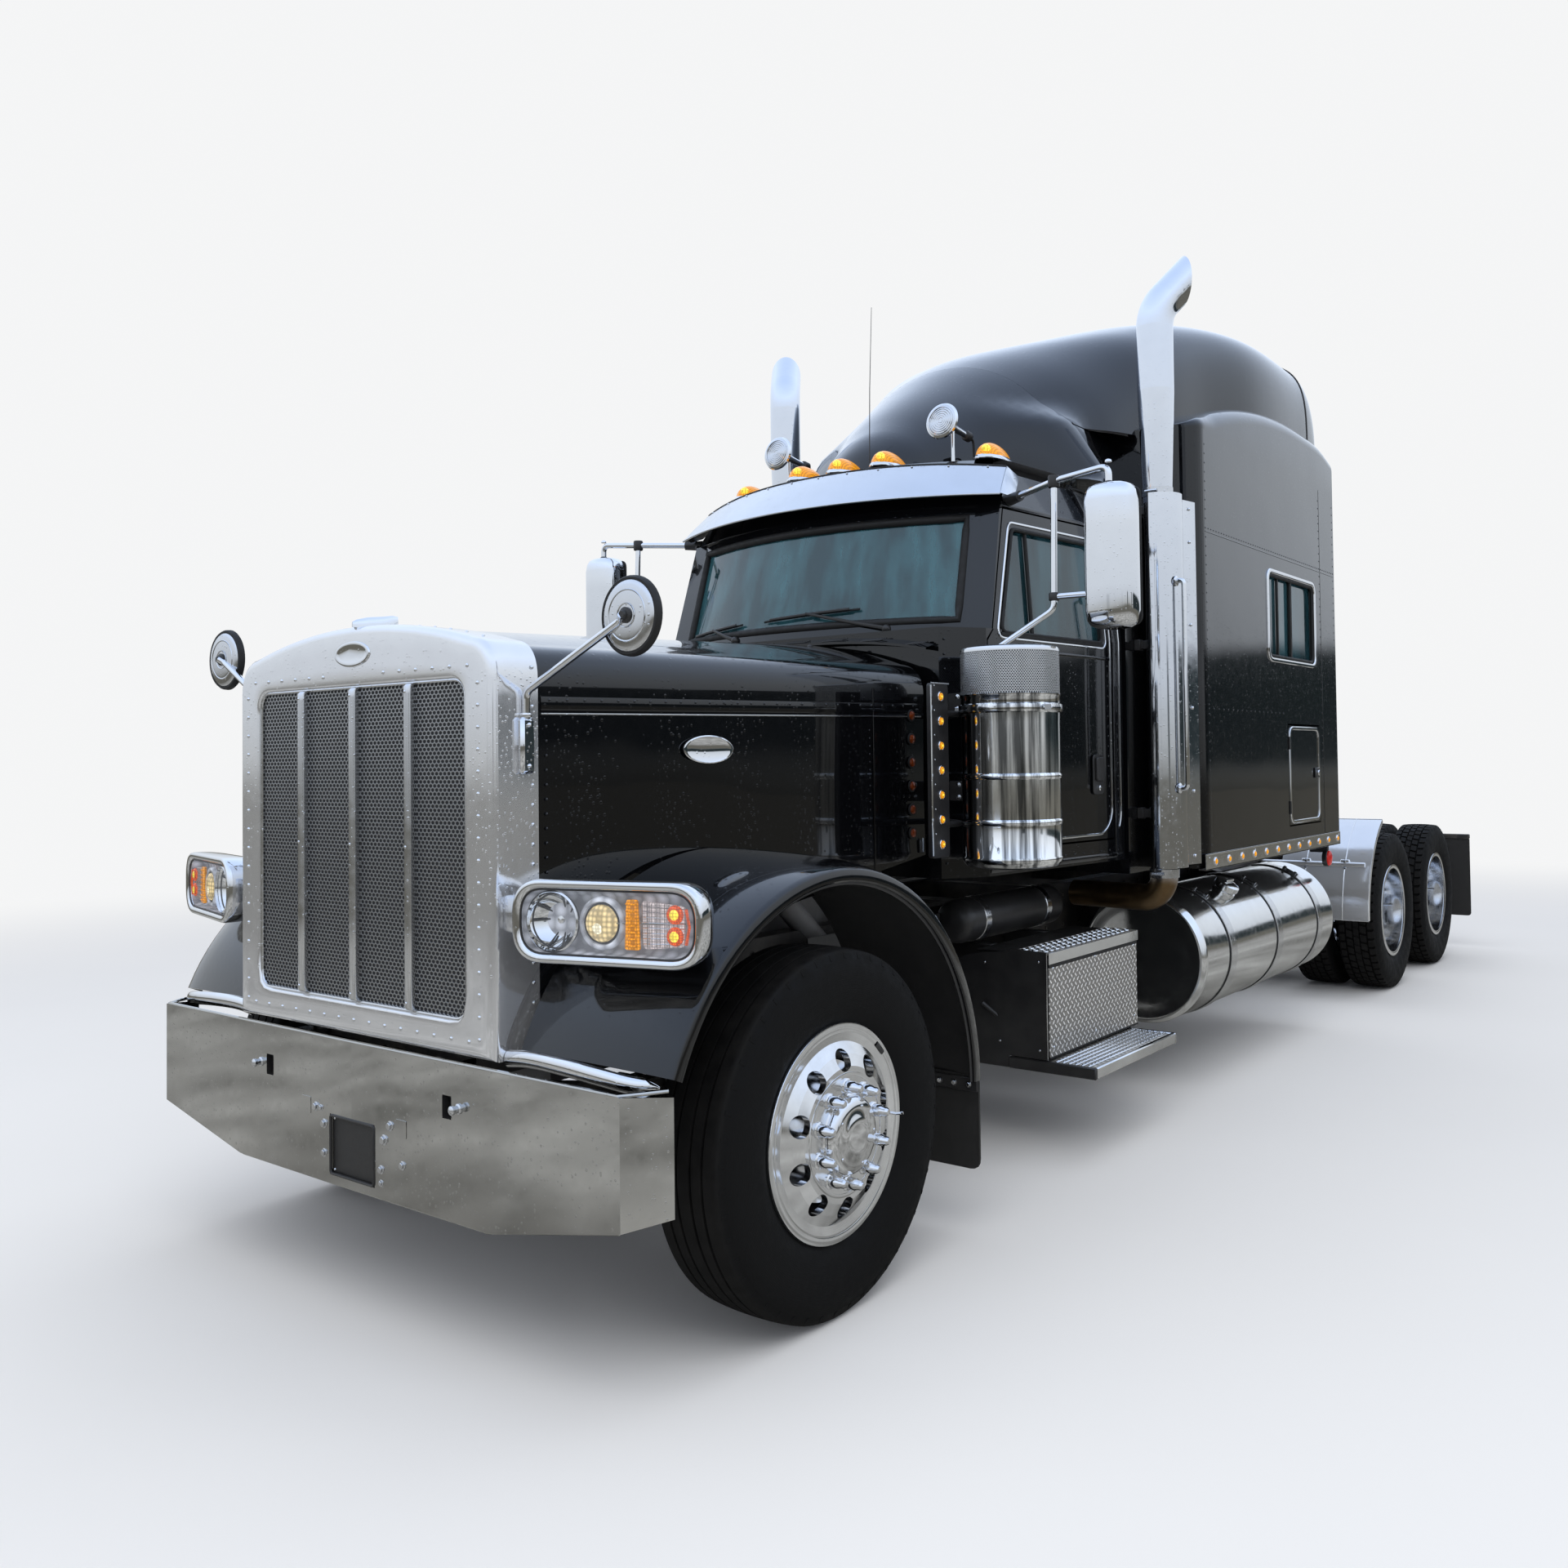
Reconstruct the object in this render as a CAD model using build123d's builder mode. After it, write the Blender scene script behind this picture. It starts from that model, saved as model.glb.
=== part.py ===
from build123d import *
import os
from math import atan2, cos, degrees, hypot, radians, sin

# Long-hood road tractor with a high-roof sleeper and two driven rear axles.
# Millimetres. +Z up, the front faces -Y, +X is the vehicle's left-hand side.
# Lengthwise places are stations, counted rearward from the front face of the bumper.

# ---------------------------------------------------------------- overall
LENGTH = 9940.0              # bumper face to the back of the mud flap hanger
BODY_HALF = 1219.0           # half the body width, 8 ft overall
WHEELBASE = 7336.0           # front axle to the middle of the rear pair
AXLE_F = 848.0               # station of the front axle
TANDEM = 1323.0              # spacing of the two rear axles
AXLE_1 = AXLE_F + WHEELBASE - TANDEM / 2
AXLE_2 = AXLE_F + WHEELBASE + TANDEM / 2

# ---------------------------------------------------------------- wheels
TYRE_R = 550.0
WHEEL_Z = TYRE_R
RIM_R = 308.0                # outside of the rim's barrel
FLANGE_R = 325.0
BARREL_HALF = 104.0          # half the width between the rim's flanges
FLANGE_T = 13.0
TYRE_HALF = 138.0
FRONT_X = 1096.0             # middle plane of a front tyre
DUAL_X = 880.5               # middle plane of a pair of rear tyres
DUAL_HALF_PITCH = 167.5
HAND_HOLE_R, HAND_HOLE_PCR = 33.0, 219.0
KINGPIN_X = 890.0

# ---------------------------------------------------------------- frame
RAIL_X, RAIL_FLANGE, RAIL_T = 432.0, 89.0, 9.0
RAIL_Z0, RAIL_Z1 = 745.0, 1012.0
RAIL_S0, RAIL_S1 = 130.0, 9700.0

# ---------------------------------------------------------------- cab and sleeper
CAB_FRONT, CAB_REAR = 2110.0, 3365.0
PILLAR_S = 2290.0
CAB_HALF_F, CAB_HALF_P, CAB_HALF_R = 790.0, 905.0, 1005.0
CAB_Z0, BELT_Z, EAVES_Z, CAB_TOP = 1190.0, 2200.0, 2740.0, 2990.0
WALL = 55.0
SLEEPER_F, SLEEPER_STEP, SLEEPER_R = 3400.0, 3800.0, 6045.0
SLEEPER_NECK = 1010.0
SLEEPER_Z0, SLEEPER_EAVES = 1120.0, 3283.0
SLEEPER_WALL = 45.0
NECK_TURN, NECK_TOP = 2880.0, 760.0      # the neck's sides lean in above the first, to the second at the top
CORNER_R = 90.0                          # upright front corners of the body

# ---------------------------------------------------------------- hood
SHELL_HALF, SHELL_DEPTH = 664.0, 165.0
SHELL_Z0, SHELL_SIDE_Z, SHELL_TOP = 846.0, 1985.0, 2099.0
HOOD_S0, HOOD_S1 = 174.0, 2040.0
ARCH_R, LIP_R = 748.0, 790.0


def st(s):
    """Y of a station."""
    return s - LENGTH / 2


def block(x0, x1, s0, s1, z0, z1, mode=Mode.ADD):
    """A box between two X, two stations and two heights."""
    with Locations(((x0 + x1) / 2, st((s0 + s1) / 2), (z0 + z1) / 2)):
        Box(abs(x1 - x0), abs(s1 - s0), abs(z1 - z0), mode=mode)


def slab_x(points, x0, x1, mode=Mode.ADD, r=0):
    """A (station, z) polygon carried from x0 to x1."""
    with BuildSketch(Plane.YZ.offset(x0)) as sk:
        with BuildLine():
            Polyline(*[(st(s), z) for s, z in points], close=True)
        make_face()
        if r:
            fillet(sk.vertices(), r)
    extrude(sk.sketch, amount=x1 - x0, mode=mode)


def slab_y(points, s0, s1, mode=Mode.ADD, r=0):
    """An (x, z) polygon carried from station s0 to s1."""
    with BuildSketch(Plane.XZ.offset(-st(s0))) as sk:
        with BuildLine():
            Polyline(*points, close=True)
        make_face()
        if r:
            fillet(sk.vertices(), r)
    extrude(sk.sketch, amount=-(s1 - s0), mode=mode)


def slab_z(points, z0, z1, mode=Mode.ADD, r=0):
    """An (x, station) polygon carried from z0 to z1."""
    with BuildSketch(Plane.XY.offset(z0)) as sk:
        with BuildLine():
            Polyline(*[(x, st(s)) for x, s in points], close=True)
        make_face()
        if r:
            fillet(sk.vertices(), r)
    extrude(sk.sketch, amount=z1 - z0, mode=mode)


def rod(p, q, r, mode=Mode.ADD):
    """A round bar between two (x, station, z) points."""
    a, b = Vector(p[0], st(p[1]), p[2]), Vector(q[0], st(q[1]), q[2])
    with BuildSketch(Plane(origin=a, z_dir=b - a)) as sk:
        Circle(r)
    extrude(sk.sketch, amount=(b - a).length, mode=mode)


def turned_x(profile, s, z, mode=Mode.ADD, arc=360, start=90):
    """A (x, radius) polygon turned about a crosswise line, from an angle above level rearward."""
    a = radians(start)
    with BuildSketch(Plane(origin=(0, st(s), z), x_dir=(1, 0, 0), z_dir=(0, -sin(a), cos(a)))) as sk:
        with BuildLine():
            Polyline(*profile, close=True)
        make_face()
    revolve(sk.sketch, axis=Axis((0, st(s), z), (1, 0, 0)), revolution_arc=arc, mode=mode)


def turned_z(profile, x, s, mode=Mode.ADD):
    """A (radius, z) polygon turned about an upright line."""
    with BuildSketch(Plane(origin=(x, st(s), 0), x_dir=(1, 0, 0), z_dir=(0, -1, 0))) as sk:
        with BuildLine():
            Polyline(*profile, close=True)
        make_face()
    revolve(sk.sketch, axis=Axis((x, st(s), 0), (0, 0, 1)), mode=mode)


def pipe(points, r, bend, mode=Mode.ADD):
    """A round tube's outside along straight runs joined by arcs of radius bend."""
    pts = [(x, st(s), z) for x, s, z in points]
    with BuildLine() as path:
        if len(pts) > 2:
            FilletPolyline(*pts, radius=bend)
        else:
            Polyline(*pts)
    with BuildSketch(Plane(origin=pts[0], z_dir=Vector(*pts[1]) - Vector(*pts[0]))) as sk:
        Circle(r)
    sweep(sk.sketch, path=path.line, mode=mode)


SIDES = (1, -1)
made = []


def keep(builder, label):
    builder.part.label = label
    made.append((builder.part, label))


# ================================================================ chassis
with BuildPart() as frame_rails:
    for side in SIDES:
        block(side * RAIL_X, side * (RAIL_X - RAIL_FLANGE), RAIL_S0, RAIL_S1, RAIL_Z0, RAIL_Z1)
        block(side * (RAIL_X - RAIL_T), side * (RAIL_X - RAIL_FLANGE - 1), RAIL_S0 - 1, RAIL_S1 + 1,
              RAIL_Z0 + RAIL_T, RAIL_Z1 - RAIL_T, Mode.SUBTRACT)
keep(frame_rails, "frame_rails")

# station, length along the frame, lowest z
CROSSMEMBERS = [(140, 60, 790), (2900, 120, 900), (3700, 90, 900), (5100, 90, 900), (6500, 90, 900),
                (8140, 90, 900), (9560, 120, 800)]
with BuildPart() as crossmembers:
    for s, ln, z in CROSSMEMBERS:
        block(-(RAIL_X - RAIL_T), RAIL_X - RAIL_T, s, s + ln, z, RAIL_Z1 - RAIL_T)
keep(crossmembers, "crossmembers")

# Bumper: one bright plate, its ends bent back, its lower corners cut away
BUMPER_T = 9.0
with BuildPart() as bumper:
    with BuildSketch(Plane.XY.offset(383)) as sk:
        with BuildLine():
            Polyline((-1219, st(142)), (-1162, st(6)), (0, st(0)), (1162, st(6)), (1219, st(142)),
                     (1209, st(146)), (1155, st(16)), (0, st(10)), (-1155, st(16)), (-1209, st(146)), close=True)
        make_face()
    extrude(sk.sketch, amount=445)
    for side in SIDES:
        slab_y([(side * 640, 380), (side * 1240, 380), (side * 1240, 500), (side * 1163, 486)], -20, 200, Mode.SUBTRACT)
        slab_y([(side * 1150, 830), (side * 1240, 800), (side * 1240, 840), (side * 1150, 840)], -20, 200, Mode.SUBTRACT)
    # tow hook openings and the central recess
    for x in (-465, 465):
        block(x - 20, x + 20, -20, 40, 668, 734, Mode.SUBTRACT)
    block(-118, 118, -20, 40, 410, 596, Mode.SUBTRACT)
    block(-130, 130, 10, 34, 398, 608)
    for side in SIDES:
        block(side * 343, side * 432, 10, 130, 700, 812)
keep(bumper, "bumper")

# Front axle: dropped beam with an upright boss at each end for the kingpin
BOSS_R, KINGPIN_R = 48.0, 22.0
with BuildPart() as front_axle:
    slab_y([(-850, 585), (-850, 505), (-640, 455), (-420, 425), (420, 425), (640, 455), (850, 505), (850, 585),
            (640, 560), (420, 520), (-420, 520), (-640, 560)], AXLE_F - 48, AXLE_F + 48)
    for side in SIDES:
        turned_z([(0, 490), (BOSS_R, 490), (BOSS_R, 600), (0, 600)], side * KINGPIN_X, AXLE_F)
        turned_z([(0, 489), (KINGPIN_R + 0.4, 489), (KINGPIN_R + 0.4, 601), (0, 601)], side * KINGPIN_X, AXLE_F, Mode.SUBTRACT)
keep(front_axle, "front_axle")

# Drive axles: banjo housing, tubes to the hubs
with BuildPart() as drive_axles:
    for s in (AXLE_1, AXLE_2):
        turned_x([(-560, 0), (-560, 75), (-330, 92), (-250, 200), (-60, 235), (60, 235), (250, 200), (330, 92),
                  (560, 75), (560, 0)], s, WHEEL_Z)
        turned_x([(-800, 0), (-800, 60), (-560, 60), (-560, 0)], s, WHEEL_Z)
        turned_x([(560, 0), (560, 60), (800, 60), (800, 0)], s, WHEEL_Z)
        with Locations((0, st(s - 250), WHEEL_Z + 30)):
            Cylinder(95, 220, rotation=(90, 0, 0))
keep(drive_axles, "drive_axles")

# Leaf springs on the front axle; walking beams and air springs at the rear
with BuildPart() as suspension:
    for side in SIDES:
        slab_x([(210, 690), (500, 610), (AXLE_F - 60, 526), (AXLE_F + 60, 526), (1200, 610), (1560, 690), (1560, 730),
                (1200, 660), (AXLE_F + 60, 600), (AXLE_F - 60, 600), (500, 660), (210, 730)], side * 350, side * 425)
        for s in (215, 1525):
            block(side * 350, side * 425, s, s + 35, 700, RAIL_Z0)
        for s in (AXLE_1, AXLE_2):
            block(side * 370, side * 470, s - 420, s + 330, 385, 440)
            block(side * 385, side * 455, s - 50, s + 50, 440, 457)
            block(side * 385, side * 425, s - 420, s - 370, 440, RAIL_Z0)
            with Locations((side * 420, st(s + 250), (440 + RAIL_Z0) / 2)):
                Cylinder(110, RAIL_Z0 - 440)
keep(suspension, "suspension")

# Engine block with the gearbox behind it, the propeller shafts, and the radiator ahead
with BuildPart() as powertrain:
    block(-300, 300, 520, 1950, 640, 1620)
    block(-230, 230, 1950, 2380, 620, 1060)
    block(-160, 160, 2380, 2860, 640, 1000)
    rod((0, 2860, 800), (0, AXLE_1 - 366, WHEEL_Z + 40), 55)
    rod((0, AXLE_1 + 240, WHEEL_Z + 60), (0, AXLE_2 - 366, WHEEL_Z + 40), 45)
keep(powertrain, "powertrain")

with BuildPart() as radiator:
    block(-335, 335, 235, 335, 820, 1040)
    block(-480, 480, 235, 335, 1020, 1940)
keep(radiator, "radiator")

# Fuel tanks: polished drums slung beside the rails
TANK_R, TANK_X, TANK_Z, TANK_S0, TANK_S1 = 330.0, 880.0, 667.0, 3811.0, 5936.0
with BuildPart() as tanks:
    for side in SIDES:
        with BuildSketch(Plane.XZ.offset(-st(TANK_S0))) as sk:
            with Locations((side * TANK_X, TANK_Z)):
                Circle(TANK_R)
        extrude(sk.sketch, amount=-(TANK_S1 - TANK_S0))
        for s in (4150, 4870, 5590):
            block(side * RAIL_X, side * (TANK_X - 200), s, s + 90, 760, 900)
        rod((side * 600, 2470, 965), (side * 600, 3380, 965), 95)
keep(tanks, "tanks")

# Step boxes under the doors: a tool or battery box with a tread on top and a lower step
STEP_S0, STEP_S1 = 2600.0, 3490.0
with BuildPart() as step_boxes:
    for side in SIDES:
        block(side * 660, side * 1000, STEP_S0, STEP_S1, 400, 850)
        block(side * 815, side * 1219, 2579, 3419, 352, 400)
        block(side * RAIL_X, side * 660, 2700, 3300, 760, 850)
keep(step_boxes, "step_boxes")

# ================================================================ cab
def cab_plan(z, inset, front, pillar, rear, s_mid, s_front, s_pillar):
    """One level of the cab's plan: bowed or flat front, bent corner, long side."""
    f, p, r = front - inset * 0.7, pillar - inset, rear - inset
    sm, sf, sp, sr = st(s_mid + inset), st(s_front + inset), st(s_pillar + inset * 0.6), st(CAB_REAR - inset)
    with BuildSketch(Plane.XY.offset(z)) as sk:
        with BuildLine():
            if s_mid == s_front:
                Line((-f, sf), (f, sf))
            else:
                ThreePointArc((-f, sf), (0, sm), (f, sf))
            Polyline((f, sf), (p, sp), (r, sr), (-r, sr), (-p, sp), (-f, sf))
        make_face()
    return sk.sketch


# z, half widths at front, pillar and rear, stations of the front's middle, its ends and the pillar
CAB_LOWER = [(CAB_Z0, 790, 905, 1005, 2110, 2110, PILLAR_S), (BELT_Z, 790, 905, 1005, 2110, 2110, PILLAR_S)]
CAB_UPPER = [(BELT_Z, 790, 905, 1005, 2118, 2312, 2335), (EAVES_Z, 770, 870, 965, 2262, 2452, 2480)]
LEDGE = 30.0


def cab_solid(inset, ledge, over):
    """The cab's lower and upper body, taken in by a wall's thickness."""
    with BuildPart() as solid:
        (za, *a), (zb, *b) = CAB_LOWER
        loft([cab_plan(za - over, inset, *a), cab_plan(zb - ledge, inset, *b)], ruled=True)
        (za, *a), (zb, *b) = CAB_UPPER
        loft([cab_plan(za - ledge, inset, *a), cab_plan(zb + over, inset, *b)], ruled=True)
    return solid.part


cab_outer = cab_solid(0, 0, 0)
cab_inner = cab_solid(WALL, LEDGE, 1)

# door outline in station and height
DOOR_LINE = [(2302, 1296), (3272, 1296), (3272, 2722), (2500, 2722), (2345, 2200), (2302, 2150)]
DOOR_GAP_LINE = [(2294, 1288), (3280, 1288), (3280, 2730), (2494, 2730), (2336, 2200), (2294, 2156)]
GLASS_LINE = [(2400, 2190), (3190, 2190), (3190, 2640), (2545, 2640)]

with BuildPart() as cab_wall:
    add(cab_outer)
    add(cab_inner, mode=Mode.SUBTRACT)
    for side in SIDES:
        slab_x(DOOR_GAP_LINE, side * 700, side * 1100, Mode.SUBTRACT)
    # windscreen
    slab_y([(-762, 2240), (762, 2240), (742, 2690), (-742, 2690)], 2050, 2560, Mode.SUBTRACT)
    # way through to the sleeper
    block(-450, 450, CAB_REAR - 150, CAB_REAR + 50, CAB_Z0 + 40, 2640, Mode.SUBTRACT)

with BuildPart() as cab_front:
    add(cab_wall.part)
    block(-800, 800, 2000, 2600, 1100, 2800, Mode.INTERSECT)
keep(cab_front, "cab_front")

with BuildPart() as cab_sides:
    add(cab_wall.part)
    block(-800, 800, 2000, 3400, 1100, 2800, Mode.SUBTRACT)
    block(-1100, 1100, CAB_REAR - WALL, CAB_REAR + 50, 1100, 2800, Mode.SUBTRACT)
keep(cab_sides, "cab_sides")

with BuildPart() as cab_back:
    add(cab_wall.part)
    block(-1100, 1100, CAB_REAR - WALL, CAB_REAR + 50, 1100, 2800, Mode.INTERSECT)
keep(cab_back, "cab_back")


def roof_plan(z, half, s_mid, s_end, s_rear):
    """One level of the roof: bowed front, straight sides."""
    with BuildSketch(Plane.XY.offset(z)) as sk:
        with BuildLine():
            ThreePointArc((-half, st(s_end)), (0, st(s_mid)), (half, st(s_end)))
            Polyline((half, st(s_end)), (half + 60, st(s_rear)), (-half - 60, st(s_rear)), (-half, st(s_end)))
        make_face()
    return sk.sketch


# z, half width at the front corner, stations of the front's middle and its ends
ROOF = [(EAVES_Z, 872, 2262, 2490), (2900, 830, 2352, 2590), (CAB_TOP, 690, 2470, 2690)]
with BuildPart() as cab_roof:
    for (za, *a), (zb, *b) in zip(ROOF, ROOF[1:]):
        loft([roof_plan(za, *a, CAB_REAR), roof_plan(zb, *b, CAB_REAR)], ruled=True)
    for (za, ha, ma, ea), (zb, hb, mb, eb), dz in ((ROOF[0], ROOF[1], 0), (ROOF[1], ROOF[2], 40)):
        loft([roof_plan(za - 1 if dz == 0 else za - 2, ha - 50, ma + 50, ea + 45, CAB_REAR - 45),
              roof_plan(zb - dz, hb - 50, mb + 50, eb + 45, CAB_REAR - 45)], ruled=True, mode=Mode.SUBTRACT)
keep(cab_roof, "cab_roof")

# Windscreen: one sheet of glass, bowed forward and leaning back
def pane(z, half, s_mid, s_end, thick):
    with BuildSketch(Plane.XY.offset(z)) as sk:
        with BuildLine():
            ThreePointArc((-half, st(s_end)), (0, st(s_mid)), (half, st(s_end)))
            Line((half, st(s_end)), (half, st(s_end + thick)))
            ThreePointArc((half, st(s_end + thick)), (0, st(s_mid + thick)), (-half, st(s_end + thick)))
            Line((-half, st(s_end + thick)), (-half, st(s_end)))
        make_face()
    return sk.sketch


with BuildPart() as windshield:
    loft([pane(2241, 760, 2142, 2322, 9), pane(2689, 741, 2266, 2441, 9)], ruled=True)
keep(windshield, "windshield")

with BuildPart() as dashboard:
    slab_x([(2290, 1950), (2330, 2150), (2520, 2150), (2620, 2080), (2620, 1800), (2480, 1760), (2290, 1760)], -780, 780)
    rod((430, 2600, 1995), (430, 2760, 2067), 28)
    with Locations(Location((430, st(2768), 2070), (66, 0, 0))):
        Torus(210, 16)
        Cylinder(45, 30)
        Box(410, 30, 12)
keep(dashboard, "dashboard")

with BuildPart() as seats:
    for x in (-480, 480):
        block(x - 250, x + 250, 2760, 3240, 1560, 1700)
        slab_x([(3130, 1700), (3240, 1700), (3300, 2380), (3210, 2380)], x - 240, x + 240)
        block(x - 150, x + 150, 2880, 3180, CAB_Z0 + 40, 1560)
keep(seats, "seats")

# Bright sun visor: a bowed sheet from the roof's brow down and forward
with BuildPart() as visor:
    loft([pane(2785, 905, 2182, 2420, 8), pane(2950, 850, 2396, 2636, 8)], ruled=True)
keep(visor, "visor")

# Roof horns: bell, tube and post
with BuildPart() as air_horns:
    for side in SIDES:
        rod((side * 480, 2640, 3190), (side * 480, 2672, 3190), 68)
        rod((side * 480, 2672, 3190), (side * 480, 2850, 3165), 17)
        rod((side * 480, 2730, CAB_TOP + 0.3), (side * 480, 2730, 3170), 10)
keep(air_horns, "air_horns")

# Mirrors on tube arms from the roof corner and the pillar's foot
with BuildPart() as mirrors:
    for side in SIDES:
        slab_z([(side * 1310, 2345), (side * 1520, 2300), (side * 1530, 2360), (side * 1470, 2430), (side * 1330, 2435)], 2165, 2735)
        pipe([(side * 888, 2530, 2762), (side * 1180, 2375, 2775), (side * 1420, 2365, 2800), (side * 1420, 2365, 2720)], 14, 45)
        pipe([(side * 1178, 2376, 2772), (side * 1178, 2360, 2260), (side * 925, 2262, 2085)], 13, 50)
        rod((side * 1178, 2362, 2310), (side * 1340, 2375, 2310), 12)
        block(side * 893, side * 930, 2248, 2270, 2050, 2110)
keep(mirrors, "mirrors")

# Air cleaners: bright drums at the cowl
with BuildPart() as air_cleaners:
    for side in SIDES:
        turned_z([(0, 1245), (150, 1245), (150, 1275), (188, 1280), (188, 2060), (170, 2088), (0, 2088)], side * 1130, 2080)
        block(side * 824, side * 960, 2118, 2150, 1500, 1580)
        block(side * 824, side * 960, 2118, 2150, 1850, 1930)
        block(side * 941, side * 1020, 1815, 1835, 1300, 1955)
        block(side * 925, side * 941, 1815, 2118, 1300, 1955)
keep(air_cleaners, "air_cleaners")

# Exhaust stacks with turned-out tips, and their bright guards
STACK_X, STACK_S, STACK_R, STACK_TOP_R = 1133.0, 3519.0, 63.0, 86.0
TIP = (1224.0, 3643.0, 3938.0)       # middle of the slanted mouth
TIP_ANGLE = degrees(atan2(TIP[1] - STACK_S, TIP[0] - STACK_X))
with BuildPart() as exhaust_stacks:
    for side in SIDES:
        x = side * STACK_X
        pipe([(side * 640, STACK_S + 60, 1000), (x, STACK_S, 1000), (x, STACK_S, 2700)], STACK_R, 110)
        for z, r, mode in ((2700, (STACK_R, STACK_TOP_R), Mode.ADD), (3100, (60, 81), Mode.SUBTRACT)):
            with BuildSketch(Plane.XY.offset(z)) as low:
                with Locations((x, st(STACK_S))):
                    Circle(r[0])
            with BuildSketch(Plane.XY.offset(3400)) as top:
                with Locations((x, st(STACK_S))):
                    Circle(r[1])
            loft([low.sketch, top.sketch], mode=mode)
        far = [(STACK_X + 2 * (TIP[0] - STACK_X)) * side, STACK_S + 2 * (TIP[1] - STACK_S), 3785 + 2 * 154]
        pipe([(x, STACK_S, 3400), (x, STACK_S, 3785), far], STACK_TOP_R, 200)
        pipe([(x, STACK_S, 3399), (x, STACK_S, 3785), far], STACK_TOP_R - 5, 200, Mode.SUBTRACT)
        with Locations(Location((side * TIP[0], st(TIP[1]), 4000), (0, 0, TIP_ANGLE if side > 0 else 180 - TIP_ANGLE))):
            Box(400, 600, 700, align=(Align.MIN, Align.CENTER, Align.CENTER), mode=Mode.SUBTRACT)
    # guards: half-round outside the pipe, with a flat flange behind
    for side in SIDES:
        with BuildSketch(Plane.XY.offset(1150)) as sk:
            with Locations((side * STACK_X, st(STACK_S))):
                Circle(112)
                Circle(106, mode=Mode.SUBTRACT)
                with Locations((-side * 60, 0)):
                    Rectangle(120, 300, mode=Mode.SUBTRACT)
            with BuildLine():
                Polyline((side * 1180, st(3611)), (side * 1212, st(3780)), (side * 1206, st(3782)), (side * 1176, st(3612)), close=True)
            make_face()
        extrude(sk.sketch, amount=1750)
keep(exhaust_stacks, "exhaust_stacks")

# ================================================================ sleeper
CORNER = [(BODY_HALF - CORNER_R * (1 - sin(radians(a))), SLEEPER_STEP + CORNER_R * (1 - cos(radians(a)))) for a in range(0, 91, 10)]

with BuildPart() as sleeper_wall:
    n, w = SLEEPER_NECK, BODY_HALF
    slab_z([(-n, SLEEPER_F), (n, SLEEPER_F), (n, SLEEPER_STEP)] + CORNER + [(w, SLEEPER_R), (-w, SLEEPER_R)]
           + [(-x, s) for x, s in reversed(CORNER)] + [(-n, SLEEPER_STEP)], SLEEPER_Z0, SLEEPER_EAVES)
    t = SLEEPER_WALL
    n, w = SLEEPER_NECK - t, BODY_HALF - t
    slab_z([(-n, SLEEPER_F + t), (n, SLEEPER_F + t), (n, SLEEPER_STEP + t), (w, SLEEPER_STEP + t), (w, SLEEPER_R - t),
            (-w, SLEEPER_R - t), (-w, SLEEPER_STEP + t), (-n, SLEEPER_STEP + t)], SLEEPER_Z0 - 1, SLEEPER_EAVES + 1, Mode.SUBTRACT)
    block(-450, 450, SLEEPER_F - 20, SLEEPER_F + 100, SLEEPER_Z0 + 110, 2680, Mode.SUBTRACT)
    for side in SIDES:
        block(side * 1100, side * 1300, 4800, 5612, 2205, 2675, Mode.SUBTRACT)
        block(side * 1100, side * 1300, 5094, 5674, 1263, 1844, Mode.SUBTRACT)
    # the neck's sides lean in to the raised roof, and the body's front wall closes the step this leaves
    lean = (SLEEPER_NECK - NECK_TOP) / (SLEEPER_EAVES - NECK_TURN)
    inner_top, inner_turn = NECK_TOP - t * (1 + lean ** 2) ** 0.5, NECK_TURN - 15
    for side in SIDES:
        slab_y([(side * SLEEPER_NECK, NECK_TURN), (side * (SLEEPER_NECK + 2), NECK_TURN), (side * (SLEEPER_NECK + 2), SLEEPER_EAVES + 1),
                (side * (NECK_TOP - lean), SLEEPER_EAVES + 1)], SLEEPER_F - 1, SLEEPER_STEP, Mode.SUBTRACT)
        slab_y([(side * n, inner_turn - 15), (side * SLEEPER_NECK, inner_turn - 15), (side * SLEEPER_NECK, NECK_TURN), (side * NECK_TOP, SLEEPER_EAVES),
                (side * inner_top, SLEEPER_EAVES), (side * n, inner_turn)], SLEEPER_F, SLEEPER_STEP)
        slab_y([(side * n, inner_turn - 15), (side * SLEEPER_NECK, inner_turn - 15), (side * SLEEPER_NECK, SLEEPER_EAVES),
                (side * inner_top, SLEEPER_EAVES), (side * n, inner_turn)], SLEEPER_STEP, SLEEPER_STEP + t)

with BuildPart() as sleeper_ends:
    add(sleeper_wall.part)
    block(-1300, 1300, SLEEPER_STEP + t, SLEEPER_R - t, 1000, 3400, Mode.SUBTRACT)
keep(sleeper_ends, "sleeper_ends")

with BuildPart() as sleeper_sides:
    add(sleeper_wall.part)
    block(-1300, 1300, SLEEPER_STEP + t, SLEEPER_R - t, 1000, 3400, Mode.INTERSECT)
keep(sleeper_sides, "sleeper_sides")

# cab floor and sleeper floor
with BuildPart() as floors:
    add(cab_inner)
    block(-1100, 1100, 2000, 3400, CAB_Z0, CAB_Z0 + 40, Mode.INTERSECT)
    slab_z([(-n, SLEEPER_F + t), (n, SLEEPER_F + t), (n, SLEEPER_STEP + t), (w, SLEEPER_STEP + t), (w, SLEEPER_R - t),
            (-w, SLEEPER_R - t), (-w, SLEEPER_STEP + t), (-n, SLEEPER_STEP + t)], SLEEPER_Z0, SLEEPER_Z0 + 50)
keep(floors, "floors")

with BuildPart() as sleeper_windows:
    for side in SIDES:
        block(side * (BODY_HALF - 30), side * (BODY_HALF - 24), 4800, 5612, 2205, 2675)
keep(sleeper_windows, "sleeper_windows")


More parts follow.
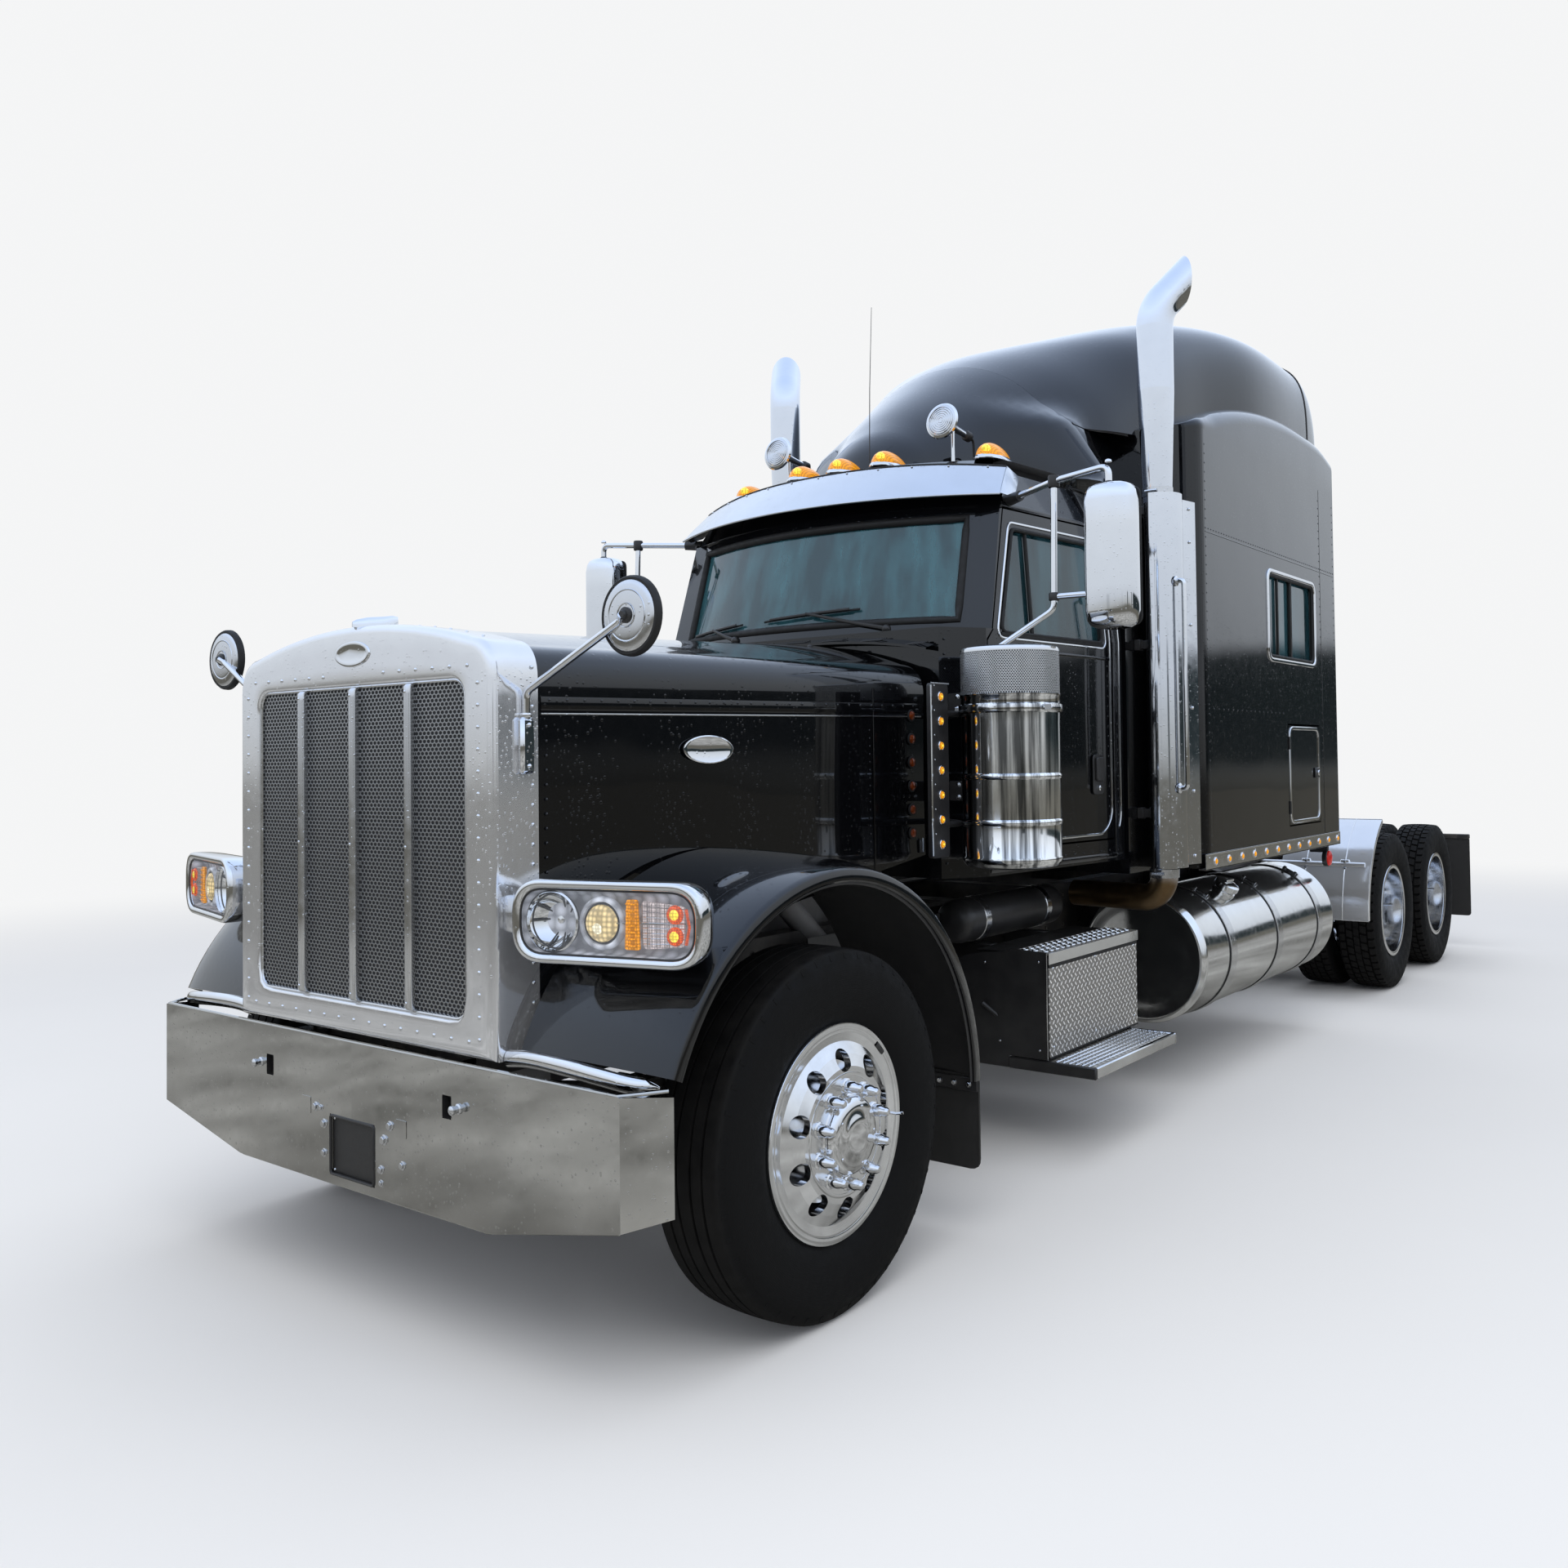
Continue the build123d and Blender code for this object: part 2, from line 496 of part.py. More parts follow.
def arch(s, half, base, top, n):
    """A cross-section of the raised roof: from a half round (n = 2) to a round-shouldered box (n = 6)."""
    h = top - base
    x1, z1 = half * cos(radians(30)) ** (2 / n), base + h * sin(radians(30)) ** (2 / n)
    x2, z2 = half * cos(radians(60)) ** (2 / n), base + h * sin(radians(60)) ** (2 / n)
    with BuildSketch(Plane.XZ.offset(-st(s))) as sk:
        with BuildLine():
            Line((-half, base), (half, base))
            ThreePointArc((half, base), (x1, z1), (x2, z2))
            ThreePointArc((x2, z2), (0, top), (-x2, z2))
            ThreePointArc((-x2, z2), (-x1, z1), (-half, base))
        make_face()
    return sk.sketch


# station, half width at the base, top z, squareness of the arch
NOSE = [(2660, 130, 3080, 2), (2800, 300, 3230, 2), (3020, 465, 3425, 2), (3220, 600, 3575, 2), (SLEEPER_F, 725, 3712, 2)]
CAP = [(SLEEPER_F, 662, 3712, 2), (3640, 850, 3815, 2.2), (4000, 960, 3945, 3.5), (4450, 1010, 4095, 6), (5000, 1150, 4150, 6), (SLEEPER_R, 1150, 4130, 6)]
CAP_WALL = 40.0
SHOULDER = [(SLEEPER_STEP, 3300), (4086, 3416), (4555, 3532), (5078, 3596), (5600, 3600), (SLEEPER_R, 3535)]

with BuildPart() as sleeper_roof:
    slab_x([(SLEEPER_STEP, SLEEPER_EAVES)] + SHOULDER + [(SLEEPER_R, SLEEPER_EAVES)], -BODY_HALF, BODY_HALF)
    for side in SIDES:
        slab_z([(side * (BODY_HALF + 2), SLEEPER_STEP - 1), (side * CORNER[0][0], SLEEPER_STEP - 1)] + [(side * x, s) for x, s in CORNER]
               + [(side * (BODY_HALF + 2), SLEEPER_STEP + CORNER_R)], SLEEPER_EAVES - 1, 3700, Mode.SUBTRACT)
    slab_z([(-NECK_TOP, SLEEPER_F), (NECK_TOP, SLEEPER_F), (NECK_TOP, SLEEPER_STEP), (-NECK_TOP, SLEEPER_STEP)], SLEEPER_EAVES, SLEEPER_EAVES + 17)
    loft([arch(s, b, SLEEPER_EAVES, top, n) for s, b, top, n in CAP], ruled=True)
    slab_x([(SLEEPER_STEP + t, SLEEPER_EAVES - 1)] + [(s, z - 45) for s, z in SHOULDER[1:-1]] + [(SLEEPER_R - t, 3495), (SLEEPER_R - t, SLEEPER_EAVES - 1)], -w, w, Mode.SUBTRACT)
    loft([arch(s, b - CAP_WALL, SLEEPER_EAVES - 1, top - CAP_WALL, n) for s, b, top, n in
          [(SLEEPER_F + t, 690, 3728, 2)] + CAP[1:-1] + [(SLEEPER_R - t, 1150, 4130, 6)]], ruled=True, mode=Mode.SUBTRACT)
keep(sleeper_roof, "sleeper_roof")

# the fairing over the cab runs up into the raised roof
with BuildPart() as roof_fairing:
    loft([arch(s, b, CAB_TOP, top, n) for s, b, top, n in NOSE], ruled=True)
    loft([arch(s, b - 20, CAB_TOP - 1, top - 18, n) for s, b, top, n in [(2720, 190, 3145, 2)] + NOSE[1:-1] + [(SLEEPER_F + 1, 725, 3712, 2)]], ruled=True, mode=Mode.SUBTRACT)
keep(roof_fairing, "roof_fairing")

# Bunk across the back of the sleeper: a board with a mattress on it
with BuildPart() as bunk:
    block(-w, w, 5010, SLEEPER_R - t, 1860, 1900)
    block(-w + 12, w - 12, 5030, SLEEPER_R - t - 8, 1900, 2040)
keep(bunk, "bunk")

# ================================================================ behind the sleeper
# Bright quarter fenders ahead of the drive wheels, mud flaps on their hangers behind
with BuildPart() as mudguards:
    for side in SIDES:
        turned_x([(side * 590, 742), (side * 590, 750), (side * 1190, 750), (side * 1190, 742)], AXLE_1, WHEEL_Z, arc=62, start=118)
        rod((side * (RAIL_X + 0.5), AXLE_1 - 655, 915), (side * 1150, AXLE_1 - 655, 915), 18)
        block(side * 590, side * 1210, 9912, 9920, 265, 925)
        block(side * RAIL_X, side * 1210, 9900, LENGTH, 925, 965)
        block(side * RAIL_X, side * (RAIL_X + 40), 9600, 9900, 925, 965)
keep(mudguards, "mudguards")

# Fifth wheel: brackets on the rails, and the plate that tilts on their pins
FW_S, FW_Z, FW_PIVOT = AXLE_F + WHEELBASE - 150, 1195.0, 1150.0
KING_R = 25.8                # jaw for a two-inch kingpin
with BuildPart() as fifth_wheel_base:
    block(-RAIL_X, RAIL_X, FW_S - 260, FW_S + 260, RAIL_Z1, RAIL_Z1 + 16)
    for side in SIDES:
        slab_x([(FW_S - 150, RAIL_Z1 + 16), (FW_S + 150, RAIL_Z1 + 16), (FW_S + 40, FW_PIVOT + 30), (FW_S - 40, FW_PIVOT + 30)], side * 330, side * 395)
        rod((side * 265, FW_S, FW_PIVOT), (side * 445, FW_S, FW_PIVOT), 25)
keep(fifth_wheel_base, "fifth_wheel_base")

with BuildPart() as fifth_wheel:
    slab_z([(-480, FW_S - 120), (-330, FW_S - 380), (330, FW_S - 380), (480, FW_S - 120), (480, FW_S + 180), (330, FW_S + 420),
            (170, FW_S + 470), (KING_R, FW_S + 150), (KING_R, FW_S), (-KING_R, FW_S), (-KING_R, FW_S + 150), (-170, FW_S + 470),
            (-330, FW_S + 420), (-480, FW_S + 180)], FW_Z, FW_Z + 40)
    with Locations((0, st(FW_S), FW_Z + 20)):
        Cylinder(KING_R, 60, mode=Mode.SUBTRACT)
    for side in SIDES:
        for x in (272, 402):
            slab_x([(FW_S - 70, FW_Z), (FW_S - 35, FW_PIVOT - 38), (FW_S + 35, FW_PIVOT - 38), (FW_S + 70, FW_Z)], side * x, side * (x + 35))
        rod((side * 260, FW_S, FW_PIVOT), (side * 450, FW_S, FW_PIVOT), 25.4, Mode.SUBTRACT)
keep(fifth_wheel, "fifth_wheel")

# ================================================================ hood
def shell_outline(inset, z0):
    """The bright shell's front outline: upright sides, round shoulders, arched top."""
    h, zs, zt = SHELL_HALF - inset, SHELL_SIDE_Z, SHELL_TOP - inset
    with BuildLine() as outline:
        Polyline((-(h - 90), zs + 38 - inset * 0.6), (-(h - 30), zs - 20), (-h, zs - 85), (-h, z0), (h, z0), (h, zs - 85), (h - 30, zs - 20), (h - 90, zs + 38 - inset * 0.6))
        ThreePointArc((h - 90, zs + 38 - inset * 0.6), (0, zt), (-(h - 90), zs + 38 - inset * 0.6))
    return outline.line


with BuildPart() as grille_shell:
    with BuildSketch(Plane.XZ.offset(-st(8))) as sk:
        add(shell_outline(0, SHELL_Z0))
        make_face()
    extrude(sk.sketch, amount=-SHELL_DEPTH)
    with BuildSketch(Plane.XZ.offset(-st(20))) as sk:
        add(shell_outline(12, SHELL_Z0 - 1))
        make_face()
    extrude(sk.sketch, amount=-SHELL_DEPTH, mode=Mode.SUBTRACT)
    with BuildSketch(Plane.XZ.offset(-st(0))) as sk:
        with Locations((0, (946 + 1915) / 2)):
            RectangleRounded(1088, 1915 - 946, 40)
    extrude(sk.sketch, amount=-40, mode=Mode.SUBTRACT)
keep(grille_shell, "grille_shell")

with BuildPart() as grille:
    block(-590, 590, 21, 25, 900, 1950)
    for x in (-283, 0, 283):
        block(x - 14, x + 14, 1, 21, 950, 1908)
keep(grille, "grille")


def hood_section(s, half, side_z, top_z, base, inset):
    h, zt = half - inset, top_z - inset
    with BuildSketch(Plane.XZ.offset(-st(s))) as sk:
        with BuildLine():
            Polyline((-(h - 90), side_z + 60 - inset * 0.6), (-(h - 25), side_z), (-h, side_z - 60), (-h, base), (h, base), (h, side_z - 60), (h - 25, side_z), (h - 90, side_z + 60 - inset * 0.6))
            ThreePointArc((h - 90, side_z + 60 - inset * 0.6), (0, zt), (-(h - 90), side_z + 60 - inset * 0.6))
        make_face()
    return sk.sketch


# station, half width, shoulder z, top z, base z
HOOD_FRONT = (HOOD_S0, 662, 1950, 2097, 1000)
HOOD_BACK = (HOOD_S1, 760, 1985, 2165, 1290)
with BuildPart() as hood:
    loft([hood_section(*HOOD_FRONT, 0), hood_section(*HOOD_BACK, 0)], ruled=True)
    loft([hood_section(HOOD_FRONT[0] - 1, 662, 1950, 2097, 990, 14), hood_section(HOOD_BACK[0] + 1, 760, 1985, 2165, 1280, 14)], ruled=True, mode=Mode.SUBTRACT)
keep(hood, "hood")

with BuildPart() as fenders:
    for side in SIDES:
        profile = [(side * x, r) for x, r in [(1240, ARCH_R), (1240, LIP_R), (1190, 806), (1050, 826), (780, 838), (780, 826), (1050, 812), (1180, 792), (1226, 778), (1226, ARCH_R)]]
        with BuildSketch(Plane(origin=(0, st(AXLE_F), WHEEL_Z), x_dir=(1, 0, 0), z_dir=(0, 0, 1))) as sk:
            with BuildLine():
                Polyline(*profile, close=True)
            make_face()
        revolve(sk.sketch, axis=Axis((0, st(AXLE_F), WHEEL_Z), (1, 0, 0)), revolution_arc=157)
        block(side * 970, side * 1225, 1640, 1652, 240, WHEEL_Z)
keep(fenders, "fenders")

with BuildPart() as headlamps:
    for side in SIDES:
        front = Plane(origin=(side * 1030, st(78), 1245), x_dir=(cos(radians(14)), side * sin(radians(14)), 0), z_dir=(side * sin(radians(14)), -cos(radians(14)), 0))
        with BuildSketch(front) as a:
            RectangleRounded(590, 226, 100)
        with BuildSketch(front.offset(-70)) as b:
            RectangleRounded(590, 226, 100)
        with BuildSketch(front.offset(-200)) as c:
            with Locations((0, 12)):
                RectangleRounded(400, 130, 60)
        loft([a.sketch, b.sketch], ruled=True)
        loft([b.sketch, c.sketch], ruled=True)
        block(side * SHELL_HALF, side * 790, 90, 170, 1190, 1300)
keep(headlamps, "headlamps")

with BuildPart() as fender_mirrors:
    for side in SIDES:
        rod((side * 1051, 175, 2063), (side * 1051, 140, 2063), 108)
        pipe([(side * (SHELL_HALF + 12), 120, 1800), (side * (SHELL_HALF + 12), 120, 1870), (side * 1040, 160, 2055)], 11, 30)
        block(side * SHELL_HALF, side * (SHELL_HALF + 24), 95, 145, 1640, 1800)
keep(fender_mirrors, "fender_mirrors")

# ================================================================ doors
for side, name in ((1, "left"), (-1, "right")):
    with BuildPart() as door:
        add(cab_outer)
        add(cab_inner, mode=Mode.SUBTRACT)
        slab_x(DOOR_LINE, side * 700, side * 1100, Mode.INTERSECT)
        slab_x(GLASS_LINE, side * 700, side * 1100, Mode.SUBTRACT)
    keep(door, f"door_{name}")
    with BuildPart() as door_glass:
        add(cab_solid(20, 0, 0))
        add(cab_solid(26, 0, 1), mode=Mode.SUBTRACT)
        slab_x(GLASS_LINE, side * 700, side * 1100, Mode.INTERSECT)
    keep(door_glass, f"door_glass_{name}")
    with BuildPart() as luggage_door:
        block(side * (BODY_HALF - SLEEPER_WALL), side * BODY_HALF, 5102, 5666, 1271, 1836)
    keep(luggage_door, f"luggage_door_{name}")

# ================================================================ steering
TIE_S, TIE_Z = AXLE_F + 182, 422.0
for side, name in ((1, "left"), (-1, "right")):
    x = side * KINGPIN_X
    with BuildPart() as knuckle:
        turned_z([(0, 606), (60, 606), (60, 640), (0, 640)], x, AXLE_F)
        turned_z([(0, 450), (60, 450), (60, 484), (0, 484)], x, AXLE_F)
        turned_z([(0, 484), (KINGPIN_R, 484), (KINGPIN_R, 606), (0, 606)], x, AXLE_F)
        block(x, x + side * 92, AXLE_F - 55, AXLE_F + 55, 606, 640)
        block(x, x + side * 92, AXLE_F - 55, AXLE_F + 55, 450, 484)
        block(x + side * 62, x + side * 92, AXLE_F - 55, AXLE_F + 55, 450, 640)
        turned_x([(x + side * 92, 0), (x + side * 92, 60), (x + side * 106, 60), (x + side * 106, 0)], AXLE_F, WHEEL_Z)
        turned_x([(x + side * 100, 0), (x + side * 100, 40), (x + side * 300, 40), (x + side * 300, 0)], AXLE_F, WHEEL_Z)
        block(x - 26, x + 26, AXLE_F + 50, TIE_S, 450, 484)
        turned_z([(0, 450), (26, 450), (26, 484), (0, 484)], x, TIE_S)
        turned_z([(0, 400), (12, 400), (12, 450), (0, 450)], x, TIE_S)
    keep(knuckle, f"knuckle_{name}")

with BuildPart() as tie_rod:
    rod((-KINGPIN_X + 36, TIE_S, TIE_Z), (KINGPIN_X - 36, TIE_S, TIE_Z), 20)
    for side in SIDES:
        with Locations((side * KINGPIN_X, st(TIE_S), TIE_Z)):
            Cylinder(36, 36)
            Cylinder(12.5, 40, mode=Mode.SUBTRACT)
keep(tie_rod, "tie_rod")

# ================================================================ wheels
# tyre section: offset from its middle plane, radius
TYRE = [(-104, RIM_R), (-104, 328), (-124, 360), (-136, 410), (-TYRE_HALF, 450), (-134, 495), (-122, 530), (-104, 546),
        (-60, TYRE_R), (60, TYRE_R), (104, 546), (122, 530), (134, 495), (TYRE_HALF, 450), (136, 410), (124, 360), (104, 328), (104, RIM_R)]
# rim section: offset from its middle plane, radius
BARREL = [(-BARREL_HALF - FLANGE_T, FLANGE_R), (-BARREL_HALF, FLANGE_R), (-BARREL_HALF, RIM_R), (BARREL_HALF, RIM_R), (BARREL_HALF, FLANGE_R),
          (BARREL_HALF + FLANGE_T, FLANGE_R), (BARREL_HALF + FLANGE_T, 296), (-BARREL_HALF - FLANGE_T, 296)]

for side, name in ((1, "left"), (-1, "right")):
    with BuildPart() as tyre:
        turned_x([(side * (FRONT_X + dx), r) for dx, r in TYRE], AXLE_F, WHEEL_Z)
    keep(tyre, f"front_tyre_{name}")
    with BuildPart() as rim:
        turned_x([(side * (FRONT_X + dx), r) for dx, r in BARREL], AXLE_F, WHEEL_Z)
        # disc: slopes outward from the barrel to the bolting face
        turned_x([(side * (FRONT_X + dx), r) for dx, r in [(100, 296.5), (117, 296.5), (112, 270), (132, 235), (148, 200), (148, 90), (126, 90), (126, 196), (108, 228), (84, 262), (76, 296.5)]], AXLE_F, WHEEL_Z)
        with BuildSketch(Plane.YZ.offset(side * (FRONT_X + 60))) as sk:
            with Locations((st(AXLE_F), WHEEL_Z)):
                with PolarLocations(HAND_HOLE_PCR, 10, start_angle=18):
                    Circle(HAND_HOLE_R)
        extrude(sk.sketch, amount=side * 100, mode=Mode.SUBTRACT)
        # hub and brake drum
        turned_x([(side * (FRONT_X + dx), r) for dx, r in [(-90, 210), (70, 210), (70, 150), (126, 150), (126, 0), (110, 0), (110, 41), (-90, 41), (-90, 140), (-80, 140), (-80, 202), (-90, 202)]], AXLE_F, WHEEL_Z)
        turned_x([(side * (FRONT_X + dx), r) for dx, r in [(126, 0), (126, 114), (162, 114), (176, 102), (184, 70), (187, 0)]], AXLE_F, WHEEL_Z)
    keep(rim, f"front_rim_{name}")
    for axle, s in (("1", AXLE_1), ("2", AXLE_2)):
        with BuildPart() as tyres:
            for off in (DUAL_HALF_PITCH, -DUAL_HALF_PITCH):
                turned_x([(side * (DUAL_X + off + dx), r) for dx, r in TYRE], s, WHEEL_Z)
        keep(tyres, f"drive_tyres_{axle}_{name}")
        with BuildPart() as rims:
            for off in (DUAL_HALF_PITCH, -DUAL_HALF_PITCH):
                turned_x([(side * (DUAL_X + off + dx), r) for dx, r in BARREL], s, WHEEL_Z)
            for k in (1, -1):
                turned_x([(side * (DUAL_X + k * dx), r) for dx, r in [(66, 296.5), (84, 296.5), (76, 262), (50, 228), (22, 200), (22, 0), (0, 0), (0, 200), (28, 240), (56, 268)]], s, WHEEL_Z)
                with BuildSketch(Plane.YZ.offset(side * DUAL_X)) as sk:
                    with Locations((st(s), WHEEL_Z)):
                        with PolarLocations(HAND_HOLE_PCR, 10, start_angle=18):
                            Circle(HAND_HOLE_R)
                extrude(sk.sketch, amount=k * 80, mode=Mode.SUBTRACT)
            # hub outboard, drum inboard
            turned_x([(side * (DUAL_X + dx), r) for dx, r in [(0, 0), (0, 104), (150, 104), (190, 70), (196, 0)]], s, WHEEL_Z)
            turned_x([(side * (DUAL_X + dx), r) for dx, r in [(0, 0), (0, 210), (-230, 210), (-230, 200), (-60, 200), (-60, 0)]], s, WHEEL_Z)
        keep(rims, f"drive_rims_{axle}_{name}")

# ================================================================ files
os.makedirs("parts", exist_ok=True)
for part, label in made:
    part.label = label
    export_step(part, f"parts/{label}.step")
print(len(made), "nodes")
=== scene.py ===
import bpy
import math
from math import cos, sin, pi, radians, sqrt, atan2
from mathutils import Matrix, Vector


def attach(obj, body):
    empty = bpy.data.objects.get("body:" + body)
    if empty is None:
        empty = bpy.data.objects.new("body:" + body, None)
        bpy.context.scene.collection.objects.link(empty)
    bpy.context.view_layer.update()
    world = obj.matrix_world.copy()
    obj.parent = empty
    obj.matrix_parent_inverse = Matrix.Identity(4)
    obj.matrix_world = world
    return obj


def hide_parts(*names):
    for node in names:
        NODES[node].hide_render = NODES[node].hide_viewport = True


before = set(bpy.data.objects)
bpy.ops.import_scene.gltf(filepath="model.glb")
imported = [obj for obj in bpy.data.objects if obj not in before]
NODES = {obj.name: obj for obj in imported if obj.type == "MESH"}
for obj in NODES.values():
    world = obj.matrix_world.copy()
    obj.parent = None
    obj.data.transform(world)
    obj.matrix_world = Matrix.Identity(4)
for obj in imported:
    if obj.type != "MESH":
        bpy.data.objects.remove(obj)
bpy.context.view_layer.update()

# Lengths below are millimetres; s is a station counted rearward from the bumper's front face.
AXLE_F, AXLE_1, AXLE_2 = 848.0, 7522.5, 8845.5
WHEEL_Z, TYRE_R = 550.0, 550.0
FRONT_X, DUAL_X, DUAL_OFF = 1096.0, 880.5, 167.5


def V(x, s, z):
    return Vector((x / 1000.0, (s - 4970.0) / 1000.0, z / 1000.0))


# ------------------------------------------------------------------ materials
class G:
    """A small helper for one node material."""

    def __init__(g, name):
        g.m = bpy.data.materials.new(name)
        g.m.use_nodes = True
        g.t = g.m.node_tree
        g.t.nodes.clear()
        g.out = g.t.nodes.new("ShaderNodeOutputMaterial")
        g.b = g.t.nodes.new("ShaderNodeBsdfPrincipled")
        g.t.links.new(g.b.outputs[0], g.out.inputs[0])
        g.c = g.t.nodes.new("ShaderNodeTexCoord").outputs["Object"]

    def n(g, kind, **kw):
        node = g.t.nodes.new(kind)
        for k, v in kw.items():
            setattr(node, k, v)
        return node

    def put(g, socket, value):
        if isinstance(value, bpy.types.NodeSocket):
            g.t.links.new(value, socket)
        else:
            socket.default_value = value

    def moved(g, loc=(0, 0, 0), scale=(1, 1, 1), rot=(0, 0, 0), vec=None):
        m = g.n("ShaderNodeMapping")
        g.put(m.inputs[0], vec or g.c)
        m.inputs[1].default_value = loc
        m.inputs[2].default_value = rot
        m.inputs[3].default_value = scale
        return m.outputs[0]

    def noise(g, scale, detail=3.0, vec=None, rough=0.55):
        n = g.n("ShaderNodeTexNoise")
        g.put(n.inputs["Vector"], vec or g.c)
        n.inputs["Scale"].default_value = scale
        n.inputs["Detail"].default_value = detail
        n.inputs["Roughness"].default_value = rough
        return n.outputs[0]

    def voronoi(g, scale, vec=None, out="Distance", feature="F1", randomness=1.0):
        n = g.n("ShaderNodeTexVoronoi", feature=feature)
        g.put(n.inputs["Vector"], vec or g.c)
        n.inputs["Scale"].default_value = scale
        n.inputs["Randomness"].default_value = randomness
        return n.outputs[out]

    def math(g, op, a, b=0.0, c=None, clamp=False):
        n = g.n("ShaderNodeMath", operation=op, use_clamp=clamp)
        g.put(n.inputs[0], a)
        g.put(n.inputs[1], b)
        if c is not None:
            g.put(n.inputs[2], c)
        return n.outputs[0]

    def span(g, v, a, b, c, d, smooth=False):
        n = g.n("ShaderNodeMapRange")
        if smooth:
            n.interpolation_type = "SMOOTHSTEP"
        g.put(n.inputs["Value"], v)
        for k, x in zip(("From Min", "From Max", "To Min", "To Max"), (a, b, c, d)):
            g.put(n.inputs[k], x)
        return n.outputs[0]

    def xyz(g, vec=None):
        n = g.n("ShaderNodeSeparateXYZ")
        g.put(n.inputs[0], vec or g.c)
        return n.outputs

    def vec(g, x, y, z):
        n = g.n("ShaderNodeCombineXYZ")
        for i, v in enumerate((x, y, z)):
            g.put(n.inputs[i], v)
        return n.outputs[0]

    def mix(g, f, a, b):
        n = g.n("ShaderNodeMix", data_type="RGBA")
        g.put(n.inputs[0], f)
        g.put(n.inputs[6], a if isinstance(a, bpy.types.NodeSocket) else (*a, 1.0))
        g.put(n.inputs[7], b if isinstance(b, bpy.types.NodeSocket) else (*b, 1.0))
        return n.outputs[2]

    def bump(g, h, strength, dist=0.01, normal=None):
        n = g.n("ShaderNodeBump")
        n.inputs["Strength"].default_value = strength
        n.inputs["Distance"].default_value = dist
        g.put(n.inputs["Height"], h)
        if normal is not None:
            g.put(n.inputs["Normal"], normal)
        return n.outputs[0]

    def set(g, **kw):
        names = {"base": "Base Color", "metal": "Metallic", "rough": "Roughness", "coat": "Coat Weight", "coat_rough": "Coat Roughness",
                 "ior": "IOR", "alpha": "Alpha", "trans": "Transmission Weight", "normal": "Normal", "sheen": "Sheen Weight",
                 "sheen_rough": "Sheen Roughness", "emit": "Emission Color", "emit_w": "Emission Strength", "spec": "Specular IOR Level",
                 "coat_normal": "Coat Normal", "aniso": "Anisotropic"}
        for k, v in kw.items():
            s = g.b.inputs[names[k]]
            if isinstance(v, tuple) and len(v) == 3:
                v = (*v, 1.0)
            g.put(s, v)
        return g.m


def dirt(g, top=1.25, low=0.15, amount=0.6):
    """How much road film lies here: more lower down, in soft patches."""
    z = g.xyz()[2]
    f = g.span(z, low, top, 1.0, 0.0, True)
    n = g.span(g.noise(5.0, 6.0), 0.35, 0.75, 0.25, 1.0)
    return g.math("MULTIPLY", g.math("MULTIPLY", f, n), amount, clamp=True)


def drops(g, scale=60.0):
    """Small beads of water, sparse and of mixed size."""
    d = g.voronoi(scale)
    size = g.xyz(g.voronoi(scale, out="Color"))[0]
    r = g.span(size, 0.35, 1.0, 0.0, 0.34)
    f = g.math("DIVIDE", d, g.math("MAXIMUM", r, 0.001))
    return g.math("SQRT", g.math("SUBTRACT", 1.0, g.math("MINIMUM", g.math("MULTIPLY", f, f), 1.0)))


def paint(name, base=(0.0016, 0.0018, 0.0024), base2=(0.0035, 0.0038, 0.0048), wet=0.25):
    g = G(name)
    f = dirt(g, 1.15, 0.2, 0.30)
    col = g.mix(g.noise(2.5, 4.0), base, base2)
    col = g.mix(f, col, (0.040, 0.038, 0.035))
    rough = g.math("ADD", g.span(g.noise(30.0, 3.0), 0.3, 0.7, 0.10, 0.19), g.math("MULTIPLY", f, 0.6), clamp=True)
    b = g.bump(g.noise(2.2, 1.0), 0.035, 0.05)
    b = g.bump(drops(g), wet, 0.0012, b)
    return g.set(base=col, rough=rough, normal=b, coat=1.0, coat_rough=0.025, coat_normal=b, spec=0.10)


def bright(name, base=(0.80, 0.81, 0.83), lo=0.02, hi=0.08, wave=0.05, wet=0.2, film=0.25, metal=1.0):
    g = G(name)
    f = dirt(g, 0.9, 0.1, film)
    col = g.mix(g.noise(9.0, 5.0), base, tuple(v * 0.90 for v in base))
    col = g.mix(f, col, (0.30, 0.28, 0.25))
    rough = g.math("ADD", g.span(g.noise(24.0, 6.0), 0.3, 0.72, lo, hi), g.math("MULTIPLY", f, 0.35), clamp=True)
    b = g.bump(g.noise(1.6, 1.0), wave, 0.05)
    b = g.bump(drops(g, 75.0), wet, 0.0010, b)
    return g.set(base=col, metal=metal, rough=rough, normal=b)


def turned_metal(name, s=None, base=(0.80, 0.81, 0.83), lo=0.06, hi=0.17, film=0.2):
    """Polished metal with faint turning rings about a wheel's axle, or about the piece's own middle."""
    g = G(name)
    c = g.c if s is None else g.moved(loc=(0, -(s - 4970.0) / 1000.0, -WHEEL_Z / 1000.0))
    x, y, z = g.xyz(c)
    r = g.math("SQRT", g.math("ADD", g.math("MULTIPLY", y, y), g.math("MULTIPLY", z, z)))
    rings = g.noise(1.0, 3.0, g.vec(g.math("MULTIPLY", r, 420.0), g.math("MULTIPLY", x, 60.0), 0.0))
    film_f = g.math("MULTIPLY", g.span(g.noise(14.0, 6.0, c), 0.45, 0.8, 0.0, 1.0), film, clamp=True)
    col = g.mix(rings, tuple(v * 0.93 for v in base), base)
    col = g.mix(film_f, col, (0.22, 0.21, 0.19))
    rough = g.math("ADD", g.span(rings, 0.3, 0.7, lo, hi), g.math("MULTIPLY", film_f, 0.4), clamp=True)
    return g.set(base=col, metal=1.0, rough=rough, normal=g.bump(rings, 0.04, 0.002))


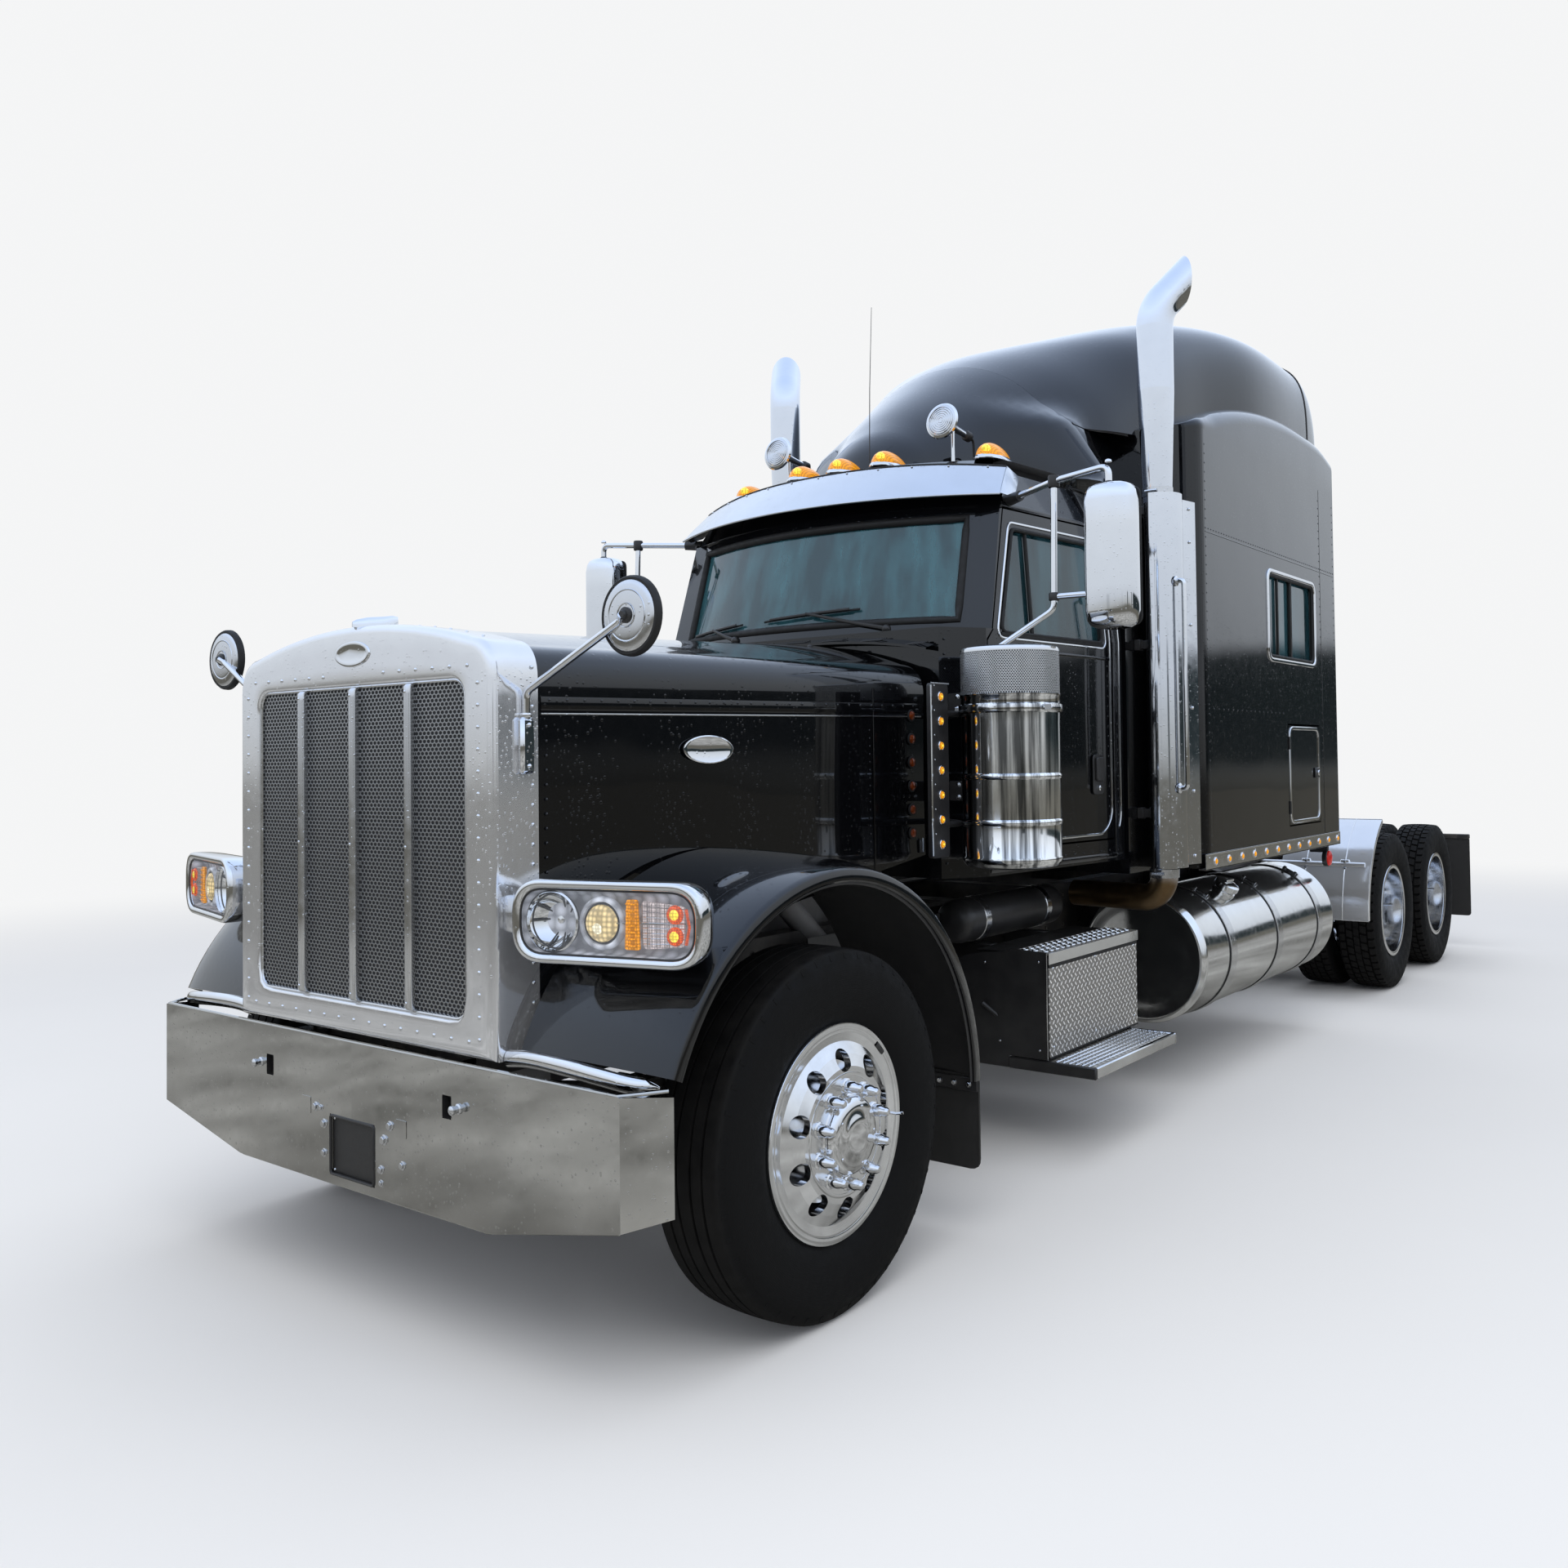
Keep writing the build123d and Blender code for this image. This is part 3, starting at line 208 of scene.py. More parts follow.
def tyre_rubber(name):
    g = G(name)
    x, y, z = g.xyz()
    r = g.math("SQRT", g.math("ADD", g.math("MULTIPLY", y, y), g.math("MULTIPLY", z, z)))
    worn = g.span(r, 0.528, 0.548, 0.0, 1.0, True)
    n = g.noise(22.0, 7.0)
    col = g.mix(n, (0.0025, 0.0025, 0.003), (0.0075, 0.0074, 0.007))
    col = g.mix(g.math("MULTIPLY", worn, g.span(n, 0.3, 0.7, 0.15, 0.5)), col, (0.018, 0.017, 0.016))
    ring = g.math("SINE", g.math("MULTIPLY", r, 2 * pi / 0.0055))
    side = g.span(r, 0.36, 0.38, 0.0, 1.0)
    side = g.math("MULTIPLY", side, g.span(r, 0.50, 0.515, 1.0, 0.0))
    b = g.bump(g.math("MULTIPLY", ring, side), 0.15, 0.0008)
    b = g.bump(g.noise(700.0, 3.0), 0.25, 0.0006, b)
    return g.set(base=col, rough=g.span(n, 0.3, 0.7, 0.58, 0.82), normal=b, spec=0.12)


def rubber(name, base=(0.006, 0.006, 0.0065), base2=(0.015, 0.0147, 0.0143), rough=(0.5, 0.75)):
    g = G(name)
    n = g.noise(35.0, 6.0)
    return g.set(base=g.mix(n, base, base2), rough=g.span(n, 0.3, 0.7, *rough), normal=g.bump(g.noise(500.0, 3.0), 0.2, 0.0006), spec=0.4)


def iron(name, base=(0.010, 0.010, 0.011), base2=(0.028, 0.026, 0.024), dust=(0.13, 0.115, 0.095), amount=0.55, rough=(0.35, 0.6)):
    g = G(name)
    f = g.math("MULTIPLY", g.span(g.noise(11.0, 8.0), 0.42, 0.75, 0.0, 1.0), amount, clamp=True)
    n = g.noise(6.0, 5.0)
    col = g.mix(f, g.mix(n, base, base2), dust)
    b = g.bump(g.noise(140.0, 5.0), 0.30, 0.0015)
    return g.set(base=col, rough=g.math("ADD", g.span(n, 0.3, 0.7, *rough), g.math("MULTIPLY", f, 0.3), clamp=True), normal=b)


def reflection_streaked(name, low=(0.15, 0.155, 0.16), high=(0.95, 0.96, 0.97)):
    """Polished upright shell: bright and dark bands drawn out from top to bottom, painted into the base colour as a
    painted reflection.
    """
    g = G(name)
    x, y, z = g.xyz()
    n = g.noise(1.0, 5.0, g.vec(g.math("MULTIPLY", x, 22.0), g.math("MULTIPLY", y, 22.0), g.math("MULTIPLY", z, 0.9)))
    # painted reflection: the colour runs from dark to bright in upright bands
    col = g.mix(g.span(n, 0.43, 0.57, 0.0, 1.0), low, high)
    return g.set(base=col, metal=1.0, rough=g.span(g.noise(7.0, 5.0), 0.3, 0.7, 0.05, 0.12), normal=g.bump(g.noise(5.0, 3.0), 0.05, 0.003))


def glass(name, base, alpha, rough=0.02):
    g = G(name)
    x, y, z = g.xyz()
    # painted reflection: upright streaks lighter and darker than the glass's tint
    n = g.noise(3.0, 6.0, g.vec(g.math("MULTIPLY", x, 3.0), g.math("MULTIPLY", y, 3.0), g.math("MULTIPLY", z, 0.35)))
    col = g.mix(g.span(n, 0.40, 0.66, 0.0, 1.0), tuple(v * 0.6 for v in base), tuple(v * 1.7 for v in base))
    a = g.span(g.noise(9.0, 6.0), 0.3, 0.8, alpha, min(1.0, alpha + 0.06))
    m = g.set(base=col, alpha=a, rough=g.span(g.noise(18.0, 6.0), 0.3, 0.7, rough, rough + 0.03), spec=0.55, coat=0.45, coat_rough=0.01,
              normal=g.bump(drops(g, 70.0), 0.12, 0.0008), ior=1.52)
    m.blend_method = "BLEND"
    return m


def lens(name, base, emit=0.0, rough=0.12, cells=260.0, alpha=1.0, glow=None):
    g = G(name)
    v = g.voronoi(cells, randomness=0.15)
    cell = g.span(v, 0.10, 0.60, 1.0, 0.0)
    col = g.mix(cell, tuple(c * 0.45 for c in base), tuple(min(1.0, c * 1.25) for c in base))
    m = g.set(base=col, rough=g.span(v, 0.0, 0.6, rough, rough + 0.1), normal=g.bump(v, 0.35, 0.0015), coat=0.30, coat_rough=0.05, spec=0.30)
    if emit:
        e = glow or base
        g.set(emit=g.mix(cell, tuple(c * 0.30 for c in e), e), emit_w=emit)
    if alpha < 1.0:
        g.set(alpha=alpha)
        m.blend_method = "BLEND"
    return m


def tread_plate(name):
    """Bright tread plate: short raised bars, turned a quarter in every other cell."""
    g = G(name)
    x, y, z = g.xyz()
    nrm = g.xyz(g.n("ShaderNodeNewGeometry").outputs["Normal"])
    ax, az = g.math("GREATER_THAN", g.math("ABSOLUTE", nrm[0]), 0.7), g.math("GREATER_THAN", g.math("ABSOLUTE", nrm[2]), 0.7)
    # the two directions that lie in the face
    u = g.math("ADD", g.math("MULTIPLY", ax, y), g.math("MULTIPLY", g.math("SUBTRACT", 1.0, ax), x))
    v = g.math("ADD", g.math("MULTIPLY", az, y), g.math("MULTIPLY", g.math("SUBTRACT", 1.0, az), z))
    k = 1.0 / 0.027
    p = g.math("MULTIPLY", g.math("ADD", u, v), k * 0.7071)
    q = g.math("MULTIPLY", g.math("SUBTRACT", u, v), k * 0.7071)
    odd = g.math("MODULO", g.math("ABSOLUTE", g.math("ADD", g.math("FLOOR", p), g.math("FLOOR", q))), 2.0)
    fp, fq = g.math("SUBTRACT", g.math("FRACT", p), 0.5), g.math("SUBTRACT", g.math("FRACT", q), 0.5)
    keep = g.math("SUBTRACT", 1.0, odd)
    a = g.math("ADD", g.math("MULTIPLY", fp, odd), g.math("MULTIPLY", fq, keep))
    b = g.math("ADD", g.math("MULTIPLY", fq, odd), g.math("MULTIPLY", fp, keep))
    e = g.math("ADD", g.math("POWER", g.math("ABSOLUTE", g.math("MULTIPLY", a, 2.15)), 2.0), g.math("POWER", g.math("ABSOLUTE", g.math("MULTIPLY", b, 6.0)), 2.0))
    bar = g.span(e, 0.55, 1.15, 1.0, 0.0, True)
    n = g.noise(30.0, 6.0)
    col = g.mix(bar, g.mix(n, (0.34, 0.33, 0.31), (0.16, 0.155, 0.148)), (1.0, 1.0, 0.98))
    rough = g.math("SUBTRACT", g.span(n, 0.3, 0.7, 0.30, 0.48), g.math("MULTIPLY", bar, 0.18))
    return g.set(base=col, metal=0.45, rough=rough, normal=g.bump(bar, 0.8, 0.003))


def punched(name, pitch=0.0125, back=(0.006, 0.006, 0.007), metal=(0.58, 0.59, 0.60), hole=0.40, stretch=1.0, upright=False):
    """A sheet punched with rows of holes set half a step apart."""
    g = G(name)
    x, y, z = g.xyz()
    if upright:
        ang = g.math("ARCTAN2", y, x)
        u = g.math("MULTIPLY", ang, 0.1905 / pitch)
    else:
        u = g.math("DIVIDE", x, pitch)
    v = g.math("DIVIDE", z, pitch * 0.62)
    row = g.math("FLOOR", v)
    half = g.math("MULTIPLY", g.math("MODULO", g.math("ABSOLUTE", row), 2.0), 0.5)
    fu = g.math("SUBTRACT", g.math("FRACT", g.math("ADD", u, half)), 0.5)
    fv = g.math("SUBTRACT", g.math("FRACT", v), 0.5)
    du = g.math("MULTIPLY", fu, stretch)
    dv = g.math("MULTIPLY", fv, 0.80)
    d = g.math("SQRT", g.math("ADD", g.math("MULTIPLY", du, du), g.math("MULTIPLY", dv, dv)))
    solid = g.span(d, hole - 0.035, hole + 0.035, 0.0, 1.0, True)
    n = g.noise(30.0, 6.0)
    col = g.mix(solid, back, g.mix(n, metal, tuple(c * 0.8 for c in metal)))
    rough = g.math("SUBTRACT", 0.75, g.math("MULTIPLY", solid, g.span(n, 0.3, 0.7, 0.50, 0.42)))
    return g.set(base=col, metal=g.math("MULTIPLY", solid, 0.95), rough=rough, normal=g.bump(solid, 0.9, 0.004))


def woven(name, base, base2, scale=520.0):
    g = G(name)
    x, y, z = g.xyz()
    a = g.math("SINE", g.math("MULTIPLY", g.math("ADD", x, z), scale * 2))
    b = g.math("SINE", g.math("MULTIPLY", g.math("ADD", y, z), scale * 2))
    w = g.math("MULTIPLY", a, b)
    n = g.noise(12.0, 6.0)
    col = g.mix(g.span(w, -1.0, 1.0, 0.2, 0.8), base, base2)
    col = g.mix(g.math("MULTIPLY", n, 0.4), col, base)
    return g.set(base=col, rough=0.9, sheen=0.35, sheen_rough=0.5, normal=g.bump(w, 0.35, 0.001))


def grained(name, base, base2, rough=(0.45, 0.6), scale=160.0):
    g = G(name)
    v = g.voronoi(scale)
    n = g.noise(8.0, 5.0)
    return g.set(base=g.mix(n, base, base2), rough=g.span(n, 0.3, 0.7, *rough), normal=g.bump(v, 0.25, 0.0012))


def finned(name):
    g = G(name)
    x, y, z = g.xyz()
    w = g.math("MULTIPLY", g.math("SINE", g.math("MULTIPLY", z, 2 * pi / 0.003)), 1.0)
    tube = g.math("GREATER_THAN", g.math("FRACT", g.math("MULTIPLY", x, 1 / 0.012)), 0.22)
    col = g.mix(tube, (0.05, 0.05, 0.05), (0.018, 0.018, 0.019))
    return g.set(base=col, metal=0.6, rough=g.span(w, -1.0, 1.0, 0.45, 0.75), normal=g.bump(w, 0.5, 0.001))


PAINT = paint("black_gloss_paint")
PAINT_HOOD = paint("black_gloss_hood", wet=0.45)
CHROME = bright("chrome_plate")
SHELL = bright("bright_shell", lo=0.05, hi=0.13, wave=0.06, wet=0.35, metal=0.78)
BUMPER = bright("bumper_chrome", base=(0.52, 0.52, 0.51), lo=0.02, hi=0.10, wave=0.16, wet=0.5, film=0.60)
STAINLESS = bright("stainless_sheet", base=(0.68, 0.69, 0.71), lo=0.12, hi=0.24, wave=0.03, wet=0.6)
POLISHED = bright("polished_aluminium", base=(0.80, 0.81, 0.82), lo=0.07, hi=0.18, wave=0.06, wet=0.1, film=0.45)
# the canister's colour carries painted reflection bands
CANISTER = reflection_streaked("canister_chrome")
GUARD = bright("guard_bright", base=(0.80, 0.81, 0.82), lo=0.07, hi=0.18, wave=0.06, wet=0.1, film=0.30, metal=0.70)
TANK_MAT = turned_metal("spun_tank", None, lo=0.05, hi=0.14, film=0.12)
RIM_F, RIM_1, RIM_2 = (turned_metal(f"rim_polish_{i}", s) for i, s in (("front", AXLE_F), ("one", AXLE_1), ("two", AXLE_2)))
NUT = bright("nut_cover_chrome", lo=0.03, hi=0.08, wave=0.0, wet=0.0, film=0.1)
TYRE = tyre_rubber("tyre_rubber")
SEAL = rubber("seal_rubber")
HOSE = rubber("hose_rubber", rough=(0.35, 0.5))
FLAP = rubber("flap_rubber", (0.016, 0.016, 0.016), (0.03, 0.029, 0.028), (0.45, 0.65))
IRON = iron("chassis_black")
RAIL = iron("rail_black", amount=0.35, rough=(0.28, 0.45))
CAST = iron("engine_grey", (0.10, 0.105, 0.11), (0.17, 0.17, 0.17), (0.09, 0.08, 0.07), 0.5)
GREASE = iron("plate_steel", (0.05, 0.05, 0.05), (0.09, 0.085, 0.08), (0.02, 0.018, 0.015), 0.8, (0.3, 0.5))
BLACKBOX = iron("bracket_black", (0.012, 0.012, 0.013), (0.02, 0.02, 0.021), (0.05, 0.048, 0.045), 0.3, (0.30, 0.45))
# windscreen, dark and clear glass all carry painted reflection streaks in their colour
GLASS = glass("windscreen_glass", (0.024, 0.085, 0.105), 0.80)
TINT = glass("dark_glass", (0.014, 0.046, 0.058), 0.86)
CLEAR = glass("clear_lens", (0.55, 0.58, 0.62), 0.08)
AMBER = lens("amber_lens", (0.90, 0.33, 0.001), 0.55, glow=(1.0, 0.37, 0.001), cells=120.0)
AMBER_LIT = lens("amber_lit", (0.92, 0.34, 0.001), 0.80, glow=(1.0, 0.38, 0.002), cells=170.0)
AMBER_SPOT = lens("amber_filament", (1.0, 0.70, 0.05), 1.3, glow=(1.0, 0.76, 0.08), cells=120.0)
SIGNAL = lens("signal_lit", (0.80, 0.10, 0.006), 0.55, glow=(1.0, 0.12, 0.006), cells=150.0)
AMBER_OFF = lens("amber_unlit", (0.20, 0.035, 0.004), 0.0)
RED = lens("red_lens", (0.50, 0.008, 0.006), 0.35, glow=(0.9, 0.02, 0.01))
WARM = lens("headlamp_lit", (0.80, 0.64, 0.34), 0.42, glow=(1.0, 0.74, 0.32), cells=70.0)
WARM_SPOT = lens("headlamp_core", (1.0, 0.92, 0.66), 1.1, glow=(1.0, 0.90, 0.60), cells=110.0)
# painted reflection: the reflector's inside glows faintly pale blue, though it is no lamp
REFLECTOR_GLOW = lens("reflector_inner", (0.62, 0.65, 0.72), 0.16, cells=26.0, glow=(0.80, 0.84, 0.95))
REFLECT = bright("reflector", base=(0.88, 0.89, 0.90), lo=0.03, hi=0.07, wave=0.0, wet=0.0, film=0.0)
FROST = lens("ribbed_clear", (0.74, 0.66, 0.66), 0.16, cells=140.0, glow=(1.0, 0.72, 0.66))
MIRROR = bright("mirror_glass", base=(0.75, 0.79, 0.82), lo=0.01, hi=0.03, wave=0.0, wet=0.05, film=0.0)
TREAD = tread_plate("tread_plate")
PUNCH = punched("punched_grille", pitch=0.0190, hole=0.36, stretch=0.92, metal=(0.42, 0.425, 0.43))
CORE = finned("radiator_core")
CLOTH = woven("seat_cloth", (0.050, 0.052, 0.058), (0.13, 0.13, 0.14))
QUILT = woven("mattress_cloth", (0.16, 0.16, 0.17), (0.27, 0.27, 0.28), 300.0)
TRIM = grained("dash_grain", (0.022, 0.022, 0.024), (0.04, 0.04, 0.042))
HEADLINER = grained("headliner", (0.10, 0.10, 0.105), (0.15, 0.15, 0.155), (0.8, 0.95), 300.0)
MAT = grained("floor_mat", (0.014, 0.014, 0.014), (0.028, 0.027, 0.026), (0.7, 0.9), 90.0)
VINYL = grained("seat_vinyl", (0.03, 0.03, 0.033), (0.055, 0.055, 0.06), (0.38, 0.52), 260.0)


# ------------------------------------------------------------------ mesh builder
class Kit:
    """Gathers faces of several materials into one mesh. side = -1 mirrors everything about the middle plane."""

    def __init__(k, side=1, centre=(0, 4970, 0)):
        k.v, k.f, k.m, k.mats, k.side, k.o = [], [], [], [], side, V(*centre)

    def add(k, verts, faces, mat):
        if mat not in k.mats:
            k.mats.append(mat)
        i, n = k.mats.index(mat), len(k.v)
        k.v += [Vector(v) for v in verts]
        k.f += [tuple(n + j for j in f) for f in faces]
        k.m += [i] * len(faces)

    def skin(k, rings, mat, closed=True, caps=(0, 0), loop=False, flip=False):
        """Joins equal rings of points in turn."""
        n, m = len(rings[0]), len(rings)
        faces = []
        for a in range(m if loop else m - 1):
            b = (a + 1) % m
            for i in range(n if closed else n - 1):
                j = (i + 1) % n
                q = (a * n + i, a * n + j, b * n + j, b * n + i)
                faces.append(q[::-1] if flip else q)
        if caps[0]:
            q = tuple(range(n))
            faces.append(q if flip else q[::-1])
        if caps[1]:
            q = tuple((m - 1) * n + i for i in range(n))
            faces.append(q[::-1] if flip else q)
        k.add([p for r in rings for p in r], faces, mat)

    def tube(k, pts, r, mat, n=12, caps=True, squash=1.0):
        """A round bar through points; r is one radius or one for each point, in millimetres."""
        pts = [Vector(p) for p in pts]
        rs = [x / 1000.0 for x in (r if isinstance(r, (list, tuple)) else [r] * len(pts))]
        tang = []
        for i in range(len(pts)):
            a = pts[max(i - 1, 0)]
            b = pts[min(i + 1, len(pts) - 1)]
            tang.append((b - a).normalized())
        up = Vector((0, 0, 1)) if abs(tang[0].z) < 0.9 else Vector((0, 1, 0))
        u = (up - tang[0] * up.dot(tang[0])).normalized()
        rings = []
        for p, t, rr in zip(pts, tang, rs):
            u = (u - t * u.dot(t)).normalized()
            w = t.cross(u)
            rings.append([p + (u * cos(2 * pi * i / n) + w * sin(2 * pi * i / n) * squash) * rr for i in range(n)])
        k.skin(rings, mat, caps=(caps, caps))

    def lathe(k, profile, at, axis, mat, n=32, a0=0.0, a1=360.0, ref=None):
        """profile: (radius, distance along axis) in millimetres, turned about axis through at."""
        ax = Vector(axis).normalized()
        ref = Vector(ref) if ref else (Vector((0, 0, 1)) if abs(ax.z) < 0.9 else Vector((1, 0, 0)))
        u = (ref - ax * ref.dot(ax)).normalized()
        w = ax.cross(u)
        full = abs(a1 - a0) >= 360.0
        steps = n if full else n + 1
        at = Vector(at)
        rings = []
        for i in range(steps):
            a = radians(a0 + (a1 - a0) * i / n)
            d = u * cos(a) + w * sin(a)
            rings.append([at + d * (r / 1000.0) + ax * (h / 1000.0) for r, h in profile])
        k.skin(rings, mat, closed=False, loop=full, flip=True)

    def dome(k, at, axis, r, h, mat, n=10):
        """A rivet or bolt head: low dome on a short wall."""
        k.lathe([(r, -0.3 * h), (r, 0.15 * h), (r * 0.86, 0.62 * h), (r * 0.5, 0.92 * h), (0.02, h)], at, axis, mat, n)

    def hexa(k, at, axis, r, h, mat, washer=True):
        if washer:
            k.lathe([(r * 1.35, -0.5), (r * 1.35, h * 0.12), (r * 1.25, h * 0.2), (0.02, h * 0.2)], at, axis, mat, 16)
        k.lathe([(r, 0), (r, h * 0.88), (r * 0.86, h), (0.02, h)], at, axis, mat, 6)

    def box(k, x0, x1, s0, s1, z0, z1, mat, c=3.0):
        """A box with its edges broken by c."""
        (x0, x1), (s0, s1), (z0, z1) = sorted((x0, x1)), sorted((s0, s1)), sorted((z0, z1))
        c = min(c, (x1 - x0) * 0.45, (s1 - s0) * 0.45, (z1 - z0) * 0.45)
        k.chunk([V(x, s, z) for x, s, z in [(x0, s0, z0), (x1, s0, z0), (x1, s1, z0), (x0, s1, z0), (x0, s0, z1), (x1, s0, z1), (x1, s1, z1), (x0, s1, z1)]], mat, c)

    def chunk(k, p, mat, c=3.0):
        """Eight corners (four below, four above) with broken edges."""
        p = [Vector(q) for q in p]
        nb = {0: (1, 3, 4), 1: (0, 2, 5), 2: (3, 1, 6), 3: (2, 0, 7), 4: (5, 7, 0), 5: (4, 6, 1), 6: (7, 5, 2), 7: (6, 4, 3)}
        c /= 1000.0
        d = {(i, j): (p[j] - p[i]).normalized() * c for i in nb for j in nb[i]}
        sides = [(0, 3, 2, 1), (4, 5, 6, 7), (0, 1, 5, 4), (1, 2, 6, 5), (2, 3, 7, 6), (3, 0, 4, 7)]
        verts, at, faces = [], {}, []
        for fi, f in enumerate(sides):
            for a, i in enumerate(f):
                prev, nxt = f[a - 1], f[(a + 1) % 4]
                at[fi, i] = len(verts)
                verts.append(p[i] + d[i, prev] + d[i, nxt])
            faces.append(tuple(at[fi, i] for i in f))
        for fi, f in enumerate(sides):
            for a, i in enumerate(f):
                j = f[(a + 1) % 4]
                for gi in range(fi + 1, 6):
                    if i in sides[gi] and j in sides[gi]:
                        faces.append((at[fi, j], at[fi, i], at[gi, i], at[gi, j]))
        for i in range(8):
            t = [fi for fi in range(6) if i in sides[fi]]
            a, b, e = (verts[at[fi, i]] for fi in t)
            n = (b - a).cross(e - a)
            q = tuple(at[fi, i] for fi in t)
            out = p[i] - sum(p, Vector()) / 8
            faces.append(q if n.dot(out) > 0 else q[::-1])
        k.add(verts, faces, mat)

    def prism(k, pts, depth, mat, c=2.0):
        """A flat outline (points in order) carried along the vector depth, its rims broken by c."""
        pts = [Vector(q) for q in pts]
        depth = Vector(depth)
        dn = depth.normalized()
        nrm = Vector()
        for a, b in zip(pts, pts[1:] + pts[:1]):
            nrm += a.cross(b)
        if nrm.dot(dn) < 0:
            pts.reverse()
        cc = c / 1000.0
        ins = []
        for i, q in enumerate(pts):
            a, b = (q - pts[i - 1]).normalized(), (pts[(i + 1) % len(pts)] - q).normalized()
            na, nb = dn.cross(a), dn.cross(b)
            m = na + nb
            m = m / max(m.dot(na), 0.3) if m.length > 1e-6 else na
            ins.append(q + m * cc)
        end = depth - dn * cc
        k.skin([ins, [q + dn * cc for q in pts], [q + end for q in pts], [q + depth for q in ins]], mat, caps=(1, 1))

    def strip(k, pts, normals, w, t, mat):
        """A thin rounded band lying on a surface: pts its middle line, normals the way out of the surface."""
        pts = [Vector(p) for p in pts]
        rings = []
        for i, p in enumerate(pts):
            tan = (pts[min(i + 1, len(pts) - 1)] - pts[max(i - 1, 0)]).normalized()
            n = Vector(normals[i] if isinstance(normals, list) else normals).normalized()
            n = (n - tan * n.dot(tan)).normalized()
            b = tan.cross(n)
            h = w / 2000.0
            tt = t / 1000.0
            rings.append([p + b * x * h + n * y * tt for x, y in [(-1, -0.3), (-1, 0.35), (-0.72, 0.85), (0, 1.0), (0.72, 0.85), (1, 0.35), (1, -0.3)]])
        k.skin(rings, mat, caps=(1, 1))

    def done(k, name, body, replaces=(), angle=38.0, both=False, sub=0):
        if both:
            n = len(k.v)
            k.v += [Vector((-v.x, v.y, v.z)) for v in k.v]
            k.f += [tuple(n + i for i in f)[::-1] for f in k.f]
            k.m += list(k.m)
        verts, faces = k.v, k.f
        if k.side < 0:
            verts = [Vector((-v.x, v.y, v.z)) for v in verts]
            faces = [f[::-1] for f in faces]
        o = Vector((k.o.x * k.side, k.o.y, k.o.z))
        me = bpy.data.meshes.new(name)
        me.from_pydata([tuple(v - o) for v in verts], [], faces)
        me.validate()
        for m in k.mats:
            me.materials.append(m)
        if len(me.polygons) == len(k.m):
            me.polygons.foreach_set("material_index", k.m)
        me.update()
        me.polygons.foreach_set("use_smooth", [True] * len(me.polygons))
        me.set_sharp_from_angle(angle=radians(angle))
        ob = bpy.data.objects.new(name, me)
        bpy.context.scene.collection.objects.link(ob)
        ob.location = o
        if sub:
            md = ob.modifiers.new("smooth", "SUBSURF")
            md.levels = md.render_levels = sub
        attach(ob, body)
        if replaces:
            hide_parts(*replaces)
        return ob


def arc_pts(f, a0, a1, n):
    return [f(radians(a0 + (a1 - a0) * i / n)) for i in range(n + 1)]


def rounded(points, r, n=5):
    """A closed or open 2-D line with its corners rounded by r (one value or one per point)."""
    out = []
    m = len(points)
    for i, p in enumerate(points):
        rr = r[i] if isinstance(r, (list, tuple)) else r
        a, b = points[i - 1], points[(i + 1) % m]
        p = Vector(p)
        da, db = Vector(a) - p, Vector(b) - p
        la, lb = da.length, db.length
        if rr <= 0 or la < 1e-9 or lb < 1e-9:
            out.append(tuple(p))
            continue
        da.normalize(), db.normalize()
        ang = math.acos(max(-1, min(1, da.dot(db))))
        d = min(rr / max(math.tan(ang / 2), 1e-3), la * 0.49, lb * 0.49)
        e, g = p + da * d, p + db * d
        for j in range(n + 1):
            t = j / n
            out.append(tuple((1 - t) ** 2 * e + 2 * t * (1 - t) * p + t * t * g))
    return out


def smooth_path(points, k=6, closed=False):
    """Catmull-Rom through 3-D points."""
    pts = [Vector(p) for p in points]
    out = []
    n = len(pts)
    for i in range(n if closed else n - 1):
        p1, p2 = pts[i], pts[(i + 1) % n]
        p0 = pts[i - 1] if (i > 0 or closed) else p1 * 2 - p2
        p3 = pts[(i + 2) % n] if (i + 2 < n or closed) else p2 * 2 - p1
        for j in range(k):
            t = j / k
            out.append(0.5 * ((2 * p1) + (p2 - p0) * t + (2 * p0 - 5 * p1 + 4 * p2 - p3) * t * t + (3 * p1 - p0 - 3 * p2 + p3) * t ** 3))
    if not closed:
        out.append(pts[-1])
    return out


def bent(points, r, n=7):
    """A tube's line: straight runs joined by arcs of radius r, in millimetres."""
    pts = [Vector(p) for p in points]
    out = [pts[0]]
    for i in range(1, len(pts) - 1):
        a, p, b = pts[i - 1], pts[i], pts[i + 1]
        da, db = (a - p), (b - p)
        la, lb = da.length, db.length
        da.normalize(), db.normalize()
        ang = math.acos(max(-1, min(1, da.dot(db))))
        d = min(r / 1000.0 / max(math.tan(ang / 2), 1e-3), la * 0.48, lb * 0.48)
        e, g = p + da * d, p + db * d
        # true arc through the two tangent points
        for j in range(n + 1):
            t = j / n
            out.append((1 - t) ** 2 * e + 2 * t * (1 - t) * p + t * t * g)
    out.append(pts[-1])
    return out


def paint_nodes(names, *mats):
    """Gives CAD nodes a material."""
    for nm in names.split():
        me = NODES[nm].data
        me.materials.clear()
        for m in mats:
            me.materials.append(m)


SIDES = ((1, "left"), (-1, "right"))


# ================================================================== wheels
TYRE_WALL = [(100, 311), (106, 322), (112, 334), (123, 352), (131, 380), (136.5, 415), (138, 448), (136.5, 478), (131.5, 506), (129.5, 509), (129.0, 516),
             (126.5, 519), (121.5, 533), (117, 540)]


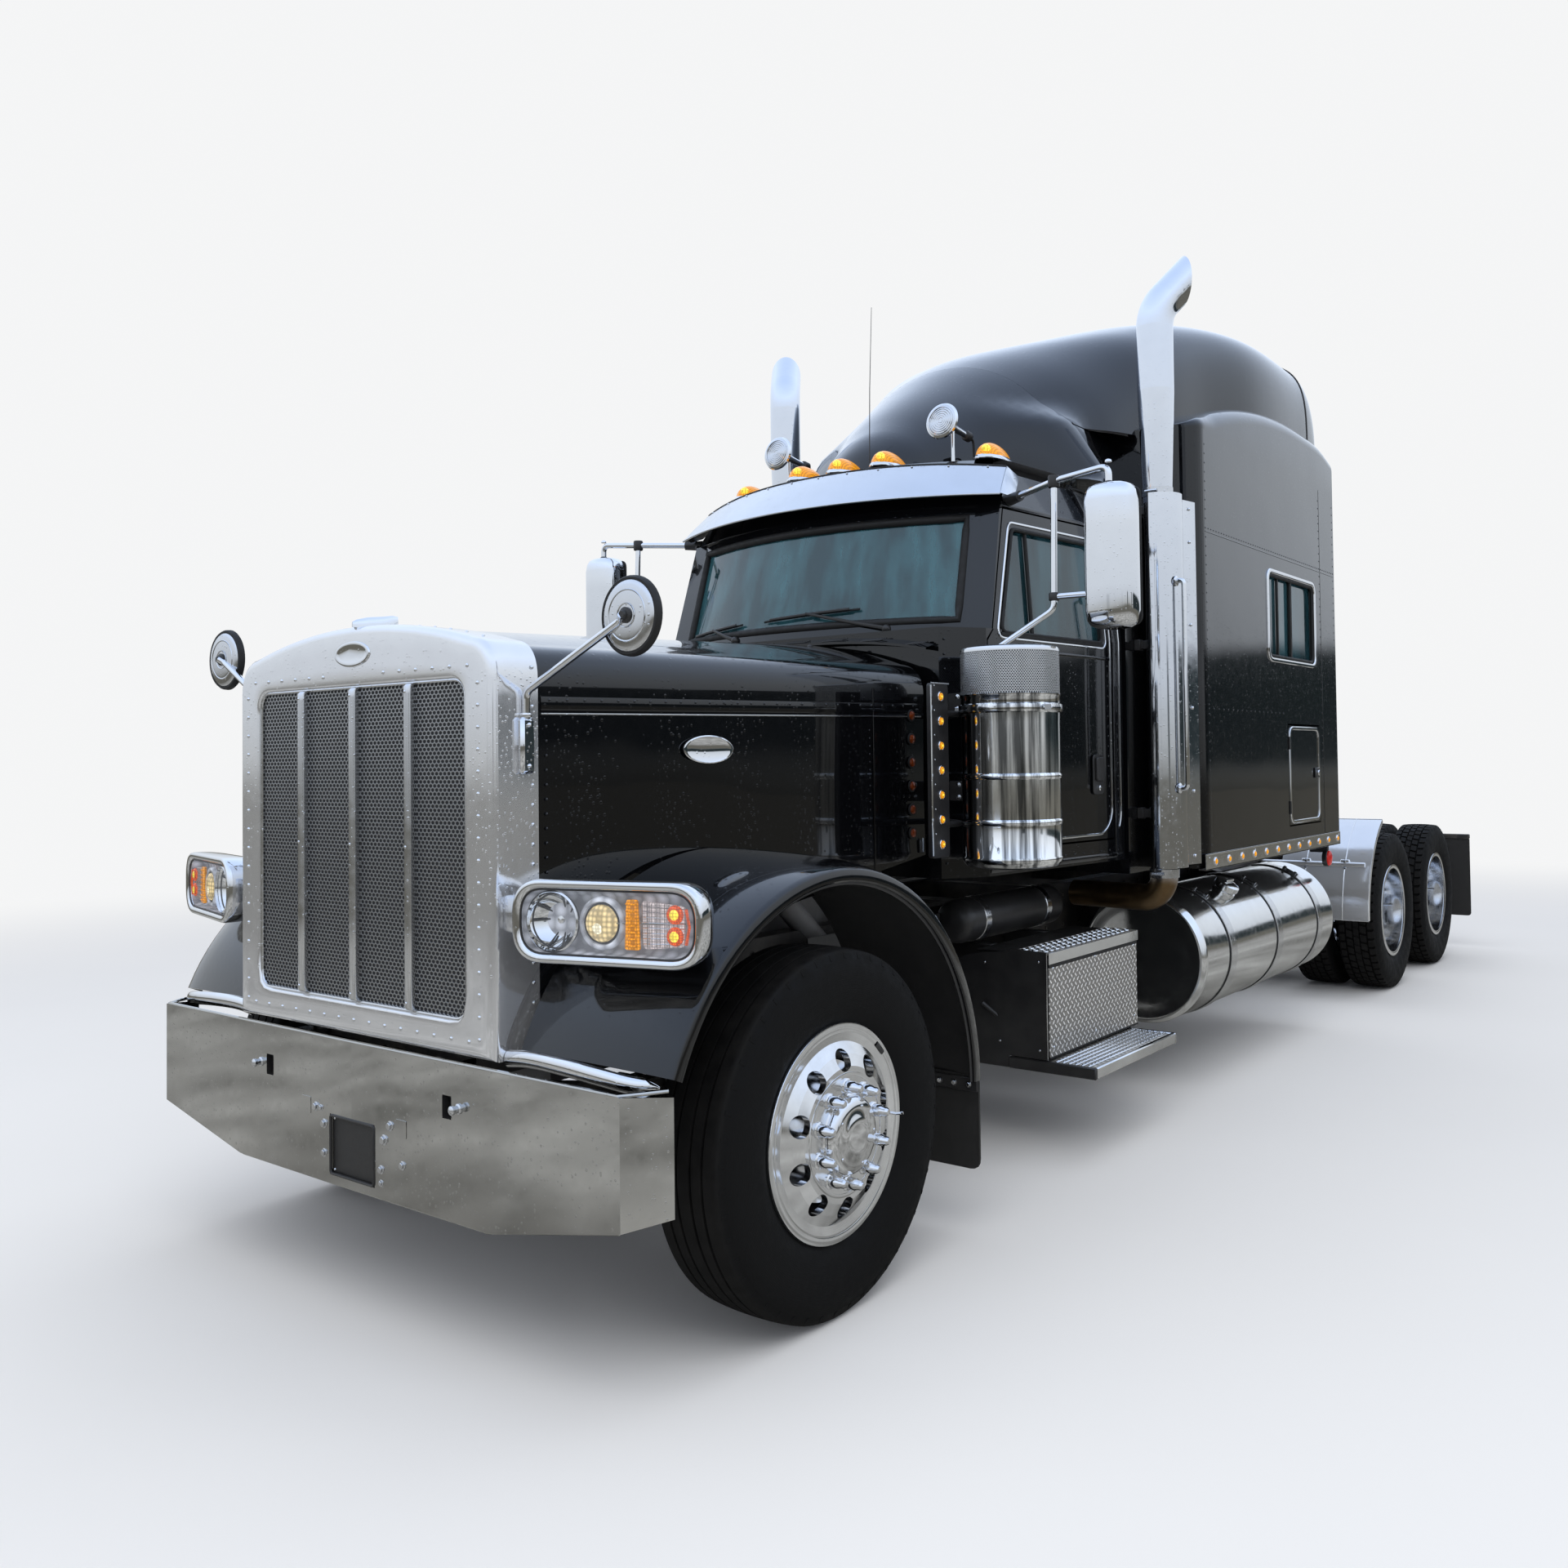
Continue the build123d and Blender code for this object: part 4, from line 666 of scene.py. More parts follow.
def tyre(k, cx, s, drive):
    """One tyre: ribs and fine grooves to steer, blocks to drive."""
    c = V(cx, s, WHEEL_Z)
    cols = []                                     # offset, radius, groove depth, lateral groove?
    for x, r in TYRE_WALL:
        cols.append((x, r, 0.0, 0.0))
    crown = lambda x: 550.0 - 6.0 * (abs(x) / 112.0) ** 2.4
    if drive:
        bands = [(113, 76, 1.0), (66, 26, 1.0), (18, -18, 0.55), (-26, -66, 1.0), (-76, -113, 1.0)]
    else:
        bands = [(113, 72, 0.0), (63, 30, 0.0), (21, -21, 0.0), (-30, -63, 0.0), (-72, -113, 0.0)]
    for i, (a, b, lat) in enumerate(bands):
        for j in range(4):
            x = a + (b - a) * j / 3
            cols.append((x, crown(x), 0.0, lat))
        if i < len(bands) - 1:
            nx = bands[i + 1][0]
            cols.append((b - 1.2, crown(b) - 14.0, 0.0, 0.0))
            cols.append((nx + 1.2, crown(nx) - 14.0, 0.0, 0.0))
    for x, r in reversed(TYRE_WALL):
        cols.append((-x, r, 0.0, 0.0))
    rows = []
    pitches = 54 if drive else 96
    fr = [(0.0, 0), (0.03, 1), (0.24, 1), (0.27, 0)] if drive else [(0.0, 0), (0.5, 0)]
    for p in range(pitches):
        for f, low in fr:
            rows.append((p + f, low))
    rings = []
    for p, low in rows:
        ring = []
        for x, r, dep, lat in cols:
            sk = 0.0
            if drive and lat:
                sk = 0.30 * sin(x / 113.0 * 2.2) + (0.5 if 20 < abs(x) < 70 else 0.0)
            elif not drive and abs(r - 541) < 12 and abs(x) < 80:
                sk = 0.0
            a = 2 * pi * (p + sk) / pitches
            rr = r - (12.0 * lat if low and lat else 0.0)
            ring.append(c + Vector((x / 1000.0, cos(a) * rr / 1000.0, sin(a) * rr / 1000.0)))
        rings.append(ring)
    k.skin(rings, TYRE, closed=False, loop=True, flip=False)
    # raised ribs and blocks on the shoulder
    for sgn in (1, -1):
        for j in range(pitches if drive else 48):
            a = 2 * pi * (j + 0.5) / (pitches if drive else 48)
            d = Vector((0, cos(a), sin(a)))
            t = Vector((0, -sin(a), cos(a)))
            n = Vector((sgn, 0, 0))
            p0 = c + Vector((sgn * 0.1235, 0, 0)) + d * 0.520
            p1 = c + Vector((sgn * 0.1165, 0, 0)) + d * 0.536
            w = 0.008
            k.add([p0 - t * w + n * 0.0005, p0 + t * w + n * 0.0005, p1 + t * w + n * 0.001, p1 - t * w + n * 0.001,
                   p0 - t * w * 0.7 + n * 0.0045, p0 + t * w * 0.7 + n * 0.0045, p1 + t * w * 0.7 + n * 0.0045, p1 - t * w * 0.7 + n * 0.0045],
                  [(4, 5, 6, 7), (0, 1, 5, 4), (1, 2, 6, 5), (2, 3, 7, 6), (3, 0, 4, 7)], TYRE)


def nuts(k, c, face, pcr, count, r, h, mat):
    """Wheel nuts with tall bright covers."""
    for i in range(count):
        a = 2 * pi * (i + 0.5) / count
        p = c + Vector((face / 1000.0, cos(a) * pcr / 1000.0, sin(a) * pcr / 1000.0))
        k.lathe([(r * 1.32, -1), (r * 1.32, 4), (r * 1.05, 7), (r, 10), (r * 0.98, h * 0.55), (r * 0.80, h * 0.62), (r * 0.74, h * 0.86), (r * 0.45, h), (0.05, h * 1.02)],
                p, (1, 0, 0), mat, 12)


for side, nm in SIDES:
    k = Kit(side, (FRONT_X, AXLE_F, WHEEL_Z))
    tyre(k, FRONT_X, AXLE_F, False)
    k.done(f"steer_tyre_{nm}", f"front_wheel_{nm}", [f"front_tyre_{nm}"])
    k = Kit(side, (FRONT_X, AXLE_F, WHEEL_Z))
    c = V(FRONT_X, AXLE_F, WHEEL_Z)
    nuts(k, c, 147.5, 143, 10, 18.5, 60, NUT)
    # hub cover: a stepped bright cap with a domed middle
    k.lathe([(122, 147), (122, 152), (117, 156), (116, 166), (112, 175), (101, 183), (84, 187), (62, 188.5), (58, 191), (36, 193), (0.05, 193.5)], c, (1, 0, 0), NUT, 56)
    for i in range(5):
        a = 2 * pi * i / 5
        k.dome(c + Vector((0.1865, cos(a) * 0.088, sin(a) * 0.088)), (1, 0, 0), 5, 3, NUT)
    # bright ring along the rim's lip, bead line, and the valve
    k.lathe([(325.5, 104), (327, 108), (327, 114), (324, 118.5), (317, 119.5), (304, 118.5), (297, 115), (295.5, 108)], c, (1, 0, 0), RIM_F, 96)
    k.lathe([(184, 146.5), (183, 149.5), (178, 150.5), (172, 149.5), (171, 146.5)], c, (1, 0, 0), NUT, 72)
    vp = c + Vector((0.113, cos(0.0) * 0.268, sin(0.0) * 0.268))
    k.tube([vp, vp + Vector((0.030, 0.002, 0.0)), vp + Vector((0.052, 0.008, 0.004))], [5, 4.5, 4.5], NUT, 8)
    # wheel weights on the lip
    for a in (40.0,):
        k.lathe([(296, 119), (303, 122), (310, 122), (314, 119)], c, (1, 0, 0), BLACKBOX, 4, a, a + 9, ref=(0, 1, 0))
    k.done(f"steer_wheel_trim_{nm}", f"front_wheel_{nm}")
    for i, s, rm in ((1, AXLE_1, RIM_1), (2, AXLE_2, RIM_2)):
        k = Kit(side, (DUAL_X, s, WHEEL_Z))
        tyre(k, DUAL_X + DUAL_OFF, s, True)
        tyre(k, DUAL_X - DUAL_OFF, s, True)
        k.done(f"drive_tyre_pair_{i}_{nm}", f"drive_wheels_{i}_{nm}", [f"drive_tyres_{i}_{nm}"])
        k = Kit(side, (DUAL_X, s, WHEEL_Z))
        c = V(DUAL_X, s, WHEEL_Z)
        nuts(k, c, 21.5, 143, 10, 17, 56, NUT)
        # axle cover: tall bright dome on a stepped skirt
        k.lathe([(112, 21), (112, 60), (108, 150), (101, 168), (84, 184), (60, 194), (32, 199), (0.05, 200)], c, (1, 0, 0), NUT, 48)
        k.lathe([(325.5, 104 + 167.5), (327, 108 + 167.5), (327, 114 + 167.5), (324, 118.5 + 167.5), (317, 119.5 + 167.5), (304, 118.5 + 167.5), (297, 115 + 167.5), (295.5, 108 + 167.5)], c, (1, 0, 0), rm, 96)
        vp = c + Vector((0.040, 0.235, 0.0))
        k.tube([vp, vp + Vector((0.06, 0.012, 0.0)), vp + Vector((0.16, 0.032, 0.004))], [5, 4, 4], NUT, 8)
        k.done(f"drive_wheel_trim_{i}_{nm}", f"drive_wheels_{i}_{nm}")
paint_nodes("front_rim_left front_rim_right", RIM_F)
paint_nodes("drive_rims_1_left drive_rims_1_right", RIM_1)
paint_nodes("drive_rims_2_left drive_rims_2_right", RIM_2)

# ================================================================== grille shell
SH_HALF, SH_Z0, SH_SIDE, SH_TOP = 664.0, 846.0, 1985.0, 2099.0


def shell_line(inset, n=40):
    """Upright sides, round shoulders, arched top; (x, z) from the lower left round to the lower right."""
    h, zt = SH_HALF - inset, SH_TOP - inset
    base = [(-h, SH_Z0 + inset), (-h, SH_SIDE - 20)]
    top = []
    for i in range(n + 1):
        t = i / n * 2 - 1
        x = t * (h - 88)
        z = zt - 76.0 * (abs(t) ** 2.0)
        top.append((x, z))
    right = [(h, SH_SIDE - 20), (h, SH_Z0 + inset)]
    return base, top, right


def shell_ring(inset, s):
    """The outline as a fixed number of points, shoulders rounded."""
    h, zt = SH_HALF - inset, SH_TOP - inset
    pts = []
    for i in range(13):
        pts.append((-h, SH_Z0 + inset + (SH_SIDE - 75 - SH_Z0 - inset) * i / 12))
    cx, cz, r = -(h - 100), SH_SIDE - 75, 100.0
    # shoulder as a quarter that meets the arched top
    top_l = (-(h - 92), zt - 70)
    for i in range(1, 9):
        t = i / 9
        a, b, c = Vector((-h, SH_SIDE - 75)), Vector((-h, zt - 84 + 4)), Vector(top_l)
        pts.append(tuple((1 - t) ** 2 * a + 2 * t * (1 - t) * b + t * t * c))
    for i in range(31):
        t = i / 30 * 2 - 1
        pts.append((t * (h - 92), zt - 70.0 * abs(t) ** 2.1))
    left = pts[:21]
    for x, z in reversed(left):
        pts.append((-x, z))
    m = len(pts)
    for i in range(1, 24):
        t = i / 24
        pts.append((h - 2 * h * t, SH_Z0 + inset))
    return [V(x, s, z) for x, z in pts]


OPEN_X, OPEN_Z0, OPEN_Z1, OPEN_R = 544.0, 946.0, 1915.0, 58.0


def open_ring(grow, s, like):
    """The opening's rounded rectangle, its points matched by direction to another ring's."""
    h, z0, z1, r = OPEN_X + grow, OPEN_Z0 - grow, OPEN_Z1 + grow, OPEN_R + grow
    cz = (z0 + z1) / 2
    out = []
    for p in like:
        dx, dz = p.x * 1000.0, p.z * 1000.0 - 1430.0
        # where the ray leaves the rectangle
        kx = h / abs(dx) if abs(dx) > 1e-6 else 1e9
        kz = ((z1 - 1430.0) if dz > 0 else (1430.0 - z0)) / abs(dz) if abs(dz) > 1e-6 else 1e9
        q = min(kx, kz)
        x, z = dx * q, 1430.0 + dz * q
        ex, ez = abs(x) - (h - r), (z - (z1 - r)) if dz > 0 else ((z0 + r) - z)
        if ex > 0 and ez > 0:
            l = sqrt(ex * ex + ez * ez)
            ex, ez = ex * r / l, ez * r / l
            x = math.copysign(h - r + ex, x)
            z = (z1 - r + ez) if dz > 0 else (z0 + r - ez)
        out.append(V(x, s, z))
    return out


k = Kit()
outer = shell_ring(0, 173)
rings = [shell_ring(0, 173), shell_ring(0, 60)]
for i in range(0, 7):
    a = radians(90 * i / 6)
    rings.append(shell_ring(26 * (1 - cos(a)), 34 - 26 * sin(a)))
face = shell_ring(26, 8)
o0 = open_ring(10, 8, face)
for t in (0.33, 0.66):
    rings.append([a.lerp(b, t) for a, b in zip(face, o0)])
rings.append(o0)
for i in range(1, 6):
    a = radians(90 * i / 5)
    rings.append(open_ring(10 - 10 * sin(a), 8 + 10 * (1 - cos(a)), face))
rings.append(open_ring(0, 40, face))
k.skin(rings, SHELL, closed=True)
k.skin([shell_ring(9, 173), shell_ring(9, 40), open_ring(3, 40, face)], BLACKBOX, closed=True, flip=True)
k.skin([shell_ring(0, 173), shell_ring(9, 173)], SHELL, closed=True, flip=True)
# rivets round the face and down the sides' rear edge
for sd in (1, -1):
    for i in range(17):
        z = 905 + i * 62
        if z < 1960:
            k.dome(V(sd * 606, 8, z), (0, -1, 0), 6, 4, CHROME)
    for i in range(20):
        z = 880 + i * 56
        if z < 1950:
            k.dome(V(sd * 664, 152, z), (sd, 0, 0), 5.5, 3.5, CHROME)
for i in range(15):
    x = -560 + i * 80
    k.dome(V(x, 8, 895), (0, -1, 0), 6, 4, CHROME)
    if abs(x) > 130:
        k.dome(V(x, 8, 1948 + 0.0 * x), (0, -1, 0), 6, 4, CHROME)
    k.dome(V(x * 0.94, 90, 2099 - 70 * abs(x * 0.94 / 572) ** 2.1), (0, 0, 1), 5, 3, CHROME)
# a plain oval boss where the shell is dished
ov = [V(sin(a) * 92, 8, 2012 + cos(a) * 40) for a in [2 * pi * i / 40 for i in range(40)]]
k.skin([ov, [p + Vector((0, -0.004, 0)) for p in [V(sin(a) * 90, 8, 2012 + cos(a) * 38) for a in [2 * pi * i / 40 for i in range(40)]]],
        [p + Vector((0, -0.0055, 0)) for p in [V(sin(a) * 84, 8, 2012 + cos(a) * 33) for a in [2 * pi * i / 40 for i in range(40)]]],
        [p + Vector((0, -0.0035, 0)) for p in [V(sin(a) * 78, 8, 2012 + cos(a) * 27) for a in [2 * pi * i / 40 for i in range(40)]]]], CHROME, caps=(0, 1), flip=True)
k.done("grille_shell_skin", "hood", ["grille_shell"], both=False)

# a slim bright blade along the crown
k = Kit()
rings = []
for s, w, h, z in [(8, 3, 4, 2108), (22, 10, 14, 2106), (60, 15, 24, 2106), (110, 13, 30, 2106), (150, 9, 34, 2108), (168, 3, 30, 2110)]:
    rings.append([V(w * cos(a), s, z - 8 + (h + 8) * max(0, sin(a)) + (0 if sin(a) > 0 else -4)) for a in [2 * pi * i / 16 for i in range(16)]])
k.skin(rings, CHROME, caps=(1, 1), flip=True)
k.done("crown_blade", "hood")

# grille: punched sheet with a bright frame and three round-nosed bars
k = Kit()
n = 24
k.skin([[V(-OPEN_X - 20 + (2 * OPEN_X + 40) * i / n, 22, OPEN_Z0 - 20) for i in range(n + 1)], [V(-OPEN_X - 20 + (2 * OPEN_X + 40) * i / n, 22, OPEN_Z1 + 20) for i in range(n + 1)]],
       PUNCH, closed=False)
k.skin([[V(-OPEN_X - 20 + (2 * OPEN_X + 40) * i / n, 27, OPEN_Z0 - 20) for i in range(n + 1)], [V(-OPEN_X - 20 + (2 * OPEN_X + 40) * i / n, 27, OPEN_Z1 + 20) for i in range(n + 1)]],
       BLACKBOX, closed=False, flip=True)
for x in (-283, 0, 283):
    prof = [(-15, 22), (-15, 8), (-13, 2), (-8, -2.5), (0, -4), (8, -2.5), (13, 2), (15, 8), (15, 22)]
    rings = []
    for z, q in [(950, 0.2), (954, 0.75), (962, 1), (1200, 1), (1500, 1), (1880, 1), (1900, 1), (1908, 0.75), (1912, 0.2)]:
        rings.append([V(x + a * (0.9 + 0.1 * q), 22 - (22 - b) * q, z) for a, b in prof])
    k.skin(rings, STAINLESS, closed=False)
    for z in (975, 1430, 1885):
        k.dome(V(x, -3.5, z), (0, -1, 0), 5, 2.5, CHROME)
# frame strip round the opening
fr = rounded([(-OPEN_X + 4, OPEN_Z0 + 4), (OPEN_X - 4, OPEN_Z0 + 4), (OPEN_X - 4, OPEN_Z1 - 4), (-OPEN_X + 4, OPEN_Z1 - 4)], 52, 6)
k.tube([V(x, 19, z) for x, z in fr] + [V(fr[0][0], 19, fr[0][1])], 6, STAINLESS, 8, caps=False)
k.done("grille_face", "hood", ["grille"])

# ================================================================== hood skin
def hood_ring(s, inset=0.0):
    t = (s - 174.0) / (2040.0 - 174.0)
    half = 660.0 + 100.0 * (0.75 * t + 0.25 * t * t) - inset
    side = 1950.0 + 35.0 * t
    top = 2096.0 + 69.0 * (0.9 * t + 0.1 * t * t) - inset
    base = 1000.0 + 290.0 * t
    r = 92.0 + 14.0 * t
    pts = []
    zs = side - 60
    for i in range(15):
        pts.append((half - 4.0 * sin(pi * i / 14), base + (zs - base) * i / 14))
    a, b, c = Vector((half, zs)), Vector((half, side + 52)), Vector((half - r, side + 66))
    for i in range(1, 11):
        q = i / 11
        pts.append(tuple((1 - q) ** 2 * a + 2 * q * (1 - q) * b + q * q * c))
    for i in range(0, 17):
        q = 1 - i / 16
        x = (half - r) * q
        z = side + 66 + (top - side - 66) * (1 - q ** 2.1)
        pts.append((x, z))
    full = pts + [(-x, z) for x, z in reversed(pts[:-1])]
    return [V(x, s, z) for x, z in full]


k = Kit()
stations = [174, 178, 200, 300] + [400 + i * 102.5 for i in range(16)] + [2036, 2040]
rings = [hood_ring(s) for s in stations]
k.skin(rings, PAINT_HOOD, closed=False)
k.skin([hood_ring(s, 12) for s in stations], BLACKBOX, closed=False, flip=True)
k.skin([hood_ring(174), hood_ring(174, 12)], PAINT_HOOD, closed=False, flip=True)
k.skin([hood_ring(2040), hood_ring(2040, 12)], PAINT_HOOD, closed=False)
for i in (0, -1):
    k.skin([[r[i] for r in rings], [r[i] for r in [hood_ring(s, 12) for s in stations]]], PAINT_HOOD, closed=False, flip=(i == 0))
hood_ob = k.done("hood_skin", "hood", ["hood"], angle=50)

k = Kit()


def hood_side(s, z):
    t = (s - 174.0) / (2040.0 - 174.0)
    return 660.0 + 100.0 * (0.75 * t + 0.25 * t * t)


# raised seam along the side, the bright line over it, and rivets
seam = [(s, 1812 + (1838 - 1812) * (s - 186) / 1833.0) for s in [186 + i * 1833 / 20 for i in range(21)]]
k.strip([V(hood_side(s, z) + 0.5, s, z) for s, z in seam], Vector((1, 0, 0)), 6, 2.5, STAINLESS)
k.strip([V(hood_side(s, z) + 0.3, s, z + 30) for s, z in seam], Vector((1, 0, 0)), 40, 2.0, PAINT)
for i in range(28):
    s = 215 + i * 65
    z = 1812 + 26 * (s - 186) / 1833 + 40
    k.dome(V(hood_side(s, z) + 1.5, s, z), (1, 0, 0), 5, 3, PAINT)
# panel rivets down the front and rear edges, and a seam near the rear
for i in range(14):
    z = 1230 + i * 42
    k.dome(V(hood_side(205, z), 205, z), (1, 0, 0), 4.5, 2.5, PAINT)
for i in range(16):
    z = 1330 + i * 30
    k.dome(V(hood_side(1700, z), 1700, z), (1, 0, 0), 4, 2.2, PAINT)
k.strip([V(hood_side(1725, z) + 0.4, 1725, z) for z in (1255, 1400, 1600, 1800, 1940)], Vector((1, 0, 0)), 10, 2.2, PAINT)
# unlit round lamps on the rear of the panel, in black rims
for i in range(6):
    z = 1380 + i * 92
    p = V(hood_side(1956, z), 1956, z)
    k.lathe([(24, -1), (24, 4), (21, 6), (17, 5)], p, (1, 0, 0), SEAL, 20)
    k.lathe([(18, 2), (17, 8), (12, 11.5), (0.05, 13)], p, (1, 0, 0), AMBER_OFF, 20)
# plain oval plate
ovc = (858, 1709)
pr = []
for q, off in ((1.0, 0.0), (1.0, 4.0), (0.93, 5.5), (0.86, 3.5)):
    pr.append([V(hood_side(ovc[0], 0) + off, ovc[0] + 119 * q * cos(a), ovc[1] + 46 * q * sin(a)) for a in [2 * pi * i / 40 for i in range(40)]])
k.skin(pr, CHROME, caps=(0, 1))
# hood latch at the rear edge
k.box(hood_side(2010, 0) - 2, hood_side(2010, 0) + 10, 1995, 2026, 1300, 1352, BLACKBOX, 4)
k.tube([V(hood_side(2010, 0) + 12, 2010, 1304), V(hood_side(2010, 0) + 12, 2010, 1358)], 5, STAINLESS, 8)
k.done("hood_side_trim", "hood", both=True)

k = Kit()
# crease down the crown
k.strip([hood_ring(s)[len(hood_ring(s)) // 2] for s in [190 + i * 92 for i in range(21)]], Vector((0, 0, 1)), 46, 4.0, PAINT_HOOD)
for i in range(2):
    sx = (-1, 1)[i]
    # washer jets
    k.lathe([(12, 0), (12, 5), (7, 11), (0.05, 12)], V(sx * 300, 1900, 2133), (0, 0, 1), BLACKBOX, 12)
k.done("hood_crown_trim", "hood")

# ================================================================== fenders
def fender_ring(a_deg, thick=0.0):
    """Section of the fender at an angle about the axle: 0 rear, 90 above, 180 front."""
    a = radians(a_deg)
    # a flattening of the crown ahead of the wheel is worked out here but not applied
    q = max(0.0, min(1.0, (a_deg - 95) / 75.0))
    lift = 0.0
    pts = []
    lipw = 1240.0
    prof = [(1226, 750), (1236, 751), (1240, 756), (1240, 786), (1236, 792), (1222, 797), (1200, 803), (1160, 812), (1110, 819), (1050, 825), (980, 830), (900, 834), (820, 837), (760, 838), (700, 838)]
    out = []
    for x, r in prof:
        rr = r - thick
        out.append((x - (thick if x > 1230 else 0), rr))
    return [V(x, AXLE_F + cos(a) * r, WHEEL_Z + sin(a) * r) for x, r in out]


k = Kit()
angs = [0, 1, 3] + [6 + i * 3.5 for i in range(43)] + [157]
angs = [a for a in angs if a <= 157.0]
rings = [fender_ring(a) for a in angs]
k.skin(rings, PAINT, closed=False, flip=True)
inner = [fender_ring(a, 10) for a in angs]
k.skin(inner, BLACKBOX, closed=False)
k.skin([fender_ring(angs[-1]), fender_ring(angs[-1], 10)], PAINT, closed=False, flip=True)
k.skin([fender_ring(angs[0]), fender_ring(angs[0], 10)], PAINT, closed=False)
k.skin([[r[0] for r in rings], [r[0] for r in inner]], PAINT, closed=False)
# rolled inner edge of the lip
k.tube([V(1222, AXLE_F + cos(radians(a)) * 753, WHEEL_Z + sin(radians(a)) * 753) for a in angs], 7, PAINT, 8)
k.done("fender_skins", "hood", ["fenders"], both=True)

k = Kit()
# flap behind the front wheel, its bracket and bolts
fl = [V(x, 1646, z) for x, z in rounded([(1012, 232), (1226, 232), (1226, 548), (1190, 560), (975, 560), (985, 300)], [14, 40, 10, 5, 5, 40], 4)]
k.prism(fl, Vector((0, 0.009, 0)), FLAP, 1.5)
k.box(985, 1224, 1636, 1644, 505, 552, BLACKBOX, 2)
for x in (1010, 1070, 1130, 1190):
    k.hexa(V(x, 1636, 528), (0, -1, 0), 8, 7, STAINLESS)
k.done("front_flaps", "hood", both=True)

# chrome strip along the fender's foot
k = Kit()
pts = smooth_path([V(668, 60, 852), V(760, 56, 862), V(900, 50, 862), V(1040, 56, 852), V(1130, 80, 838), V(1180, 130, 826)], 5)
k.tube(pts, [24] * (len(pts) - 3) + [20, 14, 6], CHROME, 14, squash=0.7)
k.done("fender_foot_strip", "hood", both=True)

# ================================================================== headlamps
def lamp_ring(half, high, r, depth, cx=1030.0, dz=0.0, n=10, shift=0.0):
    """Rounded outline on the lamp's slanted face, or a plane behind it."""
    a = radians(14)
    ux, us = cos(a), sin(a)
    nx, ns = sin(a), -cos(a)
    base = rounded([(-half, -high), (half, -high), (half, high), (-half, high)], r, n)
    return [V(cx + ux * (x + shift) + nx * depth, 78 + us * (x + shift) + ns * depth, 1245 + dz + z) for x, z in base]


